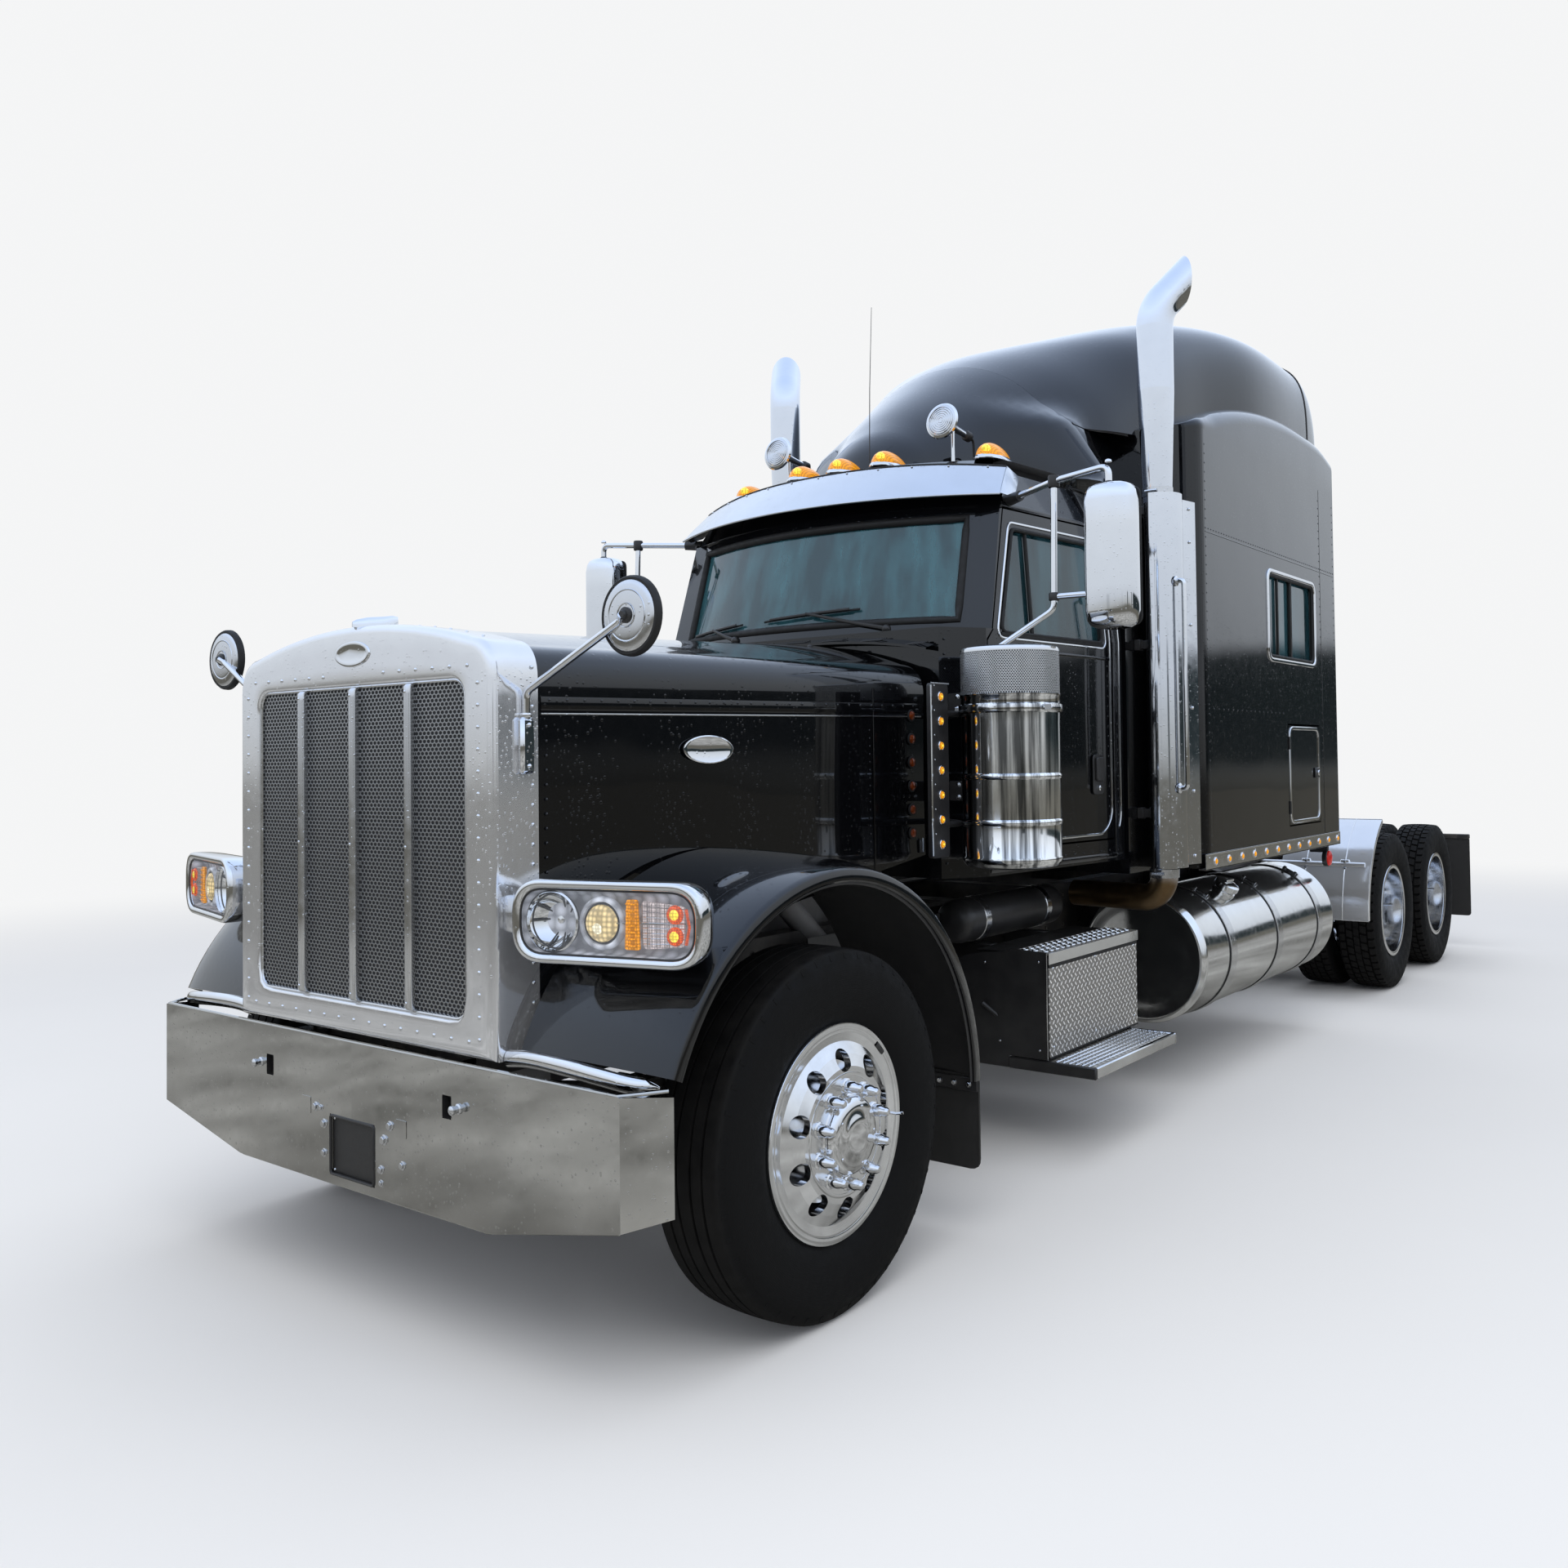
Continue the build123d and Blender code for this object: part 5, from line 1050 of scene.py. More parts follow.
for side, nm in SIDES:
    k = Kit(side)
    RR = 96
    # housing: bright bezel rolling into a body that tapers rearward
    body = [lamp_ring(200, 66, 55, -200, dz=12), lamp_ring(228, 84, 66, -165, dz=8), lamp_ring(270, 101, 84, -110, dz=3), lamp_ring(290, 111, 92, -70), lamp_ring(295, 113, RR, -40), lamp_ring(295, 113, RR, -12),
            lamp_ring(293, 111, RR - 2, -4), lamp_ring(288, 106, RR - 6, 0), lamp_ring(278, 96, RR - 14, -1), lamp_ring(271, 89, RR - 20, -6), lamp_ring(268, 86, RR - 22, -14)]
    k.skin(body, CHROME, caps=(1, 0), flip=True)
    k.skin([lamp_ring(268, 86, 74, -14), lamp_ring(262, 80, 70, -44), lamp_ring(246, 66, 58, -58)], REFLECTOR_GLOW, caps=(0, 1), flip=True)
    # lens
    lens_rings = [lamp_ring(268, 86, 74, -12), lamp_ring(258, 77, 66, -5), lamp_ring(220, 52, 44, -0.5), lamp_ring(120, 20, 18, 1)]
    k.skin(lens_rings, CLEAR, caps=(0, 1), flip=True)
    a = radians(14)
    U, Nn = Vector((cos(a), sin(a), 0)), Vector((sin(a), -cos(a), 0))
    O = V(1030, 78, 1245)

    def at(u, z, d):
        return O + U * (u / 1000.0) + Vector((0, 0, z / 1000.0)) + Nn * (d / 1000.0)
    # low-beam bowl, projector, amber block and two round lamps, from the inner end outward
    k.lathe([(80, -18), (76, -26), (60, -48), (34, -66), (14, -72), (13, -60), (10, -54), (0.05, -52)], at(-170, 0, 0), Nn, REFLECT, 40)
    k.lathe([(81, -20), (84, -13), (79, -10), (76, -18)], at(-170, 0, 0), Nn, CHROME, 40)
    k.lathe([(78, -30), (74, -27), (71, -30)], at(-170, 0, 0), Nn, BLACKBOX, 40)
    k.lathe([(72, -26), (70, -16), (64, -12), (58, -13), (55, -22)], at(-15, 0, 0), Nn, REFLECTOR_GLOW, 40)
    k.lathe([(56, -22), (54, -16), (51, -15), (49, -20)], at(-15, 0, 0), Nn, BLACKBOX, 36)
    k.lathe([(50, -18), (46, -11), (34, -6), (18, -3.5), (0.05, -3)], at(-15, 0, 0), Nn, WARM, 36)
    k.lathe([(17, -4.2), (10, -2.8), (0.05, -2.2)], at(-20, -10, 0), Nn, WARM_SPOT, 24)
    # black bars in the bowl, a painted reflection standing for its dark facets; the moulded bar across, and a gasket
    # round the lens
    for i in range(10):
        b0 = 2 * pi * i / 10
        p, q = at(-170 + 30 * cos(b0), 30 * sin(b0), -64), at(-170 + 72 * cos(b0), 72 * sin(b0), -31)
        if i % 3:
            k.tube([p, q], [1.5, 4.2], BLACKBOX, 6)
    k.tube([at(-90, 2, -20), at(40, 2, -16), at(250, 8, -18)], 3, CHROME, 6)
    rg = lamp_ring(269, 87, 75, -9)
    k.tube(rg + rg[:2], 3.2, BLACKBOX, 6, caps=False)
    for j in range(9):
        k.tube([at(112 + j * 13, -56, -15), at(112 + j * 13, 56, -15)], 0.9, REFLECT, 4)
    for j in range(8):
        k.tube([at(110, -49 + j * 14, -15), at(236, -44 + j * 12.6, -15)], 0.9, REFLECT, 4)
    k.tube([at(242, -46, -13), at(252, 0, -12), at(242, 46, -13)], 4, SIGNAL, 8)
    for j in range(7):
        # moulded ribs over the amber block
        k.tube([at(64, -54 + 18 * j, -9), at(84, -55 + 18 * j, -7.4), at(101, -54 + 18 * j, -9)], 2.6, AMBER, 6)
    amb = [at(u, z, -20) for u, z in rounded([(58, -66), (104, -66), (98, 66), (64, 66)], 8, 3)]
    k.prism(amb, Nn * 0.010, AMBER, 2)
    fro = [at(u, z, -24) for u, z in rounded([(112, -64), (236, -52), (236, 52), (106, 64)], 12, 3)]
    k.prism(fro, Nn * 0.008, FROST, 2)
    for z in (30, -26):
        k.lathe([(25, -16), (23, -11), (19, -9), (14, -8.5)], at(208, z, 0), Nn, SIGNAL, 24)
        k.lathe([(14, -9.5), (10, -6.5), (5, -5.5), (0.05, -5.2)], at(208, z, 0), Nn, AMBER_SPOT, 24)
    # bracket to the shell
    k.chunk([V(664, 88, 1190), V(800, 96, 1200), V(800, 172, 1200), V(664, 172, 1190), V(664, 88, 1300), V(800, 96, 1290), V(800, 172, 1290), V(664, 172, 1300)], CHROME, 8)
    k.done(f"headlamp_pod_{nm}", "hood", ["headlamps"] if side > 0 else [], angle=45)

# ================================================================== fender mirrors
for side, nm in SIDES:
    k = Kit(side)
    c = V(1051, 175, 2063)
    k.lathe([(0.05, -27), (30, -26.5), (60, -25), (84, -22), (95, -18), (99, -14), (101, -8), (101, 0)], c, (0, 1, 0), STAINLESS, 48)
    k.lathe([(97, -17), (104, -17), (109, -10), (110, 2), (106, 6), (100, 6), (98, 2)], c, (0, 1, 0), SEAL, 48)
    k.lathe([(34, -26.8), (33, -28.6), (30, -27.0)], c, (0, 1, 0), STAINLESS, 40)
    k.lathe([(99, 2), (70, 3.5), (0.05, 4)], c, (0, 1, 0), MIRROR, 48)
    k.lathe([(0.05, -44), (10, -44), (13, -40), (13, -34), (22, -31), (22, -25)], c, (0, 1, 0), BLACKBOX, 20)
    k.lathe([(72, -23.6), (70, -25.6), (67, -24.4)], c, (0, 1, 0), STAINLESS, 40)
    arm = bent([V(676, 120, 1790), V(678, 120, 1872), V(1030, 150, 2050), V(1048, 136, 2063)], 34)
    k.tube(arm, 11, CHROME, 12)
    k.box(664, 690, 95, 145, 1640, 1800, CHROME, 9)
    for z in (1662, 1778):
        k.dome(V(690, 120, z), (1, 0, 0), 7, 5, CHROME)
    k.lathe([(15, -6), (17, 0), (15, 6)], V(676, 120, 1806), (0, 0, 1), CHROME, 16)
    k.done(f"fender_mirror_{nm}", "hood", ["fender_mirrors"] if side > 0 else [])

# ================================================================== cab
def screen(u, v, out=0.0):
    """A point on the windscreen: u across from -1 to 1, v up from 0 to 1."""
    half = 760.0 - 19.0 * v
    sm, se = 2142.0 + 124.0 * v, 2322.0 + 119.0 * v
    return V(u * half, sm + (se - sm) * u * u - out * 0.95, 2241.0 + 448.0 * v + out * 0.26)


def side_x(s, z, out=0.0):
    """Half width of the cab's side at a station and height."""
    if z <= 2185:
        return 905.0 + 100.0 * (s - 2290.0) / (3365.0 - 2290.0) + out
    t = (z - 2200.0) / 540.0
    sp, hp, hr = 2335.0 + 145.0 * t, 905.0 - 35.0 * t, 1005.0 - 40.0 * t
    return hp + (hr - hp) * (s - sp) / (3365.0 - sp) + out


def on_side(s, z, out=0.0):
    return V(side_x(s, z, out), s, z)


paint_nodes("cab_front cab_sides cab_back cab_roof door_left door_right luggage_door_left luggage_door_right sleeper_sides sleeper_ends", PAINT)
paint_nodes("windshield", GLASS)
paint_nodes("door_glass_left door_glass_right sleeper_windows", TINT)
paint_nodes("dashboard", TRIM)
paint_nodes("floors", MAT)
paint_nodes("frame_rails crossmembers", RAIL)
paint_nodes("front_axle drive_axles suspension knuckle_left knuckle_right tie_rod fifth_wheel_base", IRON)
paint_nodes("fifth_wheel", GREASE)
paint_nodes("powertrain", CAST)
paint_nodes("radiator", CORE)
paint_nodes("bumper", BUMPER)
paint_nodes("mudguards", POLISHED)

def stack_metal():
    """Bright pipe, browned by heat low down where it leaves the chassis."""
    g = G("stack_chrome")
    x, y, z = g.xyz()
    f = dirt(g, 0.9, 0.1, 0.15)
    hot = g.span(g.math("ADD", z, g.math("MULTIPLY", g.noise(6.0, 5.0), 0.10)), 1.12, 1.20, 1.0, 0.0, True)
    col = g.mix(g.noise(9.0, 5.0), (0.76, 0.78, 0.82), (0.68, 0.70, 0.74))
    col = g.mix(f, col, (0.30, 0.28, 0.25))
    col = g.mix(hot, col, g.mix(g.noise(14.0, 5.0), (0.10, 0.065, 0.035), (0.26, 0.17, 0.085)))
    rough = g.math("ADD", g.span(g.noise(24.0, 6.0), 0.3, 0.72, 0.04, 0.12), g.math("MULTIPLY", hot, 0.28), clamp=True)
    b = g.bump(g.noise(1.6, 1.0), 0.05, 0.05)
    b = g.bump(drops(g, 75.0), 0.25, 0.0010, b)
    return g.set(base=col, metal=1.0, rough=rough, normal=b)


paint_nodes("exhaust_stacks", stack_metal())

# windscreen rubber with a thin bead round it
k = Kit()
loop = [(-1 + 2 * i / 24, 0.0) for i in range(25)] + [(1, j / 8) for j in range(1, 9)] + [(1 - 2 * i / 24, 1.0) for i in range(1, 25)] + [(-1, 1 - j / 8) for j in range(1, 8)]
pts = [screen(u * 0.997, 0.006 + v * 0.988, 6) for u, v in loop]
pts = pts + [pts[0], pts[1]]
k.tube(pts, 19, SEAL, 10, caps=False, squash=1.0)
pts = [screen(u * 1.012, v * 1.03 - 0.015, 17) for u, v in loop]
k.tube(pts + [pts[0], pts[1]], 4.0, SEAL, 8, caps=False)
k.done("windscreen_seal", "chassis")

# wipers: arm, blade frame and rubber
k = Kit()
for px, pz, b0, b1, v0, v1 in ((480, 2212, -150, 350, 0.10, 0.15), (-330, 2212, -715, -300, 0.04, 0.10)):
    u0, u1 = b0 / 758.0, b1 / 758.0
    blade = [screen(u0 + (u1 - u0) * i / 12, v0 + (v1 - v0) * i / 12, 14) for i in range(13)]
    k.tube(blade, 5, SEAL, 6)
    k.tube([q + Vector((0, -0.012, 0.004)) for q in blade[1:-1]], 6, BLACKBOX, 6, squash=0.5)
    mid = blade[6] + Vector((0, -0.022, 0.006))
    pv = screen(px / 760.0, -0.06, 20)
    k.lathe([(20, -14), (20, 0), (15, 10), (8, 15), (0.05, 16)], pv, (0, -0.95, 0.3), BLACKBOX, 16)
    k.tube([pv + Vector((0, -0.008, 0.002)), pv.lerp(mid, 0.3) + Vector((0, -0.014, 0)), mid], [10, 8, 6], BLACKBOX, 8, squash=0.6)
k.done("wipers", "chassis")

# cowl: black top between hood and glass
k = Kit()
top = []
for s, z in ((2046, 2168), (2075, 2176), (2105, 2186)):
    top.append([V(x, s, z - 60.0 * (abs(x) / 790.0) ** 3) for x in [-770 + i * 64.2 for i in range(25)]])
k.skin(top, PAINT, closed=False)
k.skin([top[0], [p - Vector((0, 0, 0.010)) for p in top[0]]], PAINT, closed=False, flip=False)
for x in [-700 + i * 200 for i in range(8)]:
    # louvres that let air into the cowl
    for j in range(3):
        k.strip([V(x - 55 + 27 * i, 2056 + j * 16, 2174 + j * 4 - 60.0 * (abs(x) / 790.0) ** 3) for i in range(5)], Vector((0, -0.4, 1)), 9, 3, BLACKBOX)
k.done("cowl_top", "chassis")

# ------------------------------------------------------------------ visor
k = Kit()


def visor_pt(u, v, off=0.0):
    lo = (905.0 * u, 2168.0 + 252.0 * abs(u) ** 2.1, 2778.0 - 6.0 * u * u)
    hi = (858.0 * u, 2372.0 + 190.0 * abs(u) ** 2.2, 2962.0 - 46.0 * abs(u) ** 2.5)
    x, s, z = (a + (b - a) * v for a, b in zip(lo, hi))
    z += 3.0 * sin(pi * v)
    s -= 2.0 * sin(pi * v)
    return V(x, s + off * 0.55, z - off * 0.8)


U = [-1 + 2 * i / 48 for i in range(49)]
rows = [[visor_pt(u, v) for u in U] for v in (0, 0.02, 0.12, 0.3, 0.5, 0.7, 0.88, 1.0)]
k.skin(rows, STAINLESS, closed=False)
und = [[visor_pt(u, v, 5) for u in U] for v in (0, 0.02, 0.12, 0.3, 0.5, 0.7, 0.88, 1.0)]
k.skin(und, BLACKBOX, closed=False, flip=True)
k.tube([visor_pt(u, 0.0, 2) for u in U], 5, STAINLESS, 8)
k.tube([visor_pt(u, 1.0, 2) for u in U], 6, SEAL, 8)
for e in (0, -1):
    k.skin([[r[e] for r in rows], [r[e] for r in und]], STAINLESS, closed=False, flip=(e == 0))
for sgn in (1, -1):
    # end tab that turns back to the pillar
    tab = [visor_pt(sgn * 1.0, 0.0), visor_pt(sgn * 1.0, 1.0), V(sgn * 872, 2640, 2880), V(sgn * 900, 2560, 2800), V(sgn * 903, 2480, 2772)]
    k.prism(tab, Vector((sgn * 0.004, 0, 0)), STAINLESS, 0.8)
    for s, z in ((2470, 2800), (2590, 2866)):
        k.dome(V(sgn * 898 - sgn * (z - 2772) * 0.2, s, z), (sgn, 0, 0), 6, 3, CHROME)
for i in range(11):
    u = -0.92 + i * 0.184
    k.dome(visor_pt(u, 0.93) + Vector((0, -0.001, 0.002)), (0, -0.4, 0.9), 5, 3, CHROME)
# sunshade brackets seen from below
for u in (-0.62, 0.0, 0.62):
    k.tube([visor_pt(u, 0.25, 8), visor_pt(u, 0.9, 30)], 7, BLACKBOX, 8)
k.done("sun_visor", "chassis", ["visor"], angle=50)

# ------------------------------------------------------------------ roof: lamps, horns, aerial
k = Kit()
for x, s, z in ((0, 2545, 2998), (240, 2553, 2998), (-240, 2553, 2998), (700, 2702, 2991), (-700, 2702, 2991)):
    def drop(t, w, h, y0, y1, zb, lift=0.0):
        """One upright section of a teardrop, blunt ahead and drawn out behind."""
        q = sqrt(max(0.0, 1 - (1 - t / 0.34) ** 2)) if t < 0.34 else cos(pi / 2 * ((t - 0.34) / 0.66)) ** 0.75
        q = max(q, 0.04)
        y = y0 + (y1 - y0) * t
        zz = zb + 0.012 * (y - y0)
        return [V(x + w * q * cos(a), s + y, zz + lift + (h * q ** 0.9 * sin(a) if sin(a) > 0 else 5 * sin(a))) for a in [2 * pi * i / 22 for i in range(22)]]
    k.skin([drop(i / 18, 62, 36, -106, 250, z, -6) for i in range(19)], CHROME, caps=(1, 1), flip=True)
    k.skin([drop(i / 18, 54, 74, -94, 186, z, 0) for i in range(19)], AMBER_LIT, caps=(1, 1), flip=True)
    k.lathe([(21, -7), (17, 3), (8, 8), (0.05, 9)], V(x + 20, s - 74, z + 40), (0.38, -0.82, 0.42), AMBER_SPOT, 18)
k.done("roof_lamps", "chassis", angle=60)

k = Kit()
for sgn in (1, -1):
    c = V(sgn * 480, 2656, 3191)
    k.lathe([(0.05, -15), (22, -15.5), (52, -14), (70, -12), (74, -10)], c, (0, 1, -0.12), STAINLESS, 44)
    k.lathe([(74, -10), (80, -8), (83.5, 0), (80, 7), (58, 22), (36, 40), (24, 62), (19, 90), (16, 140), (14, 200)], c, (0, 1, -0.12), CHROME, 40)
    for r in (12, 22, 32, 42, 52, 62):
        k.lathe([(r - 2, -14.0), (r, -16.6), (r + 2, -14.0)], c, (0, 1, -0.12), STAINLESS, 40)
    k.lathe([(14, 196), (22, 198), (24, 204), (24, 232), (18, 240), (0.05, 242)], c, (0, 1, -0.12), BLACKBOX, 20)
    k.tube([V(sgn * 480, 2745, 3176), V(sgn * 480, 2745, 3100), V(sgn * 480, 2745, 2989)], [9, 8, 10], CHROME, 12)
    k.lathe([(30, 0), (30, 4), (22, 9), (12, 12), (11, 16)], V(sgn * 480, 2745, 2989), (0, 0, 1), CHROME, 24)
    k.tube(bent([V(sgn * 480, 2880, 3164), V(sgn * 480, 2925, 3158), V(sgn * 486, 2930, 2992)], 30), 6, SEAL, 8)
k.done("roof_horns", "chassis", ["air_horns"])

k = Kit()
k.lathe([(17, 0), (16, 5), (10, 12), (9, 30), (5, 42), (3, 50)], V(100, 2620, 2989), (0, 0, 1), BLACKBOX, 16)
k.tube([V(100, 2620, 3035), V(101, 2628, 3400), V(103, 2648, 3790)], [2.6, 1.9, 1.2], BLACKBOX, 6)
k.done("roof_aerial", "chassis")

# ------------------------------------------------------------------ door trim, glass frames, handles
for side, nm in SIDES:
    k = Kit(side)
    win = [(2400, 2190), (3190, 2190), (3190, 2640), (2545, 2640)]
    wr = rounded(win, [30, 34, 40, 30], 5)
    edge = [on_side(s, z, 1) for s, z in wr]
    k.tube(edge + edge[:2], 9, SEAL, 8, caps=False)
    br = rounded([(2368, 2166), (3222, 2166), (3222, 2668), (2527, 2668)], [36, 40, 46, 36], 5)
    e2 = [on_side(s, z, 1.0) for s, z in br]
    k.strip(e2 + e2[:1], Vector((1, 0, 0.05)), 11, 4, CHROME)
    # fixed quarter pane's post and the wind-down pane's rail
    k.tube([on_side(2640, 2196, -8), on_side(2652, 2634, -8)], 9, SEAL, 8)
    k.strip([on_side(s, 2182, 1.5) for s in (2395, 2600, 2900, 3195)], Vector((1, 0, 0)), 16, 5, SEAL)
    # bright shut-line strip, down the rear edge and forward along the bottom
    strip = rounded([(3258, 2690), (3258, 1318), (2900, 1318), (2330, 1318)], [0, 120, 0, 0], 8)
    strip = [q for q in strip]
    pts = [on_side(3258, 2690 - i * 40, 1) for i in range(32)]
    pts += [on_side(s, z, 1) for s, z in arc_pts(lambda a: (3138 + 120 * cos(a), 1438 - 120 * sin(a)), 0, 90, 8)]
    pts += [on_side(3138 - i * 60, 1318, 1) for i in range(1, 13)]
    k.strip(pts, Vector((1, 0, 0)), 12, 4, CHROME)
    # belt and hinges
    k.strip([on_side(2312 + i * 95, 2120, 0.5) for i in range(11)], Vector((1, 0, 0)), 16, 2.5, PAINT)
    for z in (1450, 1760, 2060):
        k.tube([on_side(2306, z - 45, 6), on_side(2306, z + 45, 6)], 9, PAINT, 10)
        k.box(side_x(2320, z) - 1, side_x(2320, z) + 7, 2312, 2380, z - 30, z + 30, PAINT, 3)
    # paddle handle in a dished plate, with its lock
    hx = side_x(3140, 1590)
    k.prism([V(hx - 1, s, z) for s, z in rounded([(3080, 1500), (3190, 1500), (3190, 1680), (3080, 1680)], 24, 4)], Vector((0.007, 0, 0)), BLACKBOX, 2)
    k.prism([V(hx + 6, s, z) for s, z in rounded([(3096, 1560), (3176, 1560), (3176, 1668), (3096, 1668)], 16, 4)], Vector((0.012, 0, 0)), BLACKBOX, 3)
    k.lathe([(13, 0), (13, 7), (10, 9), (0.05, 9)], V(hx + 5, 3136, 1528), (1, 0, 0), CHROME, 16)
    # a row of rivets near the rear edge
    for i in range(17):
        z = 1350 + i * 46
        k.dome(on_side(3292 - 60, z, 0.5), (1, 0, 0), 4, 2.2, PAINT)
    k.done(f"door_trim_{nm}", f"door_{nm}")
    # inside of the door: padded card, arm rest and lever
    k = Kit(side)
    k.prism([V(side_x(2800, 1700) - 57 + (s - 2800) * 0.093, s, z) for s, z in rounded([(2400, 1340), (3200, 1340), (3200, 2120), (2400, 2120)], 40, 4)], Vector((-0.010, -0.0009, 0)), VINYL, 3)
    x0 = side_x(2800, 1700) - 68
    k.chunk([V(x0 - 60, 2650, 1795), V(x0, 2650, 1795), V(x0 + 28, 3080, 1795), V(x0 - 32, 3080, 1795), V(x0 - 66, 2650, 1850), V(x0, 2650, 1850), V(x0 + 28, 3080, 1850), V(x0 - 38, 3080, 1850)], VINYL, 14)
    k.tube(bent([V(x0 - 2, 2560, 1930), V(x0 - 26, 2570, 1930), V(x0 - 20, 2670, 1930), V(x0 + 6, 2680, 1930)], 12), 8, CHROME, 8)
    k.done(f"door_card_{nm}", f"door_{nm}")

k = Kit()
# cab's own trim: strip beside the sleeper gap, rivet rows, drip rail, sill
pts = [on_side(3338, 2640 - i * 40, 1) for i in range(31)]
pts += [on_side(s, z, 1) for s, z in arc_pts(lambda a: (3298 + 40 * cos(a), 1440 - 110 * sin(a)), 0, 60, 6)]
k.strip(pts, Vector((1, 0, 0)), 12, 4, CHROME)
for i in range(22):
    k.dome(on_side(3312, 1340 + i * 60, 0.5), (1, 0, 0), 4.5, 2.5, PAINT)
k.strip([V(872 + (935 - 872) * (s - 2490) / 875.0 + 2, s, 2742) for s in [2480 + i * 88 for i in range(11)]], Vector((1, 0, 0.2)), 22, 9, PAINT)
k.strip([on_side(s, 1215, 0.5) for s in [2300 + i * 105 for i in range(11)]], Vector((1, 0, 0)), 26, 3, PAINT)
for i in range(14):
    k.dome(on_side(2330 + i * 75, 1240, 0.5), (1, 0, 0), 4.5, 2.5, PAINT)
# corner panel ahead of the door: rivets
for i in range(16):
    z = 1250 + i * 60
    k.dome(V(800 + 0.7 * 10, 2128, z), (0.84, -0.54, 0), 4.5, 2.5, PAINT)
k.done("cab_side_trim", "chassis", both=True)

# ------------------------------------------------------------------ mirrors
k = Kit()
def shell_ring2(z, q):
    base = [(1322, 2352), (1345, 2318), (1430, 2300), (1505, 2318), (1527, 2356), (1524, 2404), (1500, 2430), (1350, 2432), (1328, 2410)]
    sm = smooth_path([Vector((x, s, 0)) for x, s in base], 4, closed=True)
    cx, cy = 1424.0, 2376.0
    return [V(cx + (p.x - cx) * q, cy + (p.y - cy) * (q if p.y < cy else max(q, 0.86)), z) for p in sm]


zs = [(2166, 0.30), (2170, 0.62), (2180, 0.82), (2200, 0.94), (2235, 1.0), (2330, 1.0), (2450, 1.0), (2570, 1.0), (2665, 1.0), (2700, 0.94), (2720, 0.82), (2730, 0.62), (2734, 0.30)]
k.skin([shell_ring2(z, q) for z, q in zs], CHROME, caps=(1, 1))
gl = [V(x, 2434, z) for x, z in rounded([(1342, 2345), (1508, 2345), (1508, 2708), (1342, 2708)], 24, 5)]
k.prism(gl, Vector((0, 0.004, 0)), MIRROR, 1)
gl = [V(x, 2434, z) for x, z in rounded([(1342, 2196), (1508, 2196), (1508, 2328), (1342, 2328)], 24, 5)]
k.prism(gl, Vector((0, 0.004, 0)), MIRROR, 1)
fr = [V(x, 2434, z) for x, z in rounded([(1334, 2186), (1516, 2186), (1516, 2716), (1334, 2716)], 30, 5)]
k.tube(fr + fr[:2], 7, SEAL, 8, caps=False)
k.tube(bent([V(890, 2530, 2762), V(1180, 2375, 2775), V(1420, 2365, 2800), V(1420, 2365, 2722)], 40), 14, CHROME, 14)
k.tube(bent([V(1178, 2376, 2772), V(1178, 2360, 2260), V(925, 2262, 2085)], 52), 13, CHROME, 14)
k.tube([V(1178, 2362, 2310), V(1340, 2375, 2310)], 12, CHROME, 12)
k.tube([V(870, 2534, 2760), V(905, 2524, 2762), V(960, 2494, 2765)], [26, 24, 22], BLACKBOX, 14)
k.lathe([(22, -24), (24, -18), (24, 18), (22, 24)], V(1178, 2376, 2774), (0, 0, 1), BLACKBOX, 16)
k.lathe([(19, -16), (21, -12), (21, 12), (19, 16)], V(1178, 2362, 2310), (0, 0, 1), BLACKBOX, 16)
k.lathe([(24, -6), (24, 2), (16, 8), (12, 14)], V(1420, 2365, 2730), (0, 0, 1), BLACKBOX, 16)
k.dome(V(1420, 2365, 2817), (0, 0, 1), 14, 10, CHROME)
k.box(893, 934, 2244, 2274, 2046, 2114, BLACKBOX, 5)
for z in (2060, 2100):
    k.hexa(V(913, 2246, z), (0, -1, 0), 6, 5, STAINLESS)
k.done("door_mirrors", "chassis", ["mirrors"], both=True, angle=50)

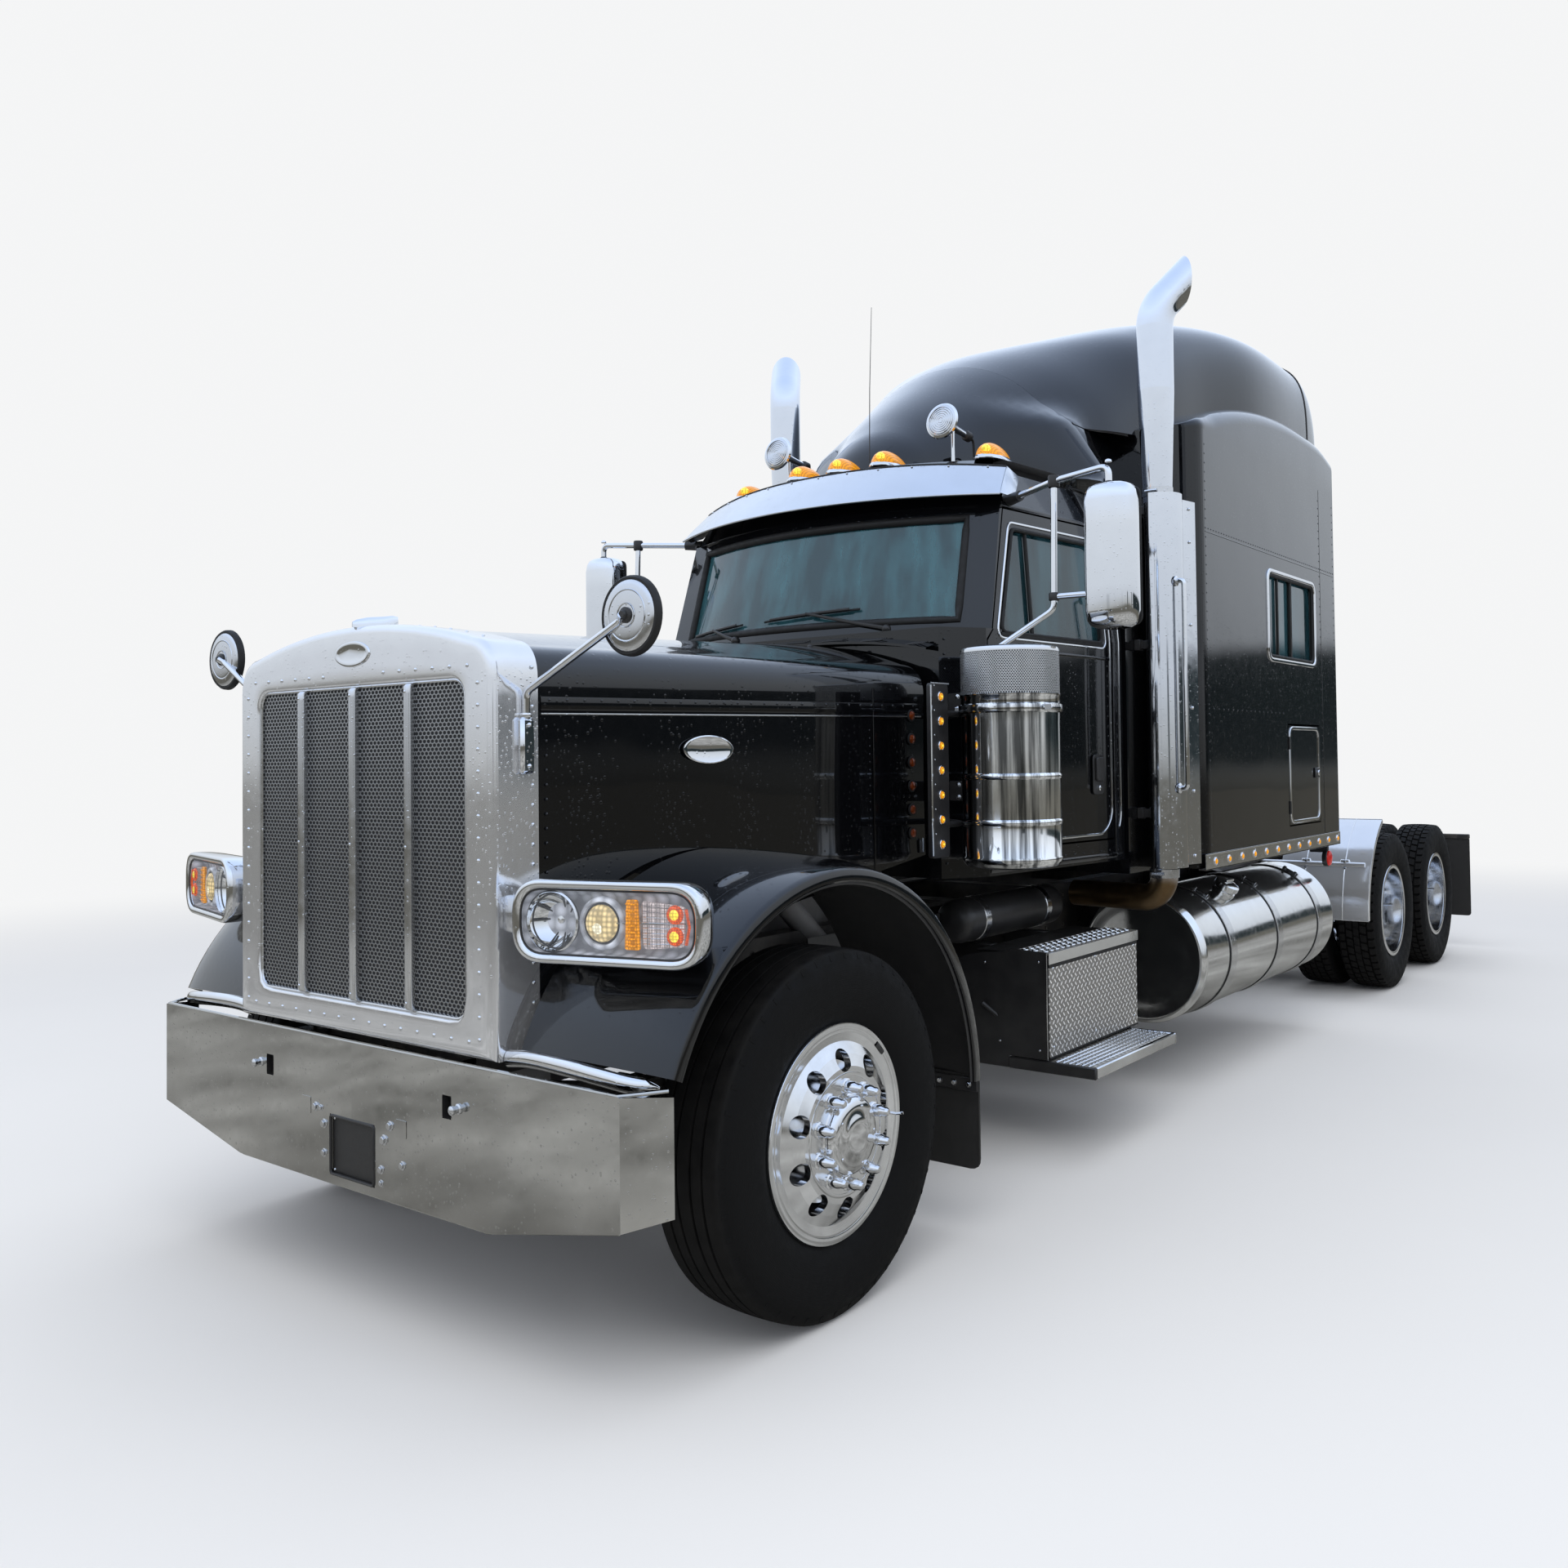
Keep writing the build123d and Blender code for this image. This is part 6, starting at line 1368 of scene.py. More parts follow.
# ------------------------------------------------------------------ air cleaners
for side, nm in SIDES:
    k = Kit(side, (1130, 2080, 1650))
    c = V(1130, 2080, 0)
    R = 190.5
    PUN = punched(f"punched_screen_{nm}", pitch=0.0098, hole=0.30, stretch=1.0, metal=(0.72, 0.73, 0.74), upright=True) if side > 0 else PUN
    k.lathe([(0.05, 2093), (120, 2093), (176, 2091), (187, 2086), (R, 2078), (R, 2070)], c, (0, 0, 1), CHROME, 64)
    k.lathe([(R - 2, 2072), (R - 2, 1908)], c, (0, 0, 1), PUN, 64)
    prof = [(R - 2, 1912), (R + 2, 1910), (R + 2, 1902), (R - 1, 1898), (R - 1, 1874), (R + 7, 1870), (R + 9, 1862), (R + 9, 1850), (R + 7, 1842), (R - 1, 1838), (R - 2, 1800), (R - 2, 1612),
            (R + 2, 1608), (R + 3, 1600), (R + 2, 1592), (R - 2, 1588), (R - 2, 1440), (R + 2, 1436), (R + 3, 1428), (R + 2, 1420), (R - 2, 1416), (R - 2, 1300), (R + 1, 1296), (R + 1, 1284),
            (R - 3, 1276), (R - 14, 1262), (150, 1256), (100, 1250), (60, 1246), (0.05, 1245)]
    k.lathe(prof, c, (0, 0, 1), CANISTER, 64)
    # clamp bolts on the upper band, and the latch bar
    for a in (200, 340):
        d = Vector((cos(radians(a)), sin(radians(a)), 0))
        p = c + Vector((0, 0, 1.856)) + d * 0.206
        t = Vector((-d.y, d.x, 0))
        k.tube([p - t * 0.022, p + t * 0.022], 6, STAINLESS, 8)
        k.chunk([p + t * a2 + d * b2 + Vector((0, 0, c2)) for c2 in (-0.011, 0.011) for a2, b2 in ((-0.016, -0.010), (0.016, -0.010), (0.016, 0.008), (-0.016, 0.008))], STAINLESS, 2)
    # bracket arms to the cowl corner, with their bolts
    for z in (1540, 1890):
        k.box(824, 962, 2118, 2150, z - 40, z + 40, BLACKBOX, 4)
        for s2 in (-24, 24):
            k.hexa(V(870, 2118, z + s2), (0, -1, 0), 8, 6, STAINLESS)
    k.done(f"air_cleaner_{nm}", "chassis", ["air_cleaners"] if side > 0 else [], angle=40)

# upright lamp panel between the hood and each air cleaner
k = Kit()
k.prism([V(952, s, z) for s, z in rounded([(1764, 1300), (1884, 1300), (1884, 1952), (1764, 1952)], 16, 4)], Vector((0.022, 0, 0)), BLACKBOX, 3)
k.strip([V(974, s, z) for s, z in ((1764, 1310), (1764, 1500), (1764, 1700), (1764, 1944))], Vector((1, 0, 0)), 8, 4, CHROME)
k.strip([V(974, 1764 + i * 30, 1951) for i in range(5)], Vector((1, 0, 0)), 8, 4, CHROME)
for i in range(7):
    z = 1350 + i * 92
    p = V(974, 1826, z)
    k.lathe([(19, -1), (19, 3), (17, 5), (14, 4)], p, (1, 0, 0), CHROME, 20)
    k.lathe([(14.5, 2), (13, 7), (9, 10), (0.05, 11)], p, (1, 0, 0), AMBER_LIT, 20)
    k.lathe([(7, 9), (5, 11), (0.05, 12)], p, (1, 0, 0), AMBER_SPOT, 12)
    k.dome(V(974, 1786, z + 40), (1, 0, 0), 3.5, 2.5, CHROME)
for z in (1420, 1840):
    k.tube(bent([V(960, 1880, z), V(955, 1990, z), V(815, 2112, z)], 60), 12, BLACKBOX, 10)
k.done("side_lamp_panel", "chassis", both=True)

# ------------------------------------------------------------------ stacks: grab bars, bolts, clamps
k = Kit()
k.tube(bent([V(1236, 3470, 1520), V(1276, 3462, 1520), V(1276, 3462, 2483), V(1236, 3470, 2483)], 34), 12, CHROME, 12)
for z in (1520, 2483):
    k.lathe([(24, -2), (24, 3), (18, 6), (13, 7)], V(1237, 3470, z), (1, 0, 0), CHROME, 20)
for z in (1190, 1500, 1900, 2300, 2700, 2860):
    k.dome(V(1204, 3725, z), (1, -0.15, 0), 8, 5, CHROME)
for z, r in ((2915, 70), (1120, 66)):
    k.lathe([(r - 3, -22), (r + 3, -20), (r + 3, 20), (r - 3, 22)], V(1133, 3519, z), (0, 0, 1), STAINLESS, 40)
    k.tube([V(1133 - 30, 3519 - r - 8, z), V(1133 + 30, 3519 - r - 8, z)], 7, STAINLESS, 8)
# brackets from the guard to the sleeper's neck
for z in (1400, 2200, 2840):
    k.box(1008, 1040, 3500, 3540, z - 26, z + 26, BLACKBOX, 4)
    k.box(1030, 1075, 3505, 3535, z - 20, z + 20, BLACKBOX, 3)
k.done("stack_fittings", "chassis", both=True)

# ================================================================== sleeper
def curve_at(table, s):
    """Smooth values through a table whose first column is the station."""
    rows = table
    if s <= rows[0][0]:
        return rows[0][1:]
    if s >= rows[-1][0]:
        return rows[-1][1:]
    for i in range(len(rows) - 1):
        if rows[i][0] <= s <= rows[i + 1][0]:
            break
    p1, p2 = rows[i], rows[i + 1]
    p0 = rows[i - 1] if i > 0 else None
    p3 = rows[i + 2] if i + 2 < len(rows) else None
    h = p2[0] - p1[0]
    t = (s - p1[0]) / h
    out = []
    for j in range(1, len(p1)):
        d = (p2[j] - p1[j]) / h
        m1 = d if p0 is None else ((p1[j] - p0[j]) / (p1[0] - p0[0]) + d) / 2
        m2 = d if p3 is None else ((p3[j] - p2[j]) / (p3[0] - p2[0]) + d) / 2
        out.append((2 * t ** 3 - 3 * t ** 2 + 1) * p1[j] + (t ** 3 - 2 * t ** 2 + t) * h * m1 + (-2 * t ** 3 + 3 * t ** 2) * p2[j] + (t ** 3 - t ** 2) * h * m2)
    return out


# station, half width where it meets the cab roof
NOSE_W = [(2650, 60), (2672, 150), (2737, 255), (2860, 350), (3000, 452), (3250, 622), (3400, 725), (3640, 900), (4000, 1015)]
NECK_X, NECK_LEAN = 760.0, (1010.0 - 760.0) / (3283.0 - 2880.0)


def flare(x, s, z):
    """How far the side swings out to meet the leaning sides of the neck."""
    if s > 3400:
        e = 1.0 if s < 3640 else max(0.0, 1 - (s - 3640) / 160.0)
    else:
        e = min(1.0, max(0.0, (s - 3060) / 336.0))
        e = e * e * (3 - 2 * e)
    if z >= 3440 or e <= 0:
        return x
    ax = abs(x)
    if z >= 3283:
        to = ax + max(0.0, NECK_X + 3 - ax) * ((3440 - z) / 157.0) ** 1.6
    else:
        to = max(ax, NECK_X + 3 + (3283 - z) * NECK_LEAN)
    return math.copysign(ax + (to - ax) * e, x)


# station, half width over the sleeper, squareness
CAP_W = [(3400, 662, 2.0), (3640, 835, 2.3), (4000, 950, 3.4), (4450, 1020, 5.0), (5000, 1125, 6.0), (5700, 1150, 6.0), (5900, 1146, 6.0), (5990, 1138, 5.0), (6034, 1122, 4.4)]
CROWN = [(2650, 3030), (2672, 3098), (2737, 3190), (2860, 3290), (3000, 3406), (3250, 3588), (3400, 3690), (3640, 3815), (4000, 3944), (4450, 4083), (5000, 4144), (5700, 4149), (5900, 4138), (5990, 4100), (6034, 4040)]


def nose_ring(s, n=48, inset=0.0):
    (b,), (top,) = curve_at(NOSE_W, s), curve_at(CROWN, s)
    b, top = b - inset, top - inset
    pts = []
    for i in range(n + 1):
        a = pi * i / n
        z = 2989 + (top - 2989) * max(sin(a), 0.0)
        pts.append((flare(b * cos(a), s, z), z))
    # the lower edge tucks in to the rounded side of the cab roof
    e = min(1.0, max(0.0, (s - 3060) / 336.0))
    e = e * e * (3 - 2 * e)
    x0 = abs(pts[0][0])
    low = [(x0 + (x1 - x0) * e, 2989 - dz * e) for x1, dz in ((896, 118), (934, 76), (952, 30))]
    pts = low + pts + [(-x, z) for x, z in reversed(low)]
    return [V(x, s, z) for x, z in pts]


def cap_ring(s, n=48, inset=0.0):
    """Over the sleeper the round nose section turns gradually into a square-shouldered one."""
    (b, q), (top,), (wn,) = curve_at(CAP_W, s), curve_at(CROWN, s), curve_at(NOSE_W, min(s, 4000))
    t = min(1.0, max(0.0, (s - 3400) / 700.0))
    t = t * t * (3 - 2 * t)
    b, top = b - inset, top - inset
    out = []
    for i in range(n + 1):
        a = pi * i / n
        c, d = cos(a), max(sin(a), 0.0)
        z = 3283 + (top - 3283) * d ** (2 / q)
        xc = math.copysign(abs(c) ** (2 / q), c) * b
        xn = math.copysign((wn - inset) * sqrt(max(0.0, 1 - ((z - 2989) / (top - 2989)) ** 2)), c)
        out.append(V(flare(xn + (xc - xn) * t, s, z), s, z))
    return out


k = Kit()
ss = [2650, 2656, 2664, 2672, 2685, 2700, 2720, 2745, 2775] + [2810 + i * 49.2 for i in range(13)]
rings = [nose_ring(s) for s in ss]
k.skin(rings, PAINT, closed=False, caps=(1, 0))
k.tube([r[0] for r in rings], 7, SEAL, 8)
k.tube([r[-1] for r in rings], 7, SEAL, 8)
k.tube([V(60 - 10 * i, 2648, 2990) for i in range(13)], 6, SEAL, 8)
k.done("roof_fairing_skin", "chassis", ["roof_fairing"], angle=60)

k = Kit()
ss = [3401 + i * 55 for i in range(45)] + [5880, 5920, 5950, 5975, 6000, 6020, 6034]
ss = sorted(x for x in ss if x <= 6034)
rings = [cap_ring(s) for s in ss]
k.skin(rings, PAINT, closed=False)
k.skin([cap_ring(s, inset=38) for s in ss], HEADLINER, closed=False, flip=True)
back = cap_ring(6034)
mid = [V(p.x * 1000 * 0.6, 6042, 3283 + (p.z * 1000 - 3283) * 0.6) for p in back]
k.skin([back, [V(p.x * 1000 * 0.97, 6041, 3283 + (p.z * 1000 - 3283) * 0.97) for p in back], mid, [V(p.x * 1000 * 0.02, 6043, 3284) for p in back]], PAINT, closed=False)
# upright seam near the rear
k.tube(cap_ring(5790, inset=-0.5), 4.5, BLACKBOX, 6)

SHOULDER = [(3800, 3304), (3870, 3338), (4086, 3416), (4555, 3532), (5078, 3594), (5600, 3598), (5850, 3582), (6045, 3536)]


def shoulder_ring(s, n=8, inset=0.0):
    zt, = curve_at(SHOULDER, s)
    zt -= inset
    h = 1219.0 - inset
    r = min(95.0, max(8.0, (zt - 3283) * 0.8))
    e = 0.0
    # the front corner turns in on the same radius as the walls below
    if s < 3890:
        e = 90 - sqrt(90.0 ** 2 - (3890.0 - s) ** 2)
    pts = [(h - e, 3283)]
    for i in range(n + 1):
        a = pi / 2 * i / n
        pts.append((h - e - r + r * cos(a), zt - r + r * sin(a)))
    pts.append((h - 260, zt + 4))
    pts.append((600, zt + 10))
    full = pts + [(-x, z) for x, z in reversed(pts)]
    return [V(x, s, z) for x, z in full]


ss = [3800, 3801.5, 3805, 3811, 3820, 3832, 3848, 3868, 3890] + [3915 + i * 61 for i in range(36)]
ss = [x for x in ss if x < 6040] + [6045]
rings = [shoulder_ring(s) for s in ss]
k.skin(rings, PAINT, closed=False)
k.skin([shoulder_ring(6045), [V(0, 6045, 3283) for _ in rings[0]]], PAINT, closed=False)
k.skin([[V(0, 3800, 3283) for _ in rings[0]], shoulder_ring(3800)], PAINT, closed=False)
k.prism([V(x, s, 3283) for x, s in ((-757, 3402), (757, 3402), (757, 3800), (-757, 3800))], Vector((0, 0, 0.012)), PAINT, 3)
k.done("sleeper_roof_skin", "chassis", ["sleeper_roof"], angle=50)

# seams, rivets and rain strip on the sides
k = Kit()
for i in range(60):
    s = 3896 + i * 36
    k.dome(V(1219, s, 2785 + 8), (1, 0, 0), 4.2, 2.4, PAINT)
k.strip([V(1219.2, 3892 + i * 119, 2775) for i in range(19)], Vector((1, 0, 0)), 5, 1.2, PAINT)
for i in range(44):
    z = 1230 + i * 46
    if z < 3240:
        k.dome(V(1219, 5737, z), (1, 0, 0), 4.2, 2.4, PAINT)
        k.dome(V(1219, 3898, z), (1, 0, 0), 4.2, 2.4, PAINT)
        k.dome(V(1219, 6020, z), (1, 0, 0), 4.2, 2.4, PAINT)
k.strip([V(1219.2, 5752, 1195 + i * 104) for i in range(21)], Vector((1, 0, 0)), 5, 1.2, PAINT)
for i in range(18):
    k.dome(V(1219, 3900 + i * 66, 1900), (1, 0, 0), 4.2, 2.4, PAINT)
# neck: rivets
for i in range(27):
    k.dome(V(1010, 3430, 1250 + i * 60), (1, 0, 0), 4.2, 2.4, PAINT)
# window: bright frame, rubber, post
wf = rounded([(4790, 2195), (5622, 2195), (5622, 2685), (4790, 2685)], 60, 6)
pts = [V(1219.5, s, z) for s, z in wf]
k.strip(pts + pts[:1], Vector((1, 0, 0)), 26, 9, CHROME)
wi = [V(1213, s, z) for s, z in rounded([(4812, 2217), (5600, 2217), (5600, 2663), (4812, 2663)], 46, 6)]
k.tube(wi + wi[:2], 10, SEAL, 8, caps=False)
k.box(1198, 1214, 5196, 5222, 2208, 2672, SEAL, 3)
k.box(1198, 1212, 4980, 4996, 2208, 2672, SEAL, 3)
k.done("sleeper_side_trim", "chassis", both=True)

for side, nm in SIDES:
    k = Kit(side)
    lf = rounded([(5118, 1287), (5650, 1287), (5650, 1820), (5118, 1820)], 56, 6)
    pts = [V(1219.5, s, z) for s, z in lf]
    k.strip(pts + pts[:1], Vector((1, 0, 0)), 20, 6, CHROME)
    k.box(1219, 1229, 5560, 5636, 1530, 1590, BLACKBOX, 4)
    k.lathe([(17, 0), (17, 8), (13, 12), (0.05, 13)], V(1228, 5600, 1560), (1, 0, 0), CHROME, 20)
    for z in (1370, 1735):
        k.tube([V(1222, 5106, z - 36), V(1222, 5106, z + 36)], 6, BLACKBOX, 8)
    k.done(f"luggage_door_trim_{nm}", f"luggage_door_{nm}")

# polished skirt with its row of amber lamps, and the red lamp behind
k = Kit()
k.prism([V(1221, s, z) for s, z in ((3806, 1112), (6040, 1112), (6040, 1190), (3806, 1190))], Vector((0.005, 0, 0)), POLISHED, 1.2)
k.prism([V(1226, s, z) for s, z in ((3806, 1112), (6040, 1112), (6040, 1118), (3806, 1118))], Vector((-0.040, 0, 0)), POLISHED, 1.0)
k.strip([V(1226, 3810 + i * 123, 1188) for i in range(19)], Vector((1, 0, 0)), 7, 3, POLISHED)
for i in range(12):
    s = 3930 + i * 186
    p = V(1226, s, 1150)
    k.lathe([(20, -1), (20, 3), (17, 5), (13, 4)], p, (1, 0, 0), CHROME, 18)
    k.lathe([(14, 2), (13, 6), (8, 9), (0.05, 10)], p, (1, 0, 0), AMBER_LIT, 18)
for s in (3850, 4500, 5300, 6010):
    k.dome(V(1226, s, 1172), (1, 0, 0), 4, 2.5, CHROME)
k.box(1060, 1170, 5960, 5990, 1060, 1118, BLACKBOX, 4)
k.tube([V(1150, 5980, 1110), V(1150, 5980, 1030)], 9, BLACKBOX, 8)
k.lathe([(48, -30), (52, -22), (52, -4), (48, 0)], V(1172, 5980, 1025), (1, 0, 0), BLACKBOX, 28)
k.lathe([(48, -1), (44, 8), (26, 15), (0.05, 17)], V(1172, 5980, 1025), (1, 0, 0), RED, 28)
k.done("sleeper_skirt", "chassis", both=True)

# back wall: work lamps, coupling shelf, handholds and seams
k = Kit()
for sgn in (1, -1):
    for z in (1700, 2300, 2900):
        for i in range(18):
            if i in (0, 17) or z == 2300:
                k.dome(V(sgn * (60 + i * 64), 6045, z), (0, 1, 0), 4.2, 2.4, PAINT)
    k.box(sgn * 700, sgn * 830, 6045, 6052, 2990, 3070, BLACKBOX, 3)
    k.lathe([(50, 0), (54, 8), (54, 34), (48, 38)], V(sgn * 765, 6050, 3030), (0, 1, 0), BLACKBOX, 28)
    k.lathe([(48, 36), (40, 41), (0.05, 44)], V(sgn * 765, 6050, 3030), (0, 1, 0), FROST, 28)
    k.tube(bent([V(sgn * 1040, 6045, 1300), V(sgn * 1040, 6088, 1300), V(sgn * 1040, 6088, 1900), V(sgn * 1040, 6045, 1900)], 30), 13, CHROME, 12)
    k.strip([V(sgn * 1150, 6045.5, 1180 + i * 104) for i in range(21)], Vector((0, 1, 0)), 16, 3, PAINT)
k.strip([V(-1150 + i * 100, 6045.5, 2700) for i in range(24)], Vector((0, 1, 0)), 16, 3, PAINT)
# coupling plate with two air glands, a socket and their caps
k.prism([V(x, 6046, z) for x, z in rounded([(-210, 1290), (210, 1290), (210, 1470), (-210, 1470)], 18, 4)], Vector((0, 0.010, 0)), STAINLESS, 2)
for x, m in ((-140, RED), (0, BLACKBOX), (140, AMBER_OFF)):
    k.lathe([(44, 9), (44, 20), (36, 30), (30, 58), (34, 62), (34, 74), (26, 80), (0.05, 80)], V(x, 6046, 1390), (0, 1, 0), BLACKBOX, 28)
    k.lathe([(36, 62), (38, 68), (36, 76)], V(x, 6046, 1390), (0, 1, 0), m, 28)
for x, z in ((-190, 1310), (190, 1310), (-190, 1450), (190, 1450)):
    k.hexa(V(x, 6056, z), (0, 1, 0), 7, 6, STAINLESS)
k.done("sleeper_back_fittings", "chassis")

# ================================================================== tanks and steps
k = Kit()
TR, TX, TZ, T0, T1 = 330.0, 880.0, 667.0, 3811.0, 5936.0
c = V(TX, T0, TZ)
L = T1 - T0
prof = [(0.05, 12), (120, 10), (240, 5), (296, 0), (304, -3), (312, -1), (316, 6), (322, 16), (328, 24), (330, 34), (330.8, 38), (330, 42)]
body = prof + [(330, L * f) for f in (0.2, 0.4, 0.6, 0.8)] + [(r, L - h) for r, h in reversed(prof)]
k.lathe(body, c, (0, 1, 0), POLISHED, 72)
# three straps with rubber under them, each drawn up by a T-bolt
for s in (4195, 4915, 5635):
    for w, r, m in ((48, 333.5, SEAL), (38, 337.5, STAINLESS)):
        k.lathe([(330, -w), (r, -w + 2), (r, w - 2), (330, w)], V(TX, s, TZ), (0, 1, 0), m, 72)
    p = V(TX + 338 * cos(radians(62)), s, TZ + 338 * sin(radians(62)))
    k.tube([p + Vector((-0.04, 0, 0.022)), p + Vector((0.045, 0, -0.024))], 8, STAINLESS, 10)
    for q in (-0.03, 0.03):
        k.lathe([(14, -8), (14, 8), (0.05, 9)], p + Vector((q, 0, -q * 0.55)), (0.88, 0, -0.47), STAINLESS, 6)
    # hanger from the rail
    k.chunk([V(432, s - 45, 700), V(600, s - 45, 560), V(600, s + 45, 560), V(432, s + 45, 700), V(432, s - 45, 1000), V(640, s - 45, 935), V(640, s + 45, 935), V(432, s + 45, 1000)], BLACKBOX, 5)
# filler neck and cap, vent, drain, seam
p = V(TX + 330 * cos(radians(58)), 4480, TZ + 330 * sin(radians(58)))
d = Vector((cos(radians(58)), 0, sin(radians(58))))
k.lathe([(62, -8), (62, 12), (56, 16), (56, 24), (66, 26), (66, 50), (60, 56), (30, 60), (0.05, 60)], p, d, POLISHED, 40)
k.chunk([p + d * 0.058 + Vector((a, b, c2)) for c2 in (0, 0.016) for a, b in ((-0.012, -0.05), (0.012, -0.05), (0.012, 0.05), (-0.012, 0.05))], CHROME, 3)
k.tube([p + d * 0.03 + Vector((0, 0.07, 0)), p + Vector((0.0, 0.16, -0.004))], 2, STAINLESS, 6)
k.strip([V(TX + 330.3 * cos(radians(100)), T0 + 50 + i * 101, TZ + 330.3 * sin(radians(100))) for i in range(21)], d, 14, 1.5, POLISHED)
k.lathe([(14, 0), (14, 14), (0.05, 15)], V(TX, 5870, TZ - 330), (0, 0, -1), STAINLESS, 6)
# air tank inboard, with its clamps
k.lathe([(0.05, 0), (50, 6), (80, 20), (93, 40), (95, 60), (95, 850), (93, 870), (80, 890), (50, 904), (0.05, 910)], V(600, 2470, 965), (0, 1, 0), BLACKBOX, 32)
for s in (2640, 3200):
    k.lathe([(95, -22), (98, -20), (98, 20), (95, 22)], V(600, s, 965), (0, 1, 0), STAINLESS, 32)
k.done("fuel_tank_drums", "chassis", ["tanks"], both=True)

k = Kit()
# step box: black housing, tread plate outside, two treads
k.box(660, 994, 2600, 3490, 404, 838, BLACKBOX, 6)
k.prism([V(994, s, z) for s, z in ((2606, 410), (3484, 410), (3484, 834), (2606, 834))], Vector((0.006, 0, 0)), TREAD, 1.5)
k.prism([V(x, s, 838) for x, s in ((830, 2598), (1002, 2598), (1002, 3492), (830, 3492))], Vector((0, 0, 0.010)), TREAD, 2)
k.prism([V(x, s, 838) for x, s in ((658, 2598), (828, 2598), (828, 3492), (658, 3492))], Vector((0, 0, 0.006)), BLACKBOX, 2)
k.prism([V(1001, s, z) for s, z in ((2598, 800), (3492, 800), (3492, 848), (2598, 848))], Vector((0.004, 0, 0)), POLISHED, 1)
for i in range(17):
    for x in (868, 916, 964):
        s = 2640 + i * 50.5
        k.lathe([(15, 0), (13.5, 4), (10, 5.5), (9, 1)], V(x, s, 848), (0, 0, 1), POLISHED, 12)
# shadow gap under the top channel and above the lower step
k.box(996, 1001.5, 2604, 3486, 784, 800, SEAL, 1)
k.box(996, 1001.5, 2604, 3486, 404, 412, SEAL, 1)
# lower step: frame and raised bars
k.box(815, 1219, 2579, 2600, 352, 400, BLACKBOX, 4)
k.box(815, 1219, 3398, 3419, 352, 400, POLISHED, 4)
k.box(1196, 1219, 2590, 3410, 352, 400, POLISHED, 5)
k.box(815, 838, 2590, 3410, 352, 400, BLACKBOX, 5)
k.prism([V(x, s, 380) for x, s in ((836, 2596), (1200, 2596), (1200, 3402), (836, 3402))], Vector((0, 0, 0.012)), TREAD, 2)
for i in range(6):
    x = 1022 + i * 29
    k.box(x, x + 13, 2602, 3396, 388, 401, POLISHED, 3)
    for j in range(26):
        k.dome(V(x + 6.5, 2618 + j * 30.5, 401), (0, 0, 1), 5.5, 3, CHROME, 6)
# panel bolts
for z in (450, 780):
    for s in (2640, 3040, 3450):
        k.dome(V(1000, s, z), (1, 0, 0), 7, 4, CHROME)
# end plate toward the wheel: closes the gap to the frame and hangs down beside the lower step
k.prism([V(x, 2587, z) for x, z in ((540, 352), (813, 352), (813, 403), (1000, 403), (1000, 852), (830, 858), (790, 842), (700, 834), (600, 812), (540, 780))],
        Vector((0, 0.004, 0)), BLACKBOX, 1)
k.strip([V(1000 - 2, 2586, z) for z in (405, 520, 640, 760, 850)], (0, -1, 0), 4, 1.2, POLISHED)
for x, z in ((575, 420), (575, 740), (770, 460), (960, 440), (960, 810), (700, 790)):
    k.dome(V(x, 2587, z), (0, -1, 0), 6, 4, STAINLESS)
for s in (2740, 3240):
    k.box(432, 662, s - 30, s + 30, 762, 848, BLACKBOX, 4)
# stay from the fender side down to the step
k.tube([V(700, 2560, 620), V(760, 2598, 560)], 10, BLACKBOX, 8)
k.done("step_boxes_detail", "chassis", ["step_boxes"], both=True)

# ================================================================== bumper details
def bump_pt(x, z, out=0.0):
    ax = abs(x)
    if ax <= 1162:
        return V(x, 6.0 * ax / 1162.0 - out, z)
    t = (ax - 1162.0) / 57.0
    sg = 1 if x > 0 else -1
    return V(x + sg * out * 0.92, 6.0 + 136.0 * t - out * 0.38, z)


k = Kit()
# rolled rims along the top and bottom edges
xs = [-1150 + i * 2300 / 40 for i in range(41)]
k.tube([V(-1212, 128, 826), V(-1186, 66, 828)] + [bump_pt(x, 828, -5) for x in xs] + [V(1186, 66, 828), V(1212, 128, 826)], 6, BUMPER, 8)
k.tube([bump_pt(x, 384, -5) for x in [-636 + i * 53 for i in range(25)]], 5, BUMPER, 8)
for sg in (1, -1):
    k.tube([V(sg * (640 + i * 64), 3 + i * 0.4 + 6, 384 + i * 12.6) for i in range(9)], 5, BUMPER, 8)
# frame and back plate of the central recess
k.prism([V(x, 30, z) for x, z in rounded([(-128, 402), (128, 402), (128, 604), (-128, 604)], 6, 3)], Vector((0, 0.004, 0)), BLACKBOX, 1) 
fr = rounded([(-114, 414), (114, 414), (114, 592), (-114, 592)], 10, 4)
k.tube([V(x, 1, z) for x, z in fr] + [V(fr[0][0], 1, fr[0][1])], 5, BLACKBOX, 8, caps=False)
k.prism([V(x, 9, z) for x, z in rounded([(-116, 412), (116, 412), (116, 594), (-116, 594)], 8, 3)], Vector((0, 0.003, 0)), FLAP, 1)
for x in (-104, 104):
    for z in (424, 582):
        k.dome(V(x, 9, z), (0, -1, 0), 6, 4, STAINLESS)
for x, z, r in ((-150, 470, 8), (-150, 560, 9), (-196, 606, 9), (150, 470, 8), (150, 430, 6), (165, 560, 10), (196, 606, 9), (-168, 606, 6), (256, 500, 8)):
    k.hexa(V(x, 1, z), (0, -1, 0), r + 2, r, STAINLESS)
for x in (-250, 250):
    k.prism([V(x + dx, 1, 606 + dz) for dx, dz in rounded([(-26, -26), (26, -26), (26, 26), (-26, 26)], 3, 2)], Vector((0, -0.0012, 0)), BUMPER, 0.4)
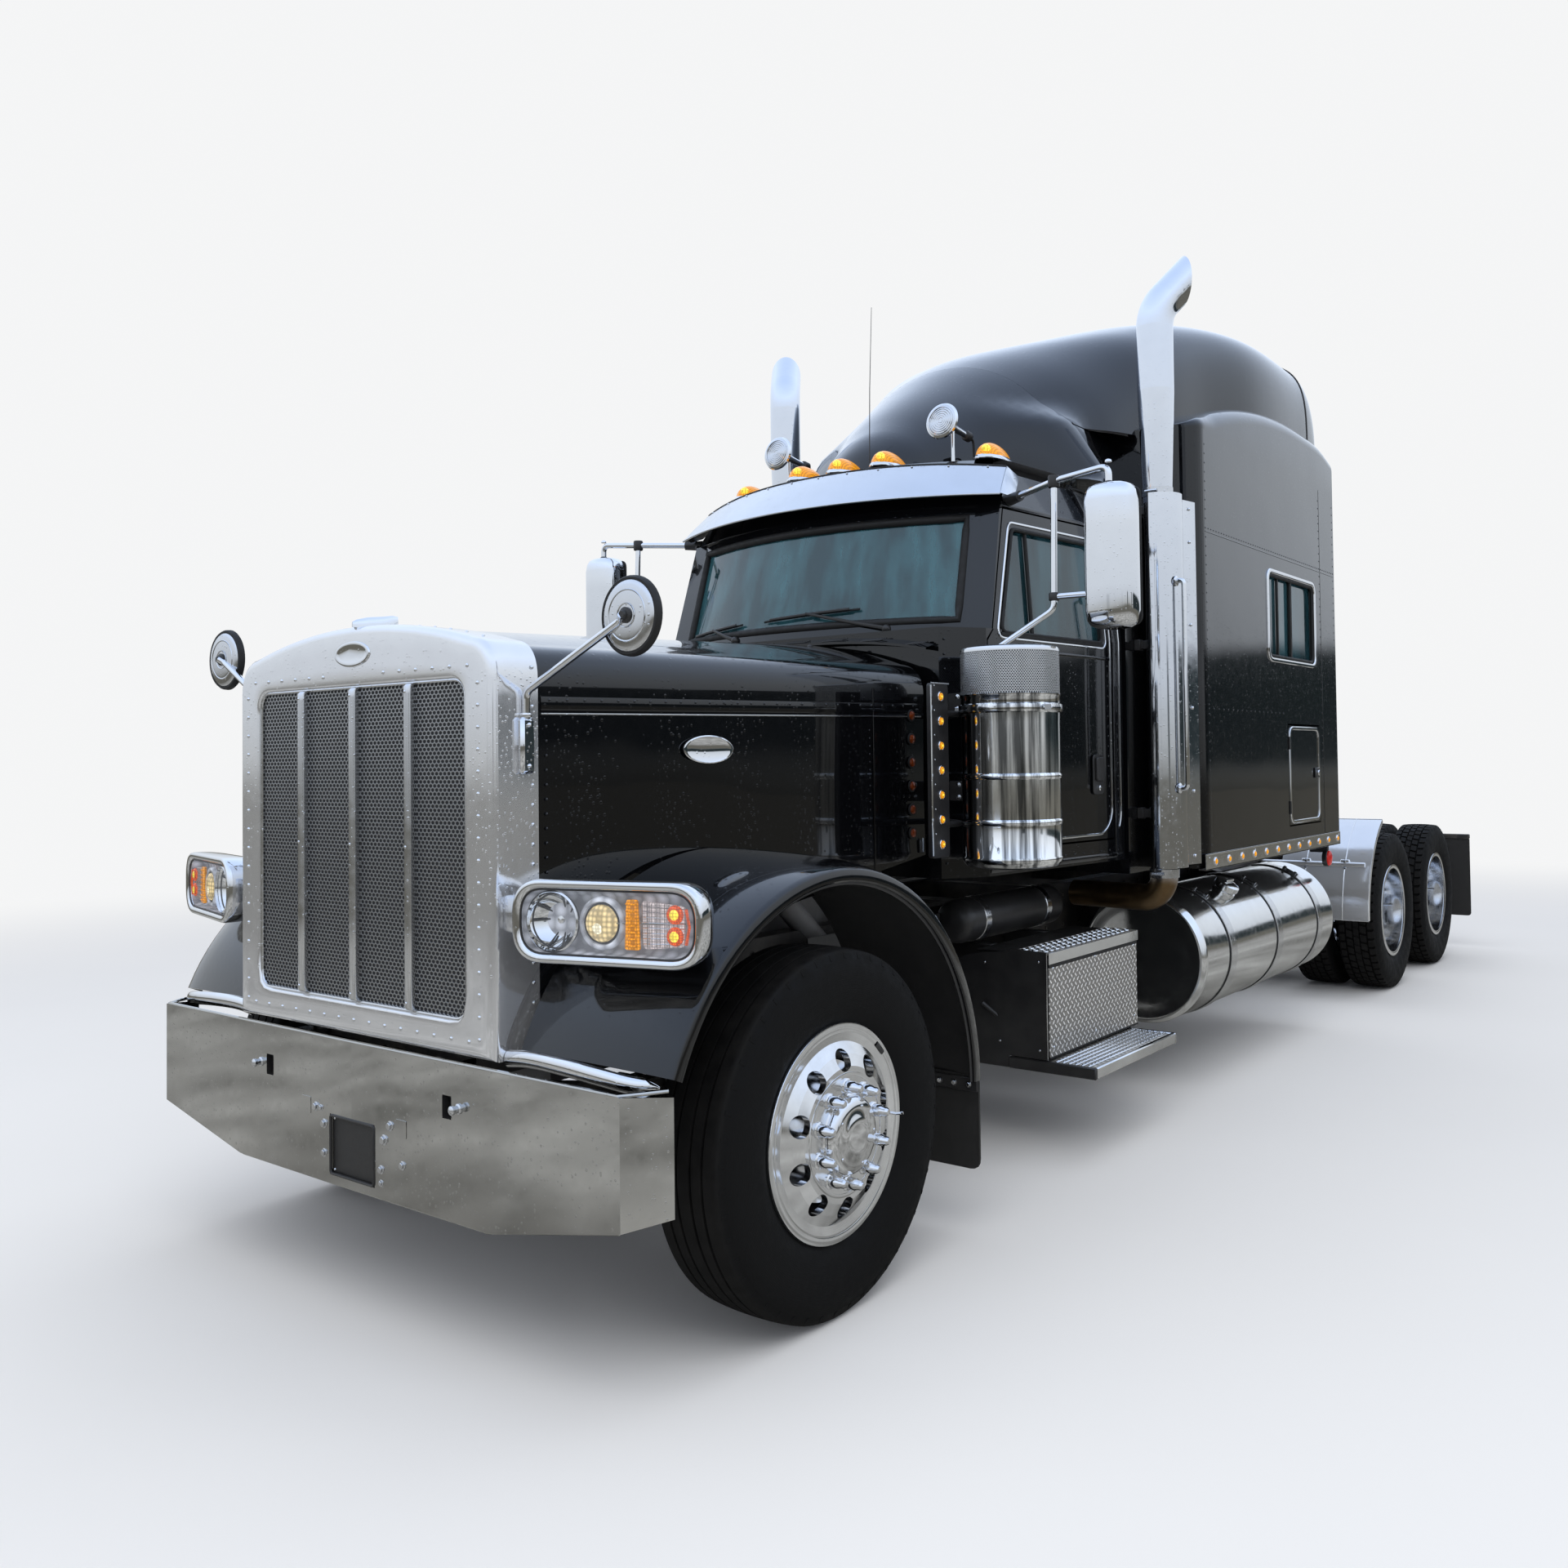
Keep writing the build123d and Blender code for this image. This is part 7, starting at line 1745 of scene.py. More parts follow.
# black sleeves inside the tow openings, and their pins
for sg in (1, -1):
    x = sg * 465
    sl = rounded([(x - 19, 669), (x + 19, 669), (x + 19, 733), (x - 19, 733)], 6, 3)
    k.skin([[V(a, 1, b) for a, b in sl], [V(a, 60, b) for a, b in sl]], BLACKBOX, flip=True)
    k.skin([[V(a, 60, b) for a, b in sl], [V(x + (a - x) * 0.1, 60, 701 + (b - 701) * 0.1) for a, b in sl]], BLACKBOX, caps=(0, 1), flip=True)
    px = x + sg * 54 if sg > 0 else x - 54
    k.lathe([(15, -1), (15, 3), (11, 6), (10, 16), (13, 19), (13, 26), (8, 30), (0.05, 31)], V(px, 2, 704), (0, -1, 0), STAINLESS, 20)
k.done("bumper_fittings", "chassis")

# ================================================================== suspension and underbody
k = Kit()
# front leaves, their clips and U-bolts
def leaf_z(s):
    a = abs(s - AXLE_F)
    L = 700.0
    return 566.0 + (712.0 - 566.0) * min(1.0, a / L) ** 1.5
for j in range(3):
    ln = (690, 520, 330)[j]
    pts = [V(387, AXLE_F - ln + 2 * ln * i / 24, leaf_z(AXLE_F - ln + 2 * ln * i / 24) - 8 - j * 22) for i in range(25)]
    rings = [[p + Vector((dx / 1000, 0, dz / 1000)) for dx, dz in ((-39.5, -9), (-36, -11), (36, -11), (39.5, -9), (39.5, 9), (36, 11), (-36, 11), (-39.5, 9))] for p in pts]
    k.skin(rings, IRON, caps=(1, 1))
for s in (AXLE_F - 75, AXLE_F + 75):
    k.tube(bent([V(344, s, 480), V(344, s, 622), V(430, s, 622), V(430, s, 480)], 14), 11, STAINLESS, 8)
    for x in (344, 430):
        k.hexa(V(x, s, 492), (0, 0, -1), 15, 16, STAINLESS)
k.box(336, 438, AXLE_F - 100, AXLE_F + 100, 596, 612, IRON, 3)
# front shackles and shock absorbers
for s in (232, 1542):
    k.tube([V(340, s, 712), V(436, s, 712)], 22, IRON, 16)
k.lathe([(24, 0), (32, 10), (32, 190), (24, 200), (14, 202), (14, 290), (22, 296), (22, 320)], V(462, AXLE_F + 150, 500), (0, 0.25, 1), BLACKBOX, 20)
# rear beams: U-bolts, air springs with their rolls, shock absorbers, brake chambers
for s in (AXLE_1, AXLE_2):
    for d in (-80, 80):
        k.tube(bent([V(372, s + d, 380), V(372, s + d, 640), V(468, s + d, 640), V(468, s + d, 380)], 20), 11, IRON, 8)
        for x in (372, 468):
            k.hexa(V(x, s + d, 386), (0, 0, -1), 16, 18, STAINLESS)
    k.box(366, 474, s - 96, s + 96, 368, 386, IRON, 3)
    prof = [(60, 441), (80, 446), (96, 462), (111, 480), (119, 505), (121, 530), (119, 556), (112, 578), (116, 600), (121, 628), (121, 660), (117, 690), (112, 712), (113, 730), (112, 744)]
    k.lathe(prof, V(420, s + 250, 0), (0, 0, 1), HOSE, 36)
    k.lathe([(112, 738), (118, 740), (118, 745)], V(420, s + 250, 0), (0, 0, 1), IRON, 36)
    k.lathe([(26, 0), (34, 10), (34, 170), (26, 182), (15, 184), (15, 300), (24, 306), (24, 330)], V(508, s + 120, 430), (0, 0.22, 1), BLACKBOX, 20)
    if s:
        c = V(300, s - 190, WHEEL_Z + 150)
        k.lathe([(0.05, -90), (60, -90), (78, -70), (80, -8), (86, -6), (86, 6), (80, 8), (80, 96), (66, 116), (26, 120), (0.05, 122)], c, (0, -0.94, 0.34), IRON, 28)
        k.lathe([(83, -9), (88, -7), (88, 7), (83, 9)], c, (0, -0.94, 0.34), STAINLESS, 28)
        k.tube([c + Vector((0, 0.08, -0.03)), V(300, s - 60, WHEEL_Z + 92)], 11, STAINLESS, 8)
    for i in range(12):
        a = 2 * pi * i / 12
        k.hexa(V(62, s + 205 * cos(a), WHEEL_Z + 205 * sin(a)) + Vector((0, 0, 0)), (1, 0, 0), 9, 8, IRON, washer=False)
    k.lathe([(205, 56), (222, 58), (222, 68), (205, 70)], V(0, s, WHEEL_Z), (1, 0, 0), IRON, 40)
    k.box(378, 462, s - 425, s - 372, 700, 745, IRON, 4)
# air lines looping from the rail to the axles
for s in (AXLE_1, AXLE_2):
    k.tube(smooth_path([V(334, s - 420, 820), V(322, s - 400, 760), V(312, s - 330, 706), V(302, s - 280, 712)], 5), 7, HOSE, 8)
# rail fixings
for i in range(48):
    s = 420 + i * 190
    if not (2560 < s < 3520):
        for z in (800, 955):
            k.hexa(V(432, s, z), (1, 0, 0), 9, 8, IRON)
# black splash panels between the front wheels and the steps, hung from the rails; these dark sheets are painted shade
# for the space under the cab
sg = 1
rows = []
for t in range(14):
    sx = 1560 + 78 * t
    puff = 6.0 * sin(pi * t / 13.0)
    rows.append([V(sg * (540 + puff), sx, 1000), V(sg * (548 + puff), sx, 760), V(sg * (556 + puff), sx, 560), V(sg * (540 + puff), sx, 470 + 0.05 * (sx - 1560)), V(sg * (520 + puff), sx, 466 + 0.05 * (sx - 1560))])
k.skin(rows, FLAP, closed=False)
k.skin([[p + Vector((-sg * 0.006, 0, 0)) for p in r] for r in rows], FLAP, closed=False, flip=True)
for sx in (1640, 1990, 2340, 2520):
    k.tube([V(sg * 430, sx, 900), V(sg * 556, sx, 900), V(sg * 566, sx, 620)], 9, BLACKBOX, 8)
    for z in (640, 760, 880):
        k.hexa(V(sg * 566, sx, z), (sg, 0, 0), 8, 6, STAINLESS)
k.done("chassis_fittings", "chassis", both=True)

k = Kit()
# propeller shafts: yokes and the hanger bearing
for p, q, r in ((V(0, 2860, 800), V(0, AXLE_1 - 366, WHEEL_Z + 40), 55), (V(0, AXLE_1 + 240, WHEEL_Z + 60), V(0, AXLE_2 - 366, WHEEL_Z + 40), 45)):
    d = (q - p).normalized()
    for c, sg in ((p, 1), (q, -1)):
        k.lathe([(r * 1.0, 0), (r * 1.5, 6), (r * 1.55, 30), (r * 1.1, 50), (r * 1.3, 80), (r * 1.02, 120)], c, d * sg, IRON, 28)
    m = p.lerp(q, 0.5)
    k.lathe([(r + 1, -24), (r + 6, -20), (r + 6, 20), (r + 1, 24)], m, d, STAINLESS, 28)
# a crosswise plate on the last member, with the tail lamps
k.prism([V(x, 9682, z) for x, z in rounded([(-330, 806), (330, 806), (330, 990), (-330, 990)], 10, 3)], Vector((0, 0.006, 0)), BLACKBOX, 2)
for sg in (1, -1):
    for x, m in ((120, RED), (230, RED), (290, FROST)):
        c = V(sg * x, 9688, 900)
        k.lathe([(50, -1), (52, 4), (48, 8), (44, 7)], c, (0, 1, 0), SEAL, 28)
        k.lathe([(45, 4), (42, 9), (24, 12), (0.05, 13)], c, (0, 1, 0), m, 28)
for x in (-40, 0, 40):
    c = V(x, 9688, 962)
    k.lathe([(15, -1), (15, 3), (12, 7), (0.05, 9)], c, (0, 1, 0), RED, 18)
fr = rounded([(-80, 820), (80, 820), (80, 880), (-80, 880)], 4, 2)
k.prism([V(x, 9688, z) for x, z in fr], Vector((0, 0.002, 0)), STAINLESS, 0.6)
# rail ends
for sg in (1, -1):
    k.prism([V(sg * x, 9700, z) for x, z in rounded([(346, 748), (430, 748), (430, 1009), (346, 1009)], 8, 3)], Vector((0, 0.004, 0)), BLACKBOX, 1.5)
k.done("rear_end_fittings", "chassis")

# deck plate between the sleeper and the fifth wheel, with its bolts
k = Kit()
k.prism([V(x, s, 1012) for x, s in ((-432, 6060), (432, 6060), (432, 7000), (-432, 7000))], Vector((0, 0, 0.008)), TREAD, 2)
for sg in (1, -1):
    for s in (6100, 6500, 6960):
        k.dome(V(sg * 405, s, 1020), (0, 0, 1), 9, 5, STAINLESS)
k.done("deck_plate", "chassis")

# ================================================================== quarter fenders and flaps
k = Kit()
a0, a1 = 118.0, 180.0
def qf(a, x, r):
    return V(x, AXLE_1 + cos(radians(a)) * r, WHEEL_Z + sin(radians(a)) * r)
angs = [a0 + (a1 - a0) * i / 26 for i in range(27)]
prof = [(590, 744), (590, 749), (596, 750), (700, 750), (860, 750), (1020, 750), (1184, 750), (1190, 749), (1192, 740), (1192, 722), (1188, 718), (1186, 722), (1186, 742), (700, 744)]
k.skin([[qf(a, x, r) for x, r in prof] for a in angs], GUARD, caps=(1, 1), flip=True)
for a in (a0, a1):
    k.tube([qf(a, 592, 747), qf(a, 900, 747), qf(a, 1190, 747)], 6, GUARD, 8)
for x in (760, 1020):
    k.tube([qf(a, x, 750.5) for a in angs], 3, GUARD, 6)
k.tube([V(432.5, AXLE_1 - 655, 915), V(700, AXLE_1 - 655, 915), V(1150, AXLE_1 - 655, 915)], 18, GUARD, 18)
k.lathe([(30, -8), (32, 0), (32, 12), (22, 18)], V(440, AXLE_1 - 655, 915), (1, 0, 0), BLACKBOX, 24)
for x in (760, 1020):
    k.box(x - 30, x + 30, AXLE_1 - 664, AXLE_1 - 642, 876, 950, GUARD, 4)
    for z in (890, 938):
        k.hexa(V(x, AXLE_1 - 668, z), (0, -1, 0), 8, 7, STAINLESS)
# flaps: ribbed rubber hung from a bright bar
fl = rounded([(590, 265), (1210, 265), (1210, 925), (590, 925)], [30, 30, 4, 4], 4)
k.prism([V(x, 9911, z) for x, z in fl], Vector((0, 0.010, 0)), FLAP, 2)
for i in range(9):
    x = 630 + i * 67
    k.tube([V(x, 9921, 300), V(x, 9921, 600), V(x, 9921, 880)], 4, FLAP, 6)
k.box(432, 1210, 9900, 9938, 925, 965, IRON, 6)
k.box(432, 474, 9600, 9902, 926, 964, IRON, 5)
k.prism([V(x, 9922, z) for x, z in ((600, 900), (1204, 900), (1204, 924), (600, 924))], Vector((0, 0.005, 0)), STAINLESS, 1)
for i in range(7):
    k.hexa(V(640 + i * 88, 9927, 912), (0, 1, 0), 7, 6, STAINLESS)
k.prism([V(x, 9921, z) for x, z in rounded([(700, 275), (1100, 275), (1100, 330), (700, 330)], 6, 3)], Vector((0, 0.003, 0)), STAINLESS, 1)
k.done("quarter_fenders_and_flaps", "chassis", ["mudguards"], both=True)

# ================================================================== fifth wheel
FW_S = 8034.0
k = Kit()
# lube grooves, rim, jaw ring, and the release handle
for q in (0.72, 0.52):
    pts = [V(x * q, FW_S + s * q, 1235.2) for x, s in [(-480, -120), (-330, -380), (0, -392), (330, -380), (480, -120), (480, 180), (330, 420)]]
    k.tube(smooth_path(pts, 6), 5, GREASE, 6, squash=0.4)
k.lathe([(34, 1203), (36, 1232), (44, 1235.5), (56, 1235.5), (60, 1233)], V(0, FW_S, 0), (0, 0, 1), STAINLESS, 40, 100, 440, ref=(0, 1, 0))
rim = [(-480, -120), (-330, -380), (330, -380), (480, -120), (480, 180), (330, 420), (172, 470)]
k.tube([V(x, FW_S + s, 1216) for x, s in rim], 10, GREASE, 8, squash=1.0)
for x in (-380, 380):
    for s in (-60, 60):
        k.hexa(V(x, FW_S + s, 1235), (0, 0, 1), 11, 3, STAINLESS, washer=False)
k.tube(bent([V(200, FW_S - 150, 1188), V(520, FW_S - 150, 1186), V(600, FW_S - 170, 1180)], 30), 9, IRON, 8)
k.tube(bent([V(600, FW_S - 170, 1180), V(640, FW_S - 170, 1180), V(640, FW_S - 250, 1180), V(604, FW_S - 250, 1180), V(604, FW_S - 176, 1180)], 12), 7, IRON, 8)
for i in range(6):
    x = -300 + i * 120
    k.box(x - 8, x + 8, FW_S - 300, FW_S + 250, 1172, 1196, GREASE, 3) if abs(x) > 60 and abs(x) not in (300,) else None
k.done("fifth_wheel_fittings", "fifth_wheel")
k = Kit()
for sg in (1, -1):
    for s in (-110, 110, -220, 220):
        k.hexa(V(sg * 345, FW_S + s, 1028), (0, 0, 1), 13, 12, STAINLESS)
    for x in (330, 395):
        k.lathe([(44, -6), (46, 0), (46, 5), (30, 8)], V(sg * x, FW_S, 1150), (sg if x > 360 else -sg, 0, 0), IRON, 28)
k.done("fifth_wheel_mounts", "chassis")

# ================================================================== engine and frame fittings under the hood
k = Kit()
for i in range(6):
    s = 600 + i * 215
    k.box(-150, 150, s, s + 190, 1612, 1640, CAST, 8)
    for x in (-120, 120):
        k.hexa(V(x, s + 95, 1640), (0, 0, 1), 12, 12, STAINLESS)
    k.tube(bent([V(300, s + 95, 1480), V(360, s + 95, 1480), V(372, s + 130, 1410)], 20), 26, CAST, 14)
    k.box(-330, -298, s + 20, s + 170, 1300, 1420, CAST, 8)
k.tube([V(376, 560, 1400), V(376, 1200, 1400), V(376, 1900, 1400)], 42, CAST, 18)
k.lathe([(60, -50), (95, -40), (118, -14), (118, 14), (95, 40), (60, 50)], V(396, 1240, 1290), (0, 1, 0), CAST, 36)
k.tube(bent([V(410, 1290, 1290), V(410, 1420, 1290), V(410, 1500, 1200), V(410, 1840, 900)], 60), 48, CAST, 18)
k.tube(bent([V(-380, 600, 1540), V(-380, 420, 1560), V(-380, 345, 1700)], 60), 44, HOSE, 16)
for s in (470, 560):
    k.lathe([(46, -10), (49, -8), (49, 8), (46, 10)], V(-380, s, 1558), (0, 1, -0.1), STAINLESS, 28)
k.tube(bent([V(-330, 1700, 1540), V(-480, 1760, 1560), V(-560, 1960, 1580)], 60), 52, HOSE, 16)
# fan and its shroud, belts and pulleys
k.lathe([(430, 338), (430, 420), (380, 470), (372, 470), (420, 416), (420, 338)], V(0, 0, 1440), (0, 1, 0), BLACKBOX, 48)
for i in range(9):
    a = 2 * pi * i / 9
    d = Vector((cos(a), 0, sin(a)))
    t = Vector((-sin(a), 0, cos(a)))
    c = V(0, 440, 1440)
    k.add([c + d * 0.08 - t * 0.03 + Vector((0, -0.02, 0)), c + d * 0.08 + t * 0.03 + Vector((0, 0.02, 0)), c + d * 0.355 + t * 0.075 + Vector((0, 0.03, 0)), c + d * 0.355 - t * 0.055 + Vector((0, -0.03, 0))], [(0, 1, 2, 3), (3, 2, 1, 0)], BLACKBOX)
k.lathe([(0.05, -30), (84, -30), (90, -20), (90, 30), (60, 50), (60, 80)], V(0, 440, 1440), (0, 1, 0), CAST, 32)
for x, z, r in ((-180, 1180, 75), (190, 1240, 60), (0, 1000, 110)):
    k.lathe([(0.05, -24), (r * 0.5, -24), (r * 0.8, -16), (r, -18), (r - 6, 0), (r, 18), (r * 0.6, 24)], V(x, 494, z), (0, 1, 0), STAINLESS, 32)
k.tube([V(a, 494, b) for a, b in ((-255, 1190), (-106, 985), (-40, 892), (60, 895), (250, 1240), (200, 1300), (85, 1450), (0, 1528), (-85, 1460), (-255, 1190))], 9, HOSE, 8)
# coolant bottle and a ribbed black box
k.lathe([(0.05, 0), (90, 2), (100, 14), (100, 240), (90, 252), (30, 254), (30, 272), (0.05, 274)], V(-430, 1780, 1320), (0, 0, 1), FROST, 32)
k.box(330, 430, 1560, 1900, 1320, 1500, BLACKBOX, 14)
for s in (1600, 1680, 1760, 1840):
    k.box(300, 336, s, s + 40, 1340, 1480, BLACKBOX, 6)
k.done("engine_fittings", "chassis")

# ================================================================== interior
def soften(ob, voxel, cap, pressure=4.0, channels=()):
    """Turns a plain form into a stuffed one: remesh, inflate, cap the travel, then press in the sewn lines."""
    md = ob.modifiers.new("re", "REMESH")
    md.mode = "VOXEL"
    md.voxel_size = voxel
    dg = bpy.context.evaluated_depsgraph_get()
    me = bpy.data.meshes.new_from_object(ob.evaluated_get(dg))
    old = ob.data
    mats = [m for m in old.materials]
    ob.modifiers.clear()
    ob.data = me
    me.name = old.name + "_soft"
    me.materials.clear()
    for m in mats:
        me.materials.append(m)
    rest = [v.co.copy() for v in me.vertices]
    cl = ob.modifiers.new("stuff", "CLOTH")
    cl.settings.quality = 4
    cl.settings.mass = 0.3
    cl.settings.use_pressure = True
    cl.settings.uniform_pressure_force = pressure
    cl.settings.effector_weights.gravity = 0.0
    cl.collision_settings.use_self_collision = False
    sc = bpy.context.scene
    for f in range(1, 21):
        sc.frame_set(f)
    ev = ob.evaluated_get(bpy.context.evaluated_depsgraph_get())
    em = ev.to_mesh()
    new = [v.co.copy() for v in em.vertices]
    ev.to_mesh_clear()
    ob.modifiers.clear()
    sc.frame_set(1)
    for v, a, b in zip(me.vertices, rest, new):
        d = b - a
        if d.length > cap:
            d = d * (cap / d.length)
        v.co = a + d
    for v in me.vertices:
        for axis, at, other, lo, hi, depth, width, face in channels:
            d = abs(v.co[axis] - at)
            if d < 3 * width and lo <= v.co[other] <= hi:
                if v.normal[face] > 0.4:
                    v.co[face] -= depth * math.exp(-(d / width) ** 2)
                elif v.normal[face] < -0.4 and depth < 0:
                    v.co[face] -= depth * math.exp(-(d / width) ** 2)
    me.update()
    me.polygons.foreach_set("use_smooth", [True] * len(me.polygons))
    md = ob.modifiers.new("smooth", "SUBSURF")
    md.levels = md.render_levels = 1
    dg = bpy.context.evaluated_depsgraph_get()
    fine = bpy.data.meshes.new_from_object(ob.evaluated_get(dg))
    ob.modifiers.clear()
    fine.materials.clear()
    for m in mats:
        fine.materials.append(m)
    ob.data = fine
    fine.polygons.foreach_set("use_smooth", [True] * len(fine.polygons))
    return ob


def soft_form(name, centre, sections, mat, replaces=()):
    """A closed form from sections: each (origin, half width, half depth, roundness) across a path."""
    k = Kit(1, centre)
    k.skin(sections, mat, caps=(1, 1))
    return k.done(name, "chassis", replaces, angle=180)


def sec(cx, s, z, hx, hz, q=5.0, n=36, tilt=0.0):
    """A rounded section lying across the truck, tilted back by an angle."""
    out = []
    for i in range(n):
        a = 2 * pi * i / n
        c, d = cos(a), sin(a)
        x = math.copysign(abs(c) ** (2 / q), c) * hx
        y = math.copysign(abs(d) ** (2 / q), d) * hz
        out.append(V(cx + x, s - y * sin(radians(tilt)), z + y * cos(radians(tilt))))
    return out


CUSH, BACK = {}, {}
for side, nm in SIDES:
    cx = 480 * side
    if side > 0:
        secs = [sec(cx, 2776, 1636, 200, 34, 3), sec(cx, 2788, 1634, 224, 48, 4), sec(cx, 2815, 1634, 234, 54, 5), sec(cx, 2960, 1630, 234, 52, 6), sec(cx, 3080, 1630, 234, 52, 6), sec(cx, 3100, 1632, 230, 50, 5), sec(cx, 3114, 1636, 216, 40, 4)]
        a = soft_form(f"seat_cushion_{nm}", (cx, 2950, 1630), secs, CLOTH)
        soften(a, 0.011, 0.016, channels=[(1, y, 0, -0.165, 0.165, 0.007, 0.010, 2) for y in (-0.09, 0.0, 0.09)] + [(0, x, 1, -0.17, 0.15, 0.009, 0.010, 2) for x in (-0.17, 0.17)])
        CUSH["mesh"] = a.data
        # back: sections climb and lean rearward
        secs = []
        for z, hx, hy in ((1722, 190, 26), (1736, 218, 40), (1770, 226, 44), (1900, 226, 42), (2050, 220, 40), (2180, 208, 38), (2250, 176, 36), (2290, 150, 36), (2340, 142, 34), (2356, 120, 24)):
            t = (z - 1700) / 680.0
            s = 3186 + t * 68
            ring = []
            for i in range(36):
                b = 2 * pi * i / 36
                c, d = cos(b), sin(b)
                ring.append(V(cx + math.copysign(abs(c) ** 0.4, c) * hx, s + math.copysign(abs(d) ** 0.5, d) * hy, z))
            secs.append(ring)
        a = soft_form(f"seat_back_{nm}", (cx, 3220, 2030), secs, CLOTH)
        soften(a, 0.011, 0.014, channels=[(2, z, 0, -0.15, 0.15, -0.006, 0.010, 1) for z in (-0.22, -0.13, -0.04, 0.05)] + [(0, x, 2, -0.28, 0.16, -0.008, 0.010, 1) for x in (-0.155, 0.155)])
        BACK["mesh"] = a.data
    else:
        for nm2, src, o in (("cushion", CUSH, (cx, 2950, 1630)), ("back", BACK, (cx, 3220, 2030))):
            me = src["mesh"].copy()
            ob = bpy.data.objects.new(f"seat_{nm2}_{nm}", me)
            bpy.context.scene.collection.objects.link(ob)
            ob.location = V(*o)
            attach(ob, "chassis")

k = Kit()
# seat frames: shell, suspension box with its folds, slides, arm rest, levers, belt
k.prism([V(480 + x, s, 1560) for x, s in rounded([(-244, 2770), (244, 2770), (244, 3232), (-244, 3232)], 50, 5)], Vector((0, 0, 0.024)), TRIM, 6)
rings = []
for i in range(15):
    z = 1290 + i * 19.2
    g2 = 150 - (10 if i % 2 else 0)
    rings.append([V(480 + math.copysign(abs(cos(a)) ** 0.35, cos(a)) * g2, 3030 + math.copysign(abs(sin(a)) ** 0.35, sin(a)) * g2, z) for a in [2 * pi * (j + 0.5) / 28 for j in range(28)]])
k.skin(rings, SEAL, caps=(1, 1))
k.box(330, 630, 2882, 3178, 1231, 1292, BLACKBOX, 8)
k.box(338, 352, 2860, 3200, 1231, 1252, STAINLESS, 3)
k.box(608, 622, 2860, 3200, 1231, 1252, STAINLESS, 3)
k.prism([V(480 + x, 3246 + (z - 1700) * 0.1, z) for x, z in rounded([(-216, 1740), (216, 1740), (200, 2180), (140, 2340), (-140, 2340), (-200, 2180)], 60, 5)], Vector((0, 0.014, 0)), TRIM, 5)
# folding arm rest inboard
k.chunk([V(206, 2900, 1850), V(246, 2900, 1850), V(246, 3200, 1850), V(206, 3200, 1850), V(200, 2900, 1900), V(250, 2900, 1900), V(250, 3200, 1900), V(200, 3200, 1900)], VINYL, 14)
k.lathe([(0.05, -14), (26, -12), (30, 0), (26, 12), (0.05, 14)], V(232, 3196, 1872), (1, 0, 0), TRIM, 24)
for s in (2830, 2880):
    k.tube([V(726, s, 1572), V(742, s - 8, 1572), V(744, s - 40, 1570)], 8, TRIM, 8)
# belt: reel, strap and buckle
k.box(704, 744, 3120, 3190, 1575, 1640, TRIM, 6)
k.strip([V(724, 3150, 1640), V(722, 3190, 1900), V(716, 3240, 2200), V(712, 3262, 2330)], Vector((1, 0, 0)), 46, 2, SEAL)
k.box(238, 252, 3090, 3130, 1640, 1720, RED, 5)
# carpeted engine step between the seats is left clear
k.done("seat_frames", "chassis", ["seats"], both=True)

# mattress, its base board's front edge and pillow
secs = []
for x, hy, hz in ((-1146, 440, 40), (-1134, 458, 50), (-1100, 466, 54), (-600, 468, 54), (0, 468, 54), (600, 468, 54), (1100, 466, 54), (1134, 458, 50), (1146, 440, 40)):
    ring = []
    for i in range(48):
        a = 2 * pi * i / 48
        c, d = cos(a), sin(a)
        ring.append(V(x, 5511 + math.copysign(abs(c) ** 0.3, c) * hy, 1968 + math.copysign(abs(d) ** 0.4, d) * hz))
    secs.append(ring)
a = soft_form("bunk_mattress", (0, 5511, 1968), secs, QUILT)
soften(a, 0.026, 0.013, channels=[(0, -0.96 + i * 0.24, 1, -0.42, 0.42, 0.012, 0.022, 2) for i in range(9)] + [(1, y, 0, -1.08, 1.08, 0.012, 0.022, 2) for y in (-0.24, 0.0, 0.24)])
k = Kit()
k.box(-1172, 1172, 5008, 5024, 1850, 1902, VINYL, 5)
k.box(-1172, 1172, 5024, 5998, 1861, 1899, MAT, 4)
for z in (2012, 1926):
    pts = [V(x, s, z) for x, s in rounded([(-1150, 5040), (1150, 5040), (1150, 5982), (-1150, 5982)], 60, 6)]
    k.tube(pts + pts[:1], 4, SEAL, 6, caps=False)
k.done("bunk_board", "chassis", ["bunk"])
secs = []
for x, hy, hz in ((-260, 40, 14), (-250, 120, 34), (-180, 170, 52), (0, 184, 60), (180, 170, 52), (250, 120, 34), (260, 40, 14)):
    ring = []
    for i in range(36):
        b = 2 * pi * i / 36
        c, d = cos(b), sin(b)
        ring.append(V(-860 + x, 5530 + math.copysign(abs(c) ** 0.7, c) * hy, 2096 + d * hz))
    secs.append(ring)
a = soft_form("bunk_pillow", (-860, 5530, 2096), secs, QUILT)
soften(a, 0.014, 0.010)

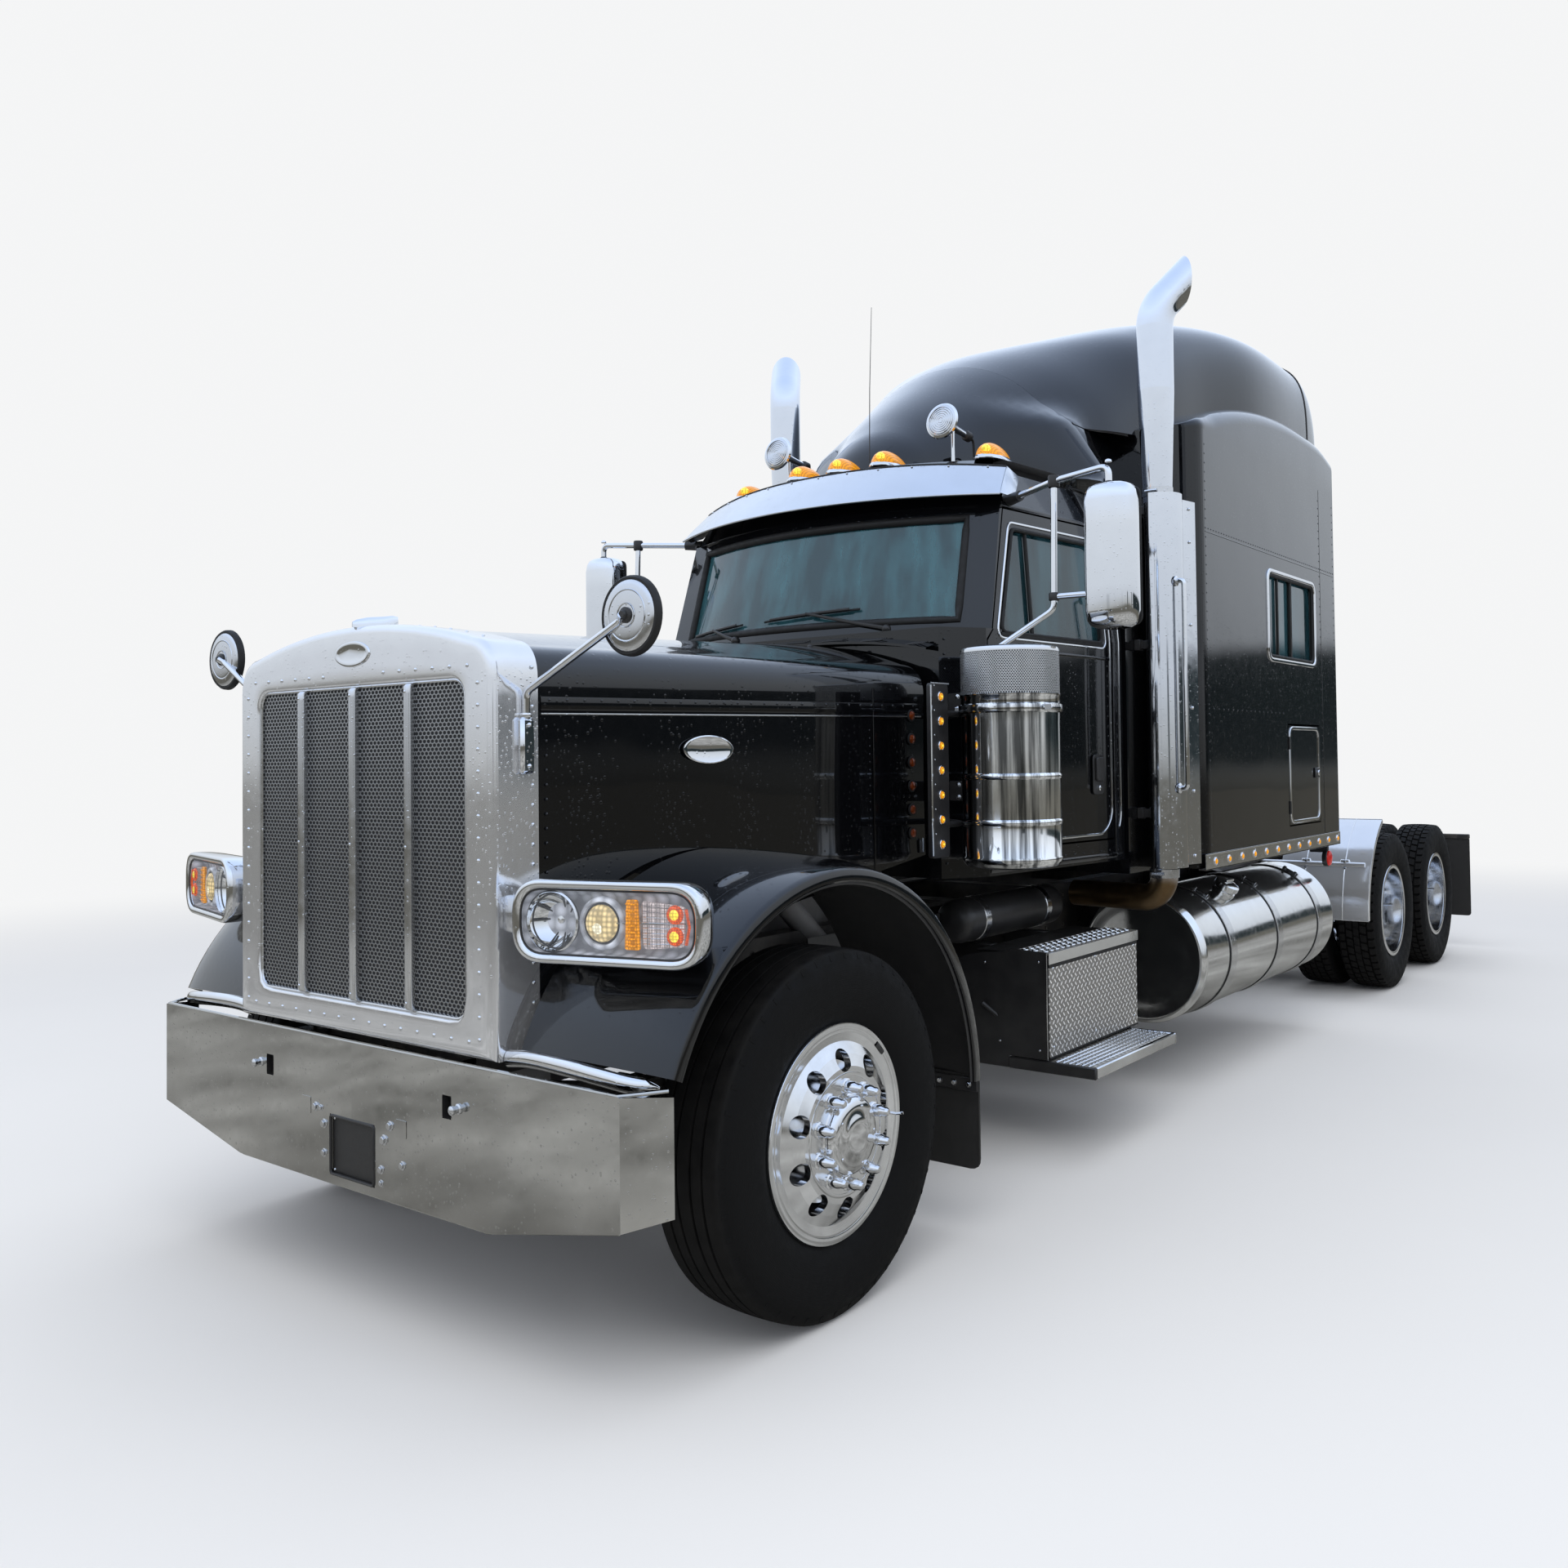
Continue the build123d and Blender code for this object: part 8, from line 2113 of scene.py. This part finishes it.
# dashboard dressing: binnacle, gauges, switches, vents, plain screen, glove box, wheel, column, levers, pedals
k = Kit()
def dash_pt(x, z, out=0.0):
    return V(x, 2620 + out, z)
k.chunk([V(150, 2600, 1860), V(700, 2600, 1860), V(700, 2622, 1860), V(150, 2622, 1860), V(170, 2520, 2160), V(680, 2520, 2160), V(680, 2640, 2130), V(170, 2640, 2130)], TRIM, 16)
k.prism([V(x, 2632, z) for x, z in rounded([(196, 1908), (660, 1908), (640, 2112), (216, 2112)], 30, 5)], Vector((0, 0.006, 0)), BLACKBOX, 2)
for x, z, r in ((340, 2020, 62), (500, 2020, 62), (250, 2058, 30), (250, 1968, 30), (600, 2058, 30), (600, 1968, 30), (420, 1940, 24), (420, 2085, 22)):
    c = V(x, 2637, z)
    k.lathe([(r, -1), (r + 3, 3), (r + 1, 8), (r - 4, 6), (r - 5, 1)], c, (0, 1, 0), CHROME, 32)
    k.lathe([(r - 4, 2), (0.05, 2)], c, (0, 1, 0), TRIM, 32)
    for i in range(11):
        a = radians(225 - 27 * i)
        d = Vector((cos(a), 0, sin(a)))
        k.tube([c + d * (r - 14) / 1000 + Vector((0, 0.003, 0)), c + d * (r - 7) / 1000 + Vector((0, 0.003, 0))], 1.1, FROST, 4)
    a = radians(210)
    k.tube([c + Vector((0, 0.005, 0)), c + Vector((cos(a), 0, sin(a))) * (r - 12) / 1000 + Vector((0, 0.005, 0))], 1.4, RED, 4)
    k.dome(c + Vector((0, 0.002, 0)), (0, 1, 0), 5, 6, BLACKBOX)
# centre panel
k.chunk([V(-330, 2600, 1830), V(140, 2600, 1830), V(140, 2624, 1830), V(-330, 2624, 1830), V(-330, 2540, 2150), V(140, 2540, 2150), V(140, 2630, 2140), V(-330, 2630, 2140)], TRIM, 14)
k.prism([V(x, 2628, z) for x, z in rounded([(-180, 1990), (60, 1990), (60, 2110), (-180, 2110)], 10, 3)], Vector((0, 0.007, 0)), BLACKBOX, 2)
k.prism([V(x, 2635, z) for x, z in rounded([(-160, 2008), (40, 2008), (40, 2094), (-160, 2094)], 6, 3)], Vector((0, 0.002, 0)), TINT, 0.6)
for j in range(2):
    for i in range(7):
        x = -290 + i * 58
        k.box(x, x + 42, 2626, 2634, 1925 - j * 56, 1965 - j * 56, BLACKBOX, 3)
        k.box(x + 6, x + 36, 2632, 2640, 1932 - j * 56, 1958 - j * 56, VINYL, 4)
for x in (-290, -240, 90):
    k.lathe([(19, 0), (18, 12), (14, 18), (0.05, 19)], V(x, 2628, 2050), (0, 1, 0), BLACKBOX, 20)
for x0 in (-740, -460, 120, 690):
    w = 90 if x0 != 120 else 40
    if x0 == 120:
        continue
    x1 = x0 + w if x0 < 690 else 770
    k.box(x0, x1, 2616, 2628, 2030, 2110, BLACKBOX, 5)
    for i in range(5):
        k.box(x0 + 6, x1 - 6, 2622, 2634, 2038 + i * 14, 2042 + i * 14, TRIM, 1)
k.prism([V(x, 2620, z) for x, z in rounded([(-740, 1830), (-380, 1830), (-380, 2000), (-740, 2000)], 16, 4)], Vector((0, 0.010, 0)), VINYL, 4)
k.tube(bent([V(-600, 2628, 1975), V(-600, 2646, 1975), V(-520, 2646, 1975), V(-520, 2628, 1975)], 8), 6, CHROME, 8)
k.strip([V(x, 2560, 2152) for x in (-770, -400, 0, 140)], Vector((0, 0, 1)), 60, 3, VINYL)
# wheel: leather rim, four spokes, hub pad
ax = Vector((0, sin(radians(66)), cos(radians(66))))
wc = V(430, 2768, 2070)
u = Vector((1, 0, 0))
w2 = ax.cross(u).normalized()
pts = [wc + (u * cos(2 * pi * i / 48) + w2 * sin(2 * pi * i / 48)) * 0.210 for i in range(49)]
k.tube(pts, 16.4, VINYL, 14, caps=False)
for a in (28, 152, 208, 332):
    d = u * cos(radians(a)) + w2 * sin(radians(a))
    k.tube([wc + d * 0.045 + ax * 0.004, wc + d * 0.12, wc + d * 0.198], [15, 11, 9], STAINLESS, 10, squash=0.5)
    for q in (0.075, 0.10):
        k.lathe([(8, -6), (9, 0), (8, 6)], wc + d * q, ax, BLACKBOX, 12)
k.lathe([(0.05, 34), (30, 33), (52, 26), (62, 12), (62, -10), (50, -20), (34, -40)], wc, ax, VINYL, 40)
k.tube([wc - ax * 0.03, V(430, 2680, 2032), V(430, 2600, 1995)], [32, 36, 44], TRIM, 20)
k.tube([V(430 - 30, 2700, 2040), V(330, 2706, 2050), V(270, 2716, 2058)], [9, 8, 12], TRIM, 10)
k.tube([V(430 + 30, 2700, 2040), V(530, 2706, 2036), V(580, 2716, 2030)], [9, 8, 11], TRIM, 10)
# pedals
for x, w, h in ((560, 34, 60), (455, 45, 52), (340, 28, 130)):
    k.chunk([V(x - w, 2470, 1290), V(x + w, 2470, 1290), V(x + w, 2484, 1296), V(x - w, 2484, 1296), V(x - w, 2424, 1290 + h * 1.3), V(x + w, 2424, 1290 + h * 1.3), V(x + w, 2438, 1296 + h * 1.3), V(x - w, 2438, 1296 + h * 1.3)], SEAL, 4)
    k.tube([V(x, 2440, 1320 + h * 0.5), V(x, 2400, 1500), V(x, 2396, 1760)], 9, IRON, 8)
# gear lever with a boot
k.lathe([(80, 1231), (76, 1250), (62, 1270), (66, 1284), (46, 1310), (50, 1324), (30, 1352), (18, 1372)], V(160, 2590, 0), (0, 0, 1), SEAL, 28)
k.tube([V(160, 2590, 1360), V(164, 2596, 1600), V(170, 2604, 1800)], [10, 9, 8], CHROME, 10)
k.lathe([(0.05, 1796), (16, 1798), (26, 1820), (30, 1850), (24, 1880), (0.05, 1892)], V(170, 2604, 0), (0, 0, 1), VINYL, 24)
k.done("dash_dressing", "chassis")

# linings: headliner over the cab, quilted walls in the sleeper, lockers, curtain rail
k = Kit()
def quilt(p00, p10, p11, p01, nu, nv, mat, puff=0.012):
    """A buttoned panel: bilinear sheet, each square swelling towards its middle."""
    p00, p10, p11, p01 = map(Vector, (p00, p10, p11, p01))
    nrm = (p10 - p00).cross(p01 - p00).normalized()
    m = 4
    rings = []
    for j in range(nv * m + 1):
        v = j / (nv * m)
        row = []
        for i in range(nu * m + 1):
            t = i / (nu * m)
            b = p00.lerp(p10, t).lerp(p01.lerp(p11, t), v)
            row.append(b + nrm * puff * (abs(sin(pi * t * nu)) ** 0.5) * (abs(sin(pi * v * nv)) ** 0.5))
        rings.append(row)
    k.skin(rings, mat, closed=False)
for sg in (1, -1):
    a, b, c, d = V(sg * 1173, 3860, 1200), V(sg * 1173, 5000, 1200), V(sg * 1173, 5000, 2160), V(sg * 1173, 3860, 2160)
    if sg > 0:
        quilt(b, a, d, c, 5, 4, VINYL)
    else:
        quilt(a, b, c, d, 5, 4, VINYL)
    a, b, c, d = V(sg * 1173, 3860, 2720), V(sg * 1173, 6000, 2720), V(sg * 1173, 6000, 3270), V(sg * 1173, 3860, 3270)
    if sg > 0:
        quilt(b, a, d, c, 9, 2, VINYL)
    else:
        quilt(a, b, c, d, 9, 2, VINYL)
quilt(V(1160, 5999, 2060), V(-1160, 5999, 2060), V(-1160, 5999, 3270), V(1160, 5999, 3270), 9, 5, VINYL)
quilt(V(780, 2700, 2978), V(-780, 2700, 2978), V(-860, 3360, 2972), V(860, 3360, 2972), 6, 3, HEADLINER, 0.004)
k.tube([V(-440, 3404, 2600), V(0, 3404, 2606), V(440, 3404, 2600)], 9, STAINLESS, 10)
for sg in (1, -1):
    for i in range(7):
        k.tube([V(sg * (300 + i * 20), 3406 + (8 if i % 2 else -4), 2596), V(sg * (302 + i * 20), 3408 + (8 if i % 2 else -4), 1900), V(sg * (304 + i * 20), 3408 + (8 if i % 2 else -4), 1260)], 12, VINYL, 8)
    k.box(sg * 905, sg * 1168, 3860, 4700, 2760, 3180, TRIM, 12)
    for i in range(2):
        s0 = 3880 + i * 410
        k.box(sg * 900, sg * 908, s0, s0 + 380, 2790, 3150, VINYL, 6)
        k.tube([V(sg * 898, s0 + 150, 2830), V(sg * 888, s0 + 190, 2830), V(sg * 898, s0 + 230, 2830)], 5, CHROME, 8)
# belly step lining of the cab's floor: a ribbed mat in each footwell
for sg in (1, -1):
    for i in range(12):
        k.box(sg * 250, sg * 760, 2650 + i * 18, 2658 + i * 18, 1230, 1235, MAT, 1)
k.done("linings", "chassis")

# ================================================================== floor, light, camera
g = G("floor_pale")
n = g.noise(0.35, 5.0)
x, y, z = g.xyz()
far = g.span(g.math("SQRT", g.math("ADD", g.math("MULTIPLY", x, x), g.math("MULTIPLY", y, y))), 6.5, 15.0, 0.0, 1.0, True)
ray = g.n("ShaderNodeLightPath")
ground = g.mix(g.span(g.noise(1.3, 9.0, rough=0.7), 0.36, 0.62, 0.0, 1.0), (0.22, 0.215, 0.195), (0.62, 0.61, 0.57))
pale = g.mix(n, (0.84, 0.845, 0.85), (0.89, 0.89, 0.89))
m = g.set(base=g.mix(ray.outputs["Is Glossy Ray"], pale, ground), rough=g.span(g.noise(1.2, 6.0), 0.3, 0.7, 0.85, 1.0), normal=g.bump(g.noise(60.0, 4.0), 0.05, 0.002), spec=0.02)
em = g.n("ShaderNodeEmission")
g.put(em.inputs[0], g.mix(ray.outputs["Is Glossy Ray"], (0.91, 0.915, 0.92), (0.15, 0.145, 0.125)))
mxs = g.n("ShaderNodeMixShader")
g.put(mxs.inputs[0], far)
g.t.links.new(g.b.outputs[0], mxs.inputs[1])
g.t.links.new(em.outputs[0], mxs.inputs[2])
g.t.links.new(mxs.outputs[0], g.out.inputs[0])
fv, ff = [], []
R0 = 60.0
N = 48
fv.append((0, 0, -0.002))
for j in range(1, 9):
    r = R0 * (j / 8) ** 2
    for i in range(N):
        fv.append((r * cos(2 * pi * i / N), r * sin(2 * pi * i / N), -0.002))
for i in range(N):
    ff.append((0, 1 + i, 1 + (i + 1) % N))
for j in range(7):
    for i in range(N):
        a, b = 1 + j * N + i, 1 + j * N + (i + 1) % N
        ff.append((a, a + N, b + N, b))
me = bpy.data.meshes.new("studio_floor")
me.from_pydata(fv, [], ff)
me.materials.append(m)
floor = bpy.data.objects.new("studio_floor", me)
bpy.context.scene.collection.objects.link(floor)

world = bpy.data.worlds.new("studio_world")
bpy.context.scene.world = world
world.use_nodes = True
wt = world.node_tree
wt.nodes.clear()
wo = wt.nodes.new("ShaderNodeOutputWorld")
bg = wt.nodes.new("ShaderNodeBackground")
tc = wt.nodes.new("ShaderNodeTexCoord")
sp = wt.nodes.new("ShaderNodeSeparateXYZ")
rp = wt.nodes.new("ShaderNodeValToRGB")
mr = wt.nodes.new("ShaderNodeMapRange")
wt.links.new(tc.outputs["Generated"], sp.inputs[0])
wt.links.new(sp.outputs[2], mr.inputs["Value"])
mr.inputs["From Min"].default_value = -1.0
mr.inputs["From Max"].default_value = 1.0
wt.links.new(mr.outputs[0], rp.inputs[0])
cr = rp.color_ramp
stops = [(0.0, (0.09, 0.088, 0.076)), (0.49, (0.10, 0.098, 0.085)), (0.50, (0.30, 0.31, 0.31)), (0.53, (0.42, 0.45, 0.49)),
         (0.60, (0.52, 0.56, 0.61)), (0.80, (0.60, 0.71, 0.90)), (1.0, (0.46, 0.58, 0.82))]
cr.elements[0].position, cr.elements[0].color = stops[0][0], (*stops[0][1], 1)
cr.elements[1].position, cr.elements[1].color = stops[-1][0], (*stops[-1][1], 1)
for p, c in stops[1:-1]:
    e = cr.elements.new(p)
    e.color = (*c, 1)
# a line of dark trees low down, on the side behind the left flank, with a few gaps and darker masses elsewhere
def wmath(op, a, b=None, clamp=False):
    n = wt.nodes.new("ShaderNodeMath")
    n.operation = op
    n.use_clamp = clamp
    for i, v in enumerate((a, b)):
        if v is None:
            continue
        if isinstance(v, bpy.types.NodeSocket):
            wt.links.new(v, n.inputs[i])
        else:
            n.inputs[i].default_value = v
    return n.outputs[0]


def wspan(v, a, b, c, d):
    n = wt.nodes.new("ShaderNodeMapRange")
    n.interpolation_type = "SMOOTHSTEP"
    wt.links.new(v, n.inputs["Value"])
    for key, x in zip(("From Min", "From Max", "To Min", "To Max"), (a, b, c, d)):
        n.inputs[key].default_value = x
    return n.outputs[0]


def wnoise(v, scale, detail):
    cx = wt.nodes.new("ShaderNodeCombineXYZ")
    wt.links.new(v, cx.inputs[0])
    n = wt.nodes.new("ShaderNodeTexNoise")
    wt.links.new(cx.outputs[0], n.inputs["Vector"])
    n.inputs["Scale"].default_value = scale
    n.inputs["Detail"].default_value = detail
    return n.outputs[0]


az = wmath("ARCTAN2", sp.outputs[0], sp.outputs[1])
flank = wmath("MULTIPLY", wspan(az, 0.02, 0.16, 0.0, 1.0), wspan(az, 1.05, 1.25, 1.0, 0.0))
masses = wmath("MULTIPLY", wspan(wnoise(az, 2.6, 2.0), 0.52, 0.60, 0.0, 0.85), wspan(az, -0.1, 0.1, 0.25, 1.0))
trees = wmath("MAXIMUM", flank, masses)
top = wmath("ADD", 0.068, wmath("MULTIPLY", wnoise(az, 9.0, 6.0), 0.030))
low = wmath("MULTIPLY", wspan(wmath("SUBTRACT", sp.outputs[2], top), -0.012, 0.004, 1.0, 0.0), wspan(sp.outputs[2], -0.02, 0.0, 0.35, 1.0))
dark = wt.nodes.new("ShaderNodeMix")
dark.data_type = "RGBA"
wt.links.new(wmath("MULTIPLY", trees, low), dark.inputs[0])
wt.links.new(rp.outputs[0], dark.inputs[6])
dark.inputs[7].default_value = (0.016, 0.022, 0.024, 1)
lp = wt.nodes.new("ShaderNodeLightPath")
bg2 = wt.nodes.new("ShaderNodeBackground")
bg2.inputs[0].default_value = (0.91, 0.915, 0.92, 1)
bg2.inputs[1].default_value = 1.0
bg.inputs[1].default_value = 1.6
wt.links.new(dark.outputs[2], bg.inputs[0])
bg3 = wt.nodes.new("ShaderNodeBackground")
bg3.inputs[0].default_value = (0.90, 0.93, 1.0, 1)
bg3.inputs[1].default_value = 0.72
mg = wt.nodes.new("ShaderNodeMixShader")
wt.links.new(lp.outputs["Is Glossy Ray"], mg.inputs[0])
wt.links.new(bg3.outputs[0], mg.inputs[1])
wt.links.new(bg.outputs[0], mg.inputs[2])
mx = wt.nodes.new("ShaderNodeMixShader")
wt.links.new(lp.outputs["Is Camera Ray"], mx.inputs[0])
wt.links.new(mg.outputs[0], mx.inputs[1])
wt.links.new(bg2.outputs[0], mx.inputs[2])
wt.links.new(mx.outputs[0], wo.inputs[0])


def area(name, at, to, size, power, color=(1, 1, 1), sy=None, glossy=False):
    d = bpy.data.lights.new(name, "AREA")
    d.shape = "RECTANGLE"
    d.size, d.size_y = size, sy or size
    d.energy = power
    d.color = color
    o = bpy.data.objects.new(name, d)
    bpy.context.scene.collection.objects.link(o)
    a, b = Vector(at), Vector(to)
    o.location = a
    o.rotation_euler = (b - a).to_track_quat("-Z", "Y").to_euler()
    o.visible_glossy = glossy
    return o


area("key_sky", (5.5, -9.0, 10.5), (0, -1.0, 1.5), 8.0, 420, (1.0, 0.99, 0.97))
area("side_strip", (12.0, 1.5, 6.5), (0.8, 0.0, 2.2), 3.0, 160, (0.95, 0.97, 1.0), 12.0)
area("top_soft", (0.0, 1.0, 13.0), (0, 0, 0), 12.0, 380, (0.95, 0.98, 1.0))
area("front_fill", (-7.0, -11.0, 5.5), (0, -4.0, 1.5), 6.0, 120, (0.96, 0.98, 1.0))

cam_d = bpy.data.cameras.new("view_camera")
cam = bpy.data.objects.new("view_camera", cam_d)
bpy.context.scene.collection.objects.link(cam)
yaw, pit, rol = radians(-36.719), radians(1.3755), radians(-0.714)
F = Vector((sin(yaw) * cos(pit), cos(yaw) * cos(pit), sin(pit)))
r0 = Vector((cos(yaw), -sin(yaw), 0.0))
u0 = r0.cross(F)
Rv = r0 * cos(rol) + u0 * sin(rol)
Uv = -r0 * sin(rol) + u0 * cos(rol)
M = Matrix(((Rv.x, Uv.x, -F.x), (Rv.y, Uv.y, -F.y), (Rv.z, Uv.z, -F.z)))
cam.matrix_world = Matrix.Translation(V(3577.5, -2272.7, 1666.6)) @ M.to_4x4()
cam_d.sensor_width = 36.0
cam_d.sensor_fit = "HORIZONTAL"
cam_d.lens = 1584.85 * 36.0 / 1920.0
cam_d.shift_x = -(1032.50 - 960.0) / 1920.0
cam_d.shift_y = (893.40 - 960.0) / 1920.0
cam_d.clip_end = 400.0
bpy.context.scene.camera = cam
bpy.context.scene.view_settings.view_transform = "Standard"
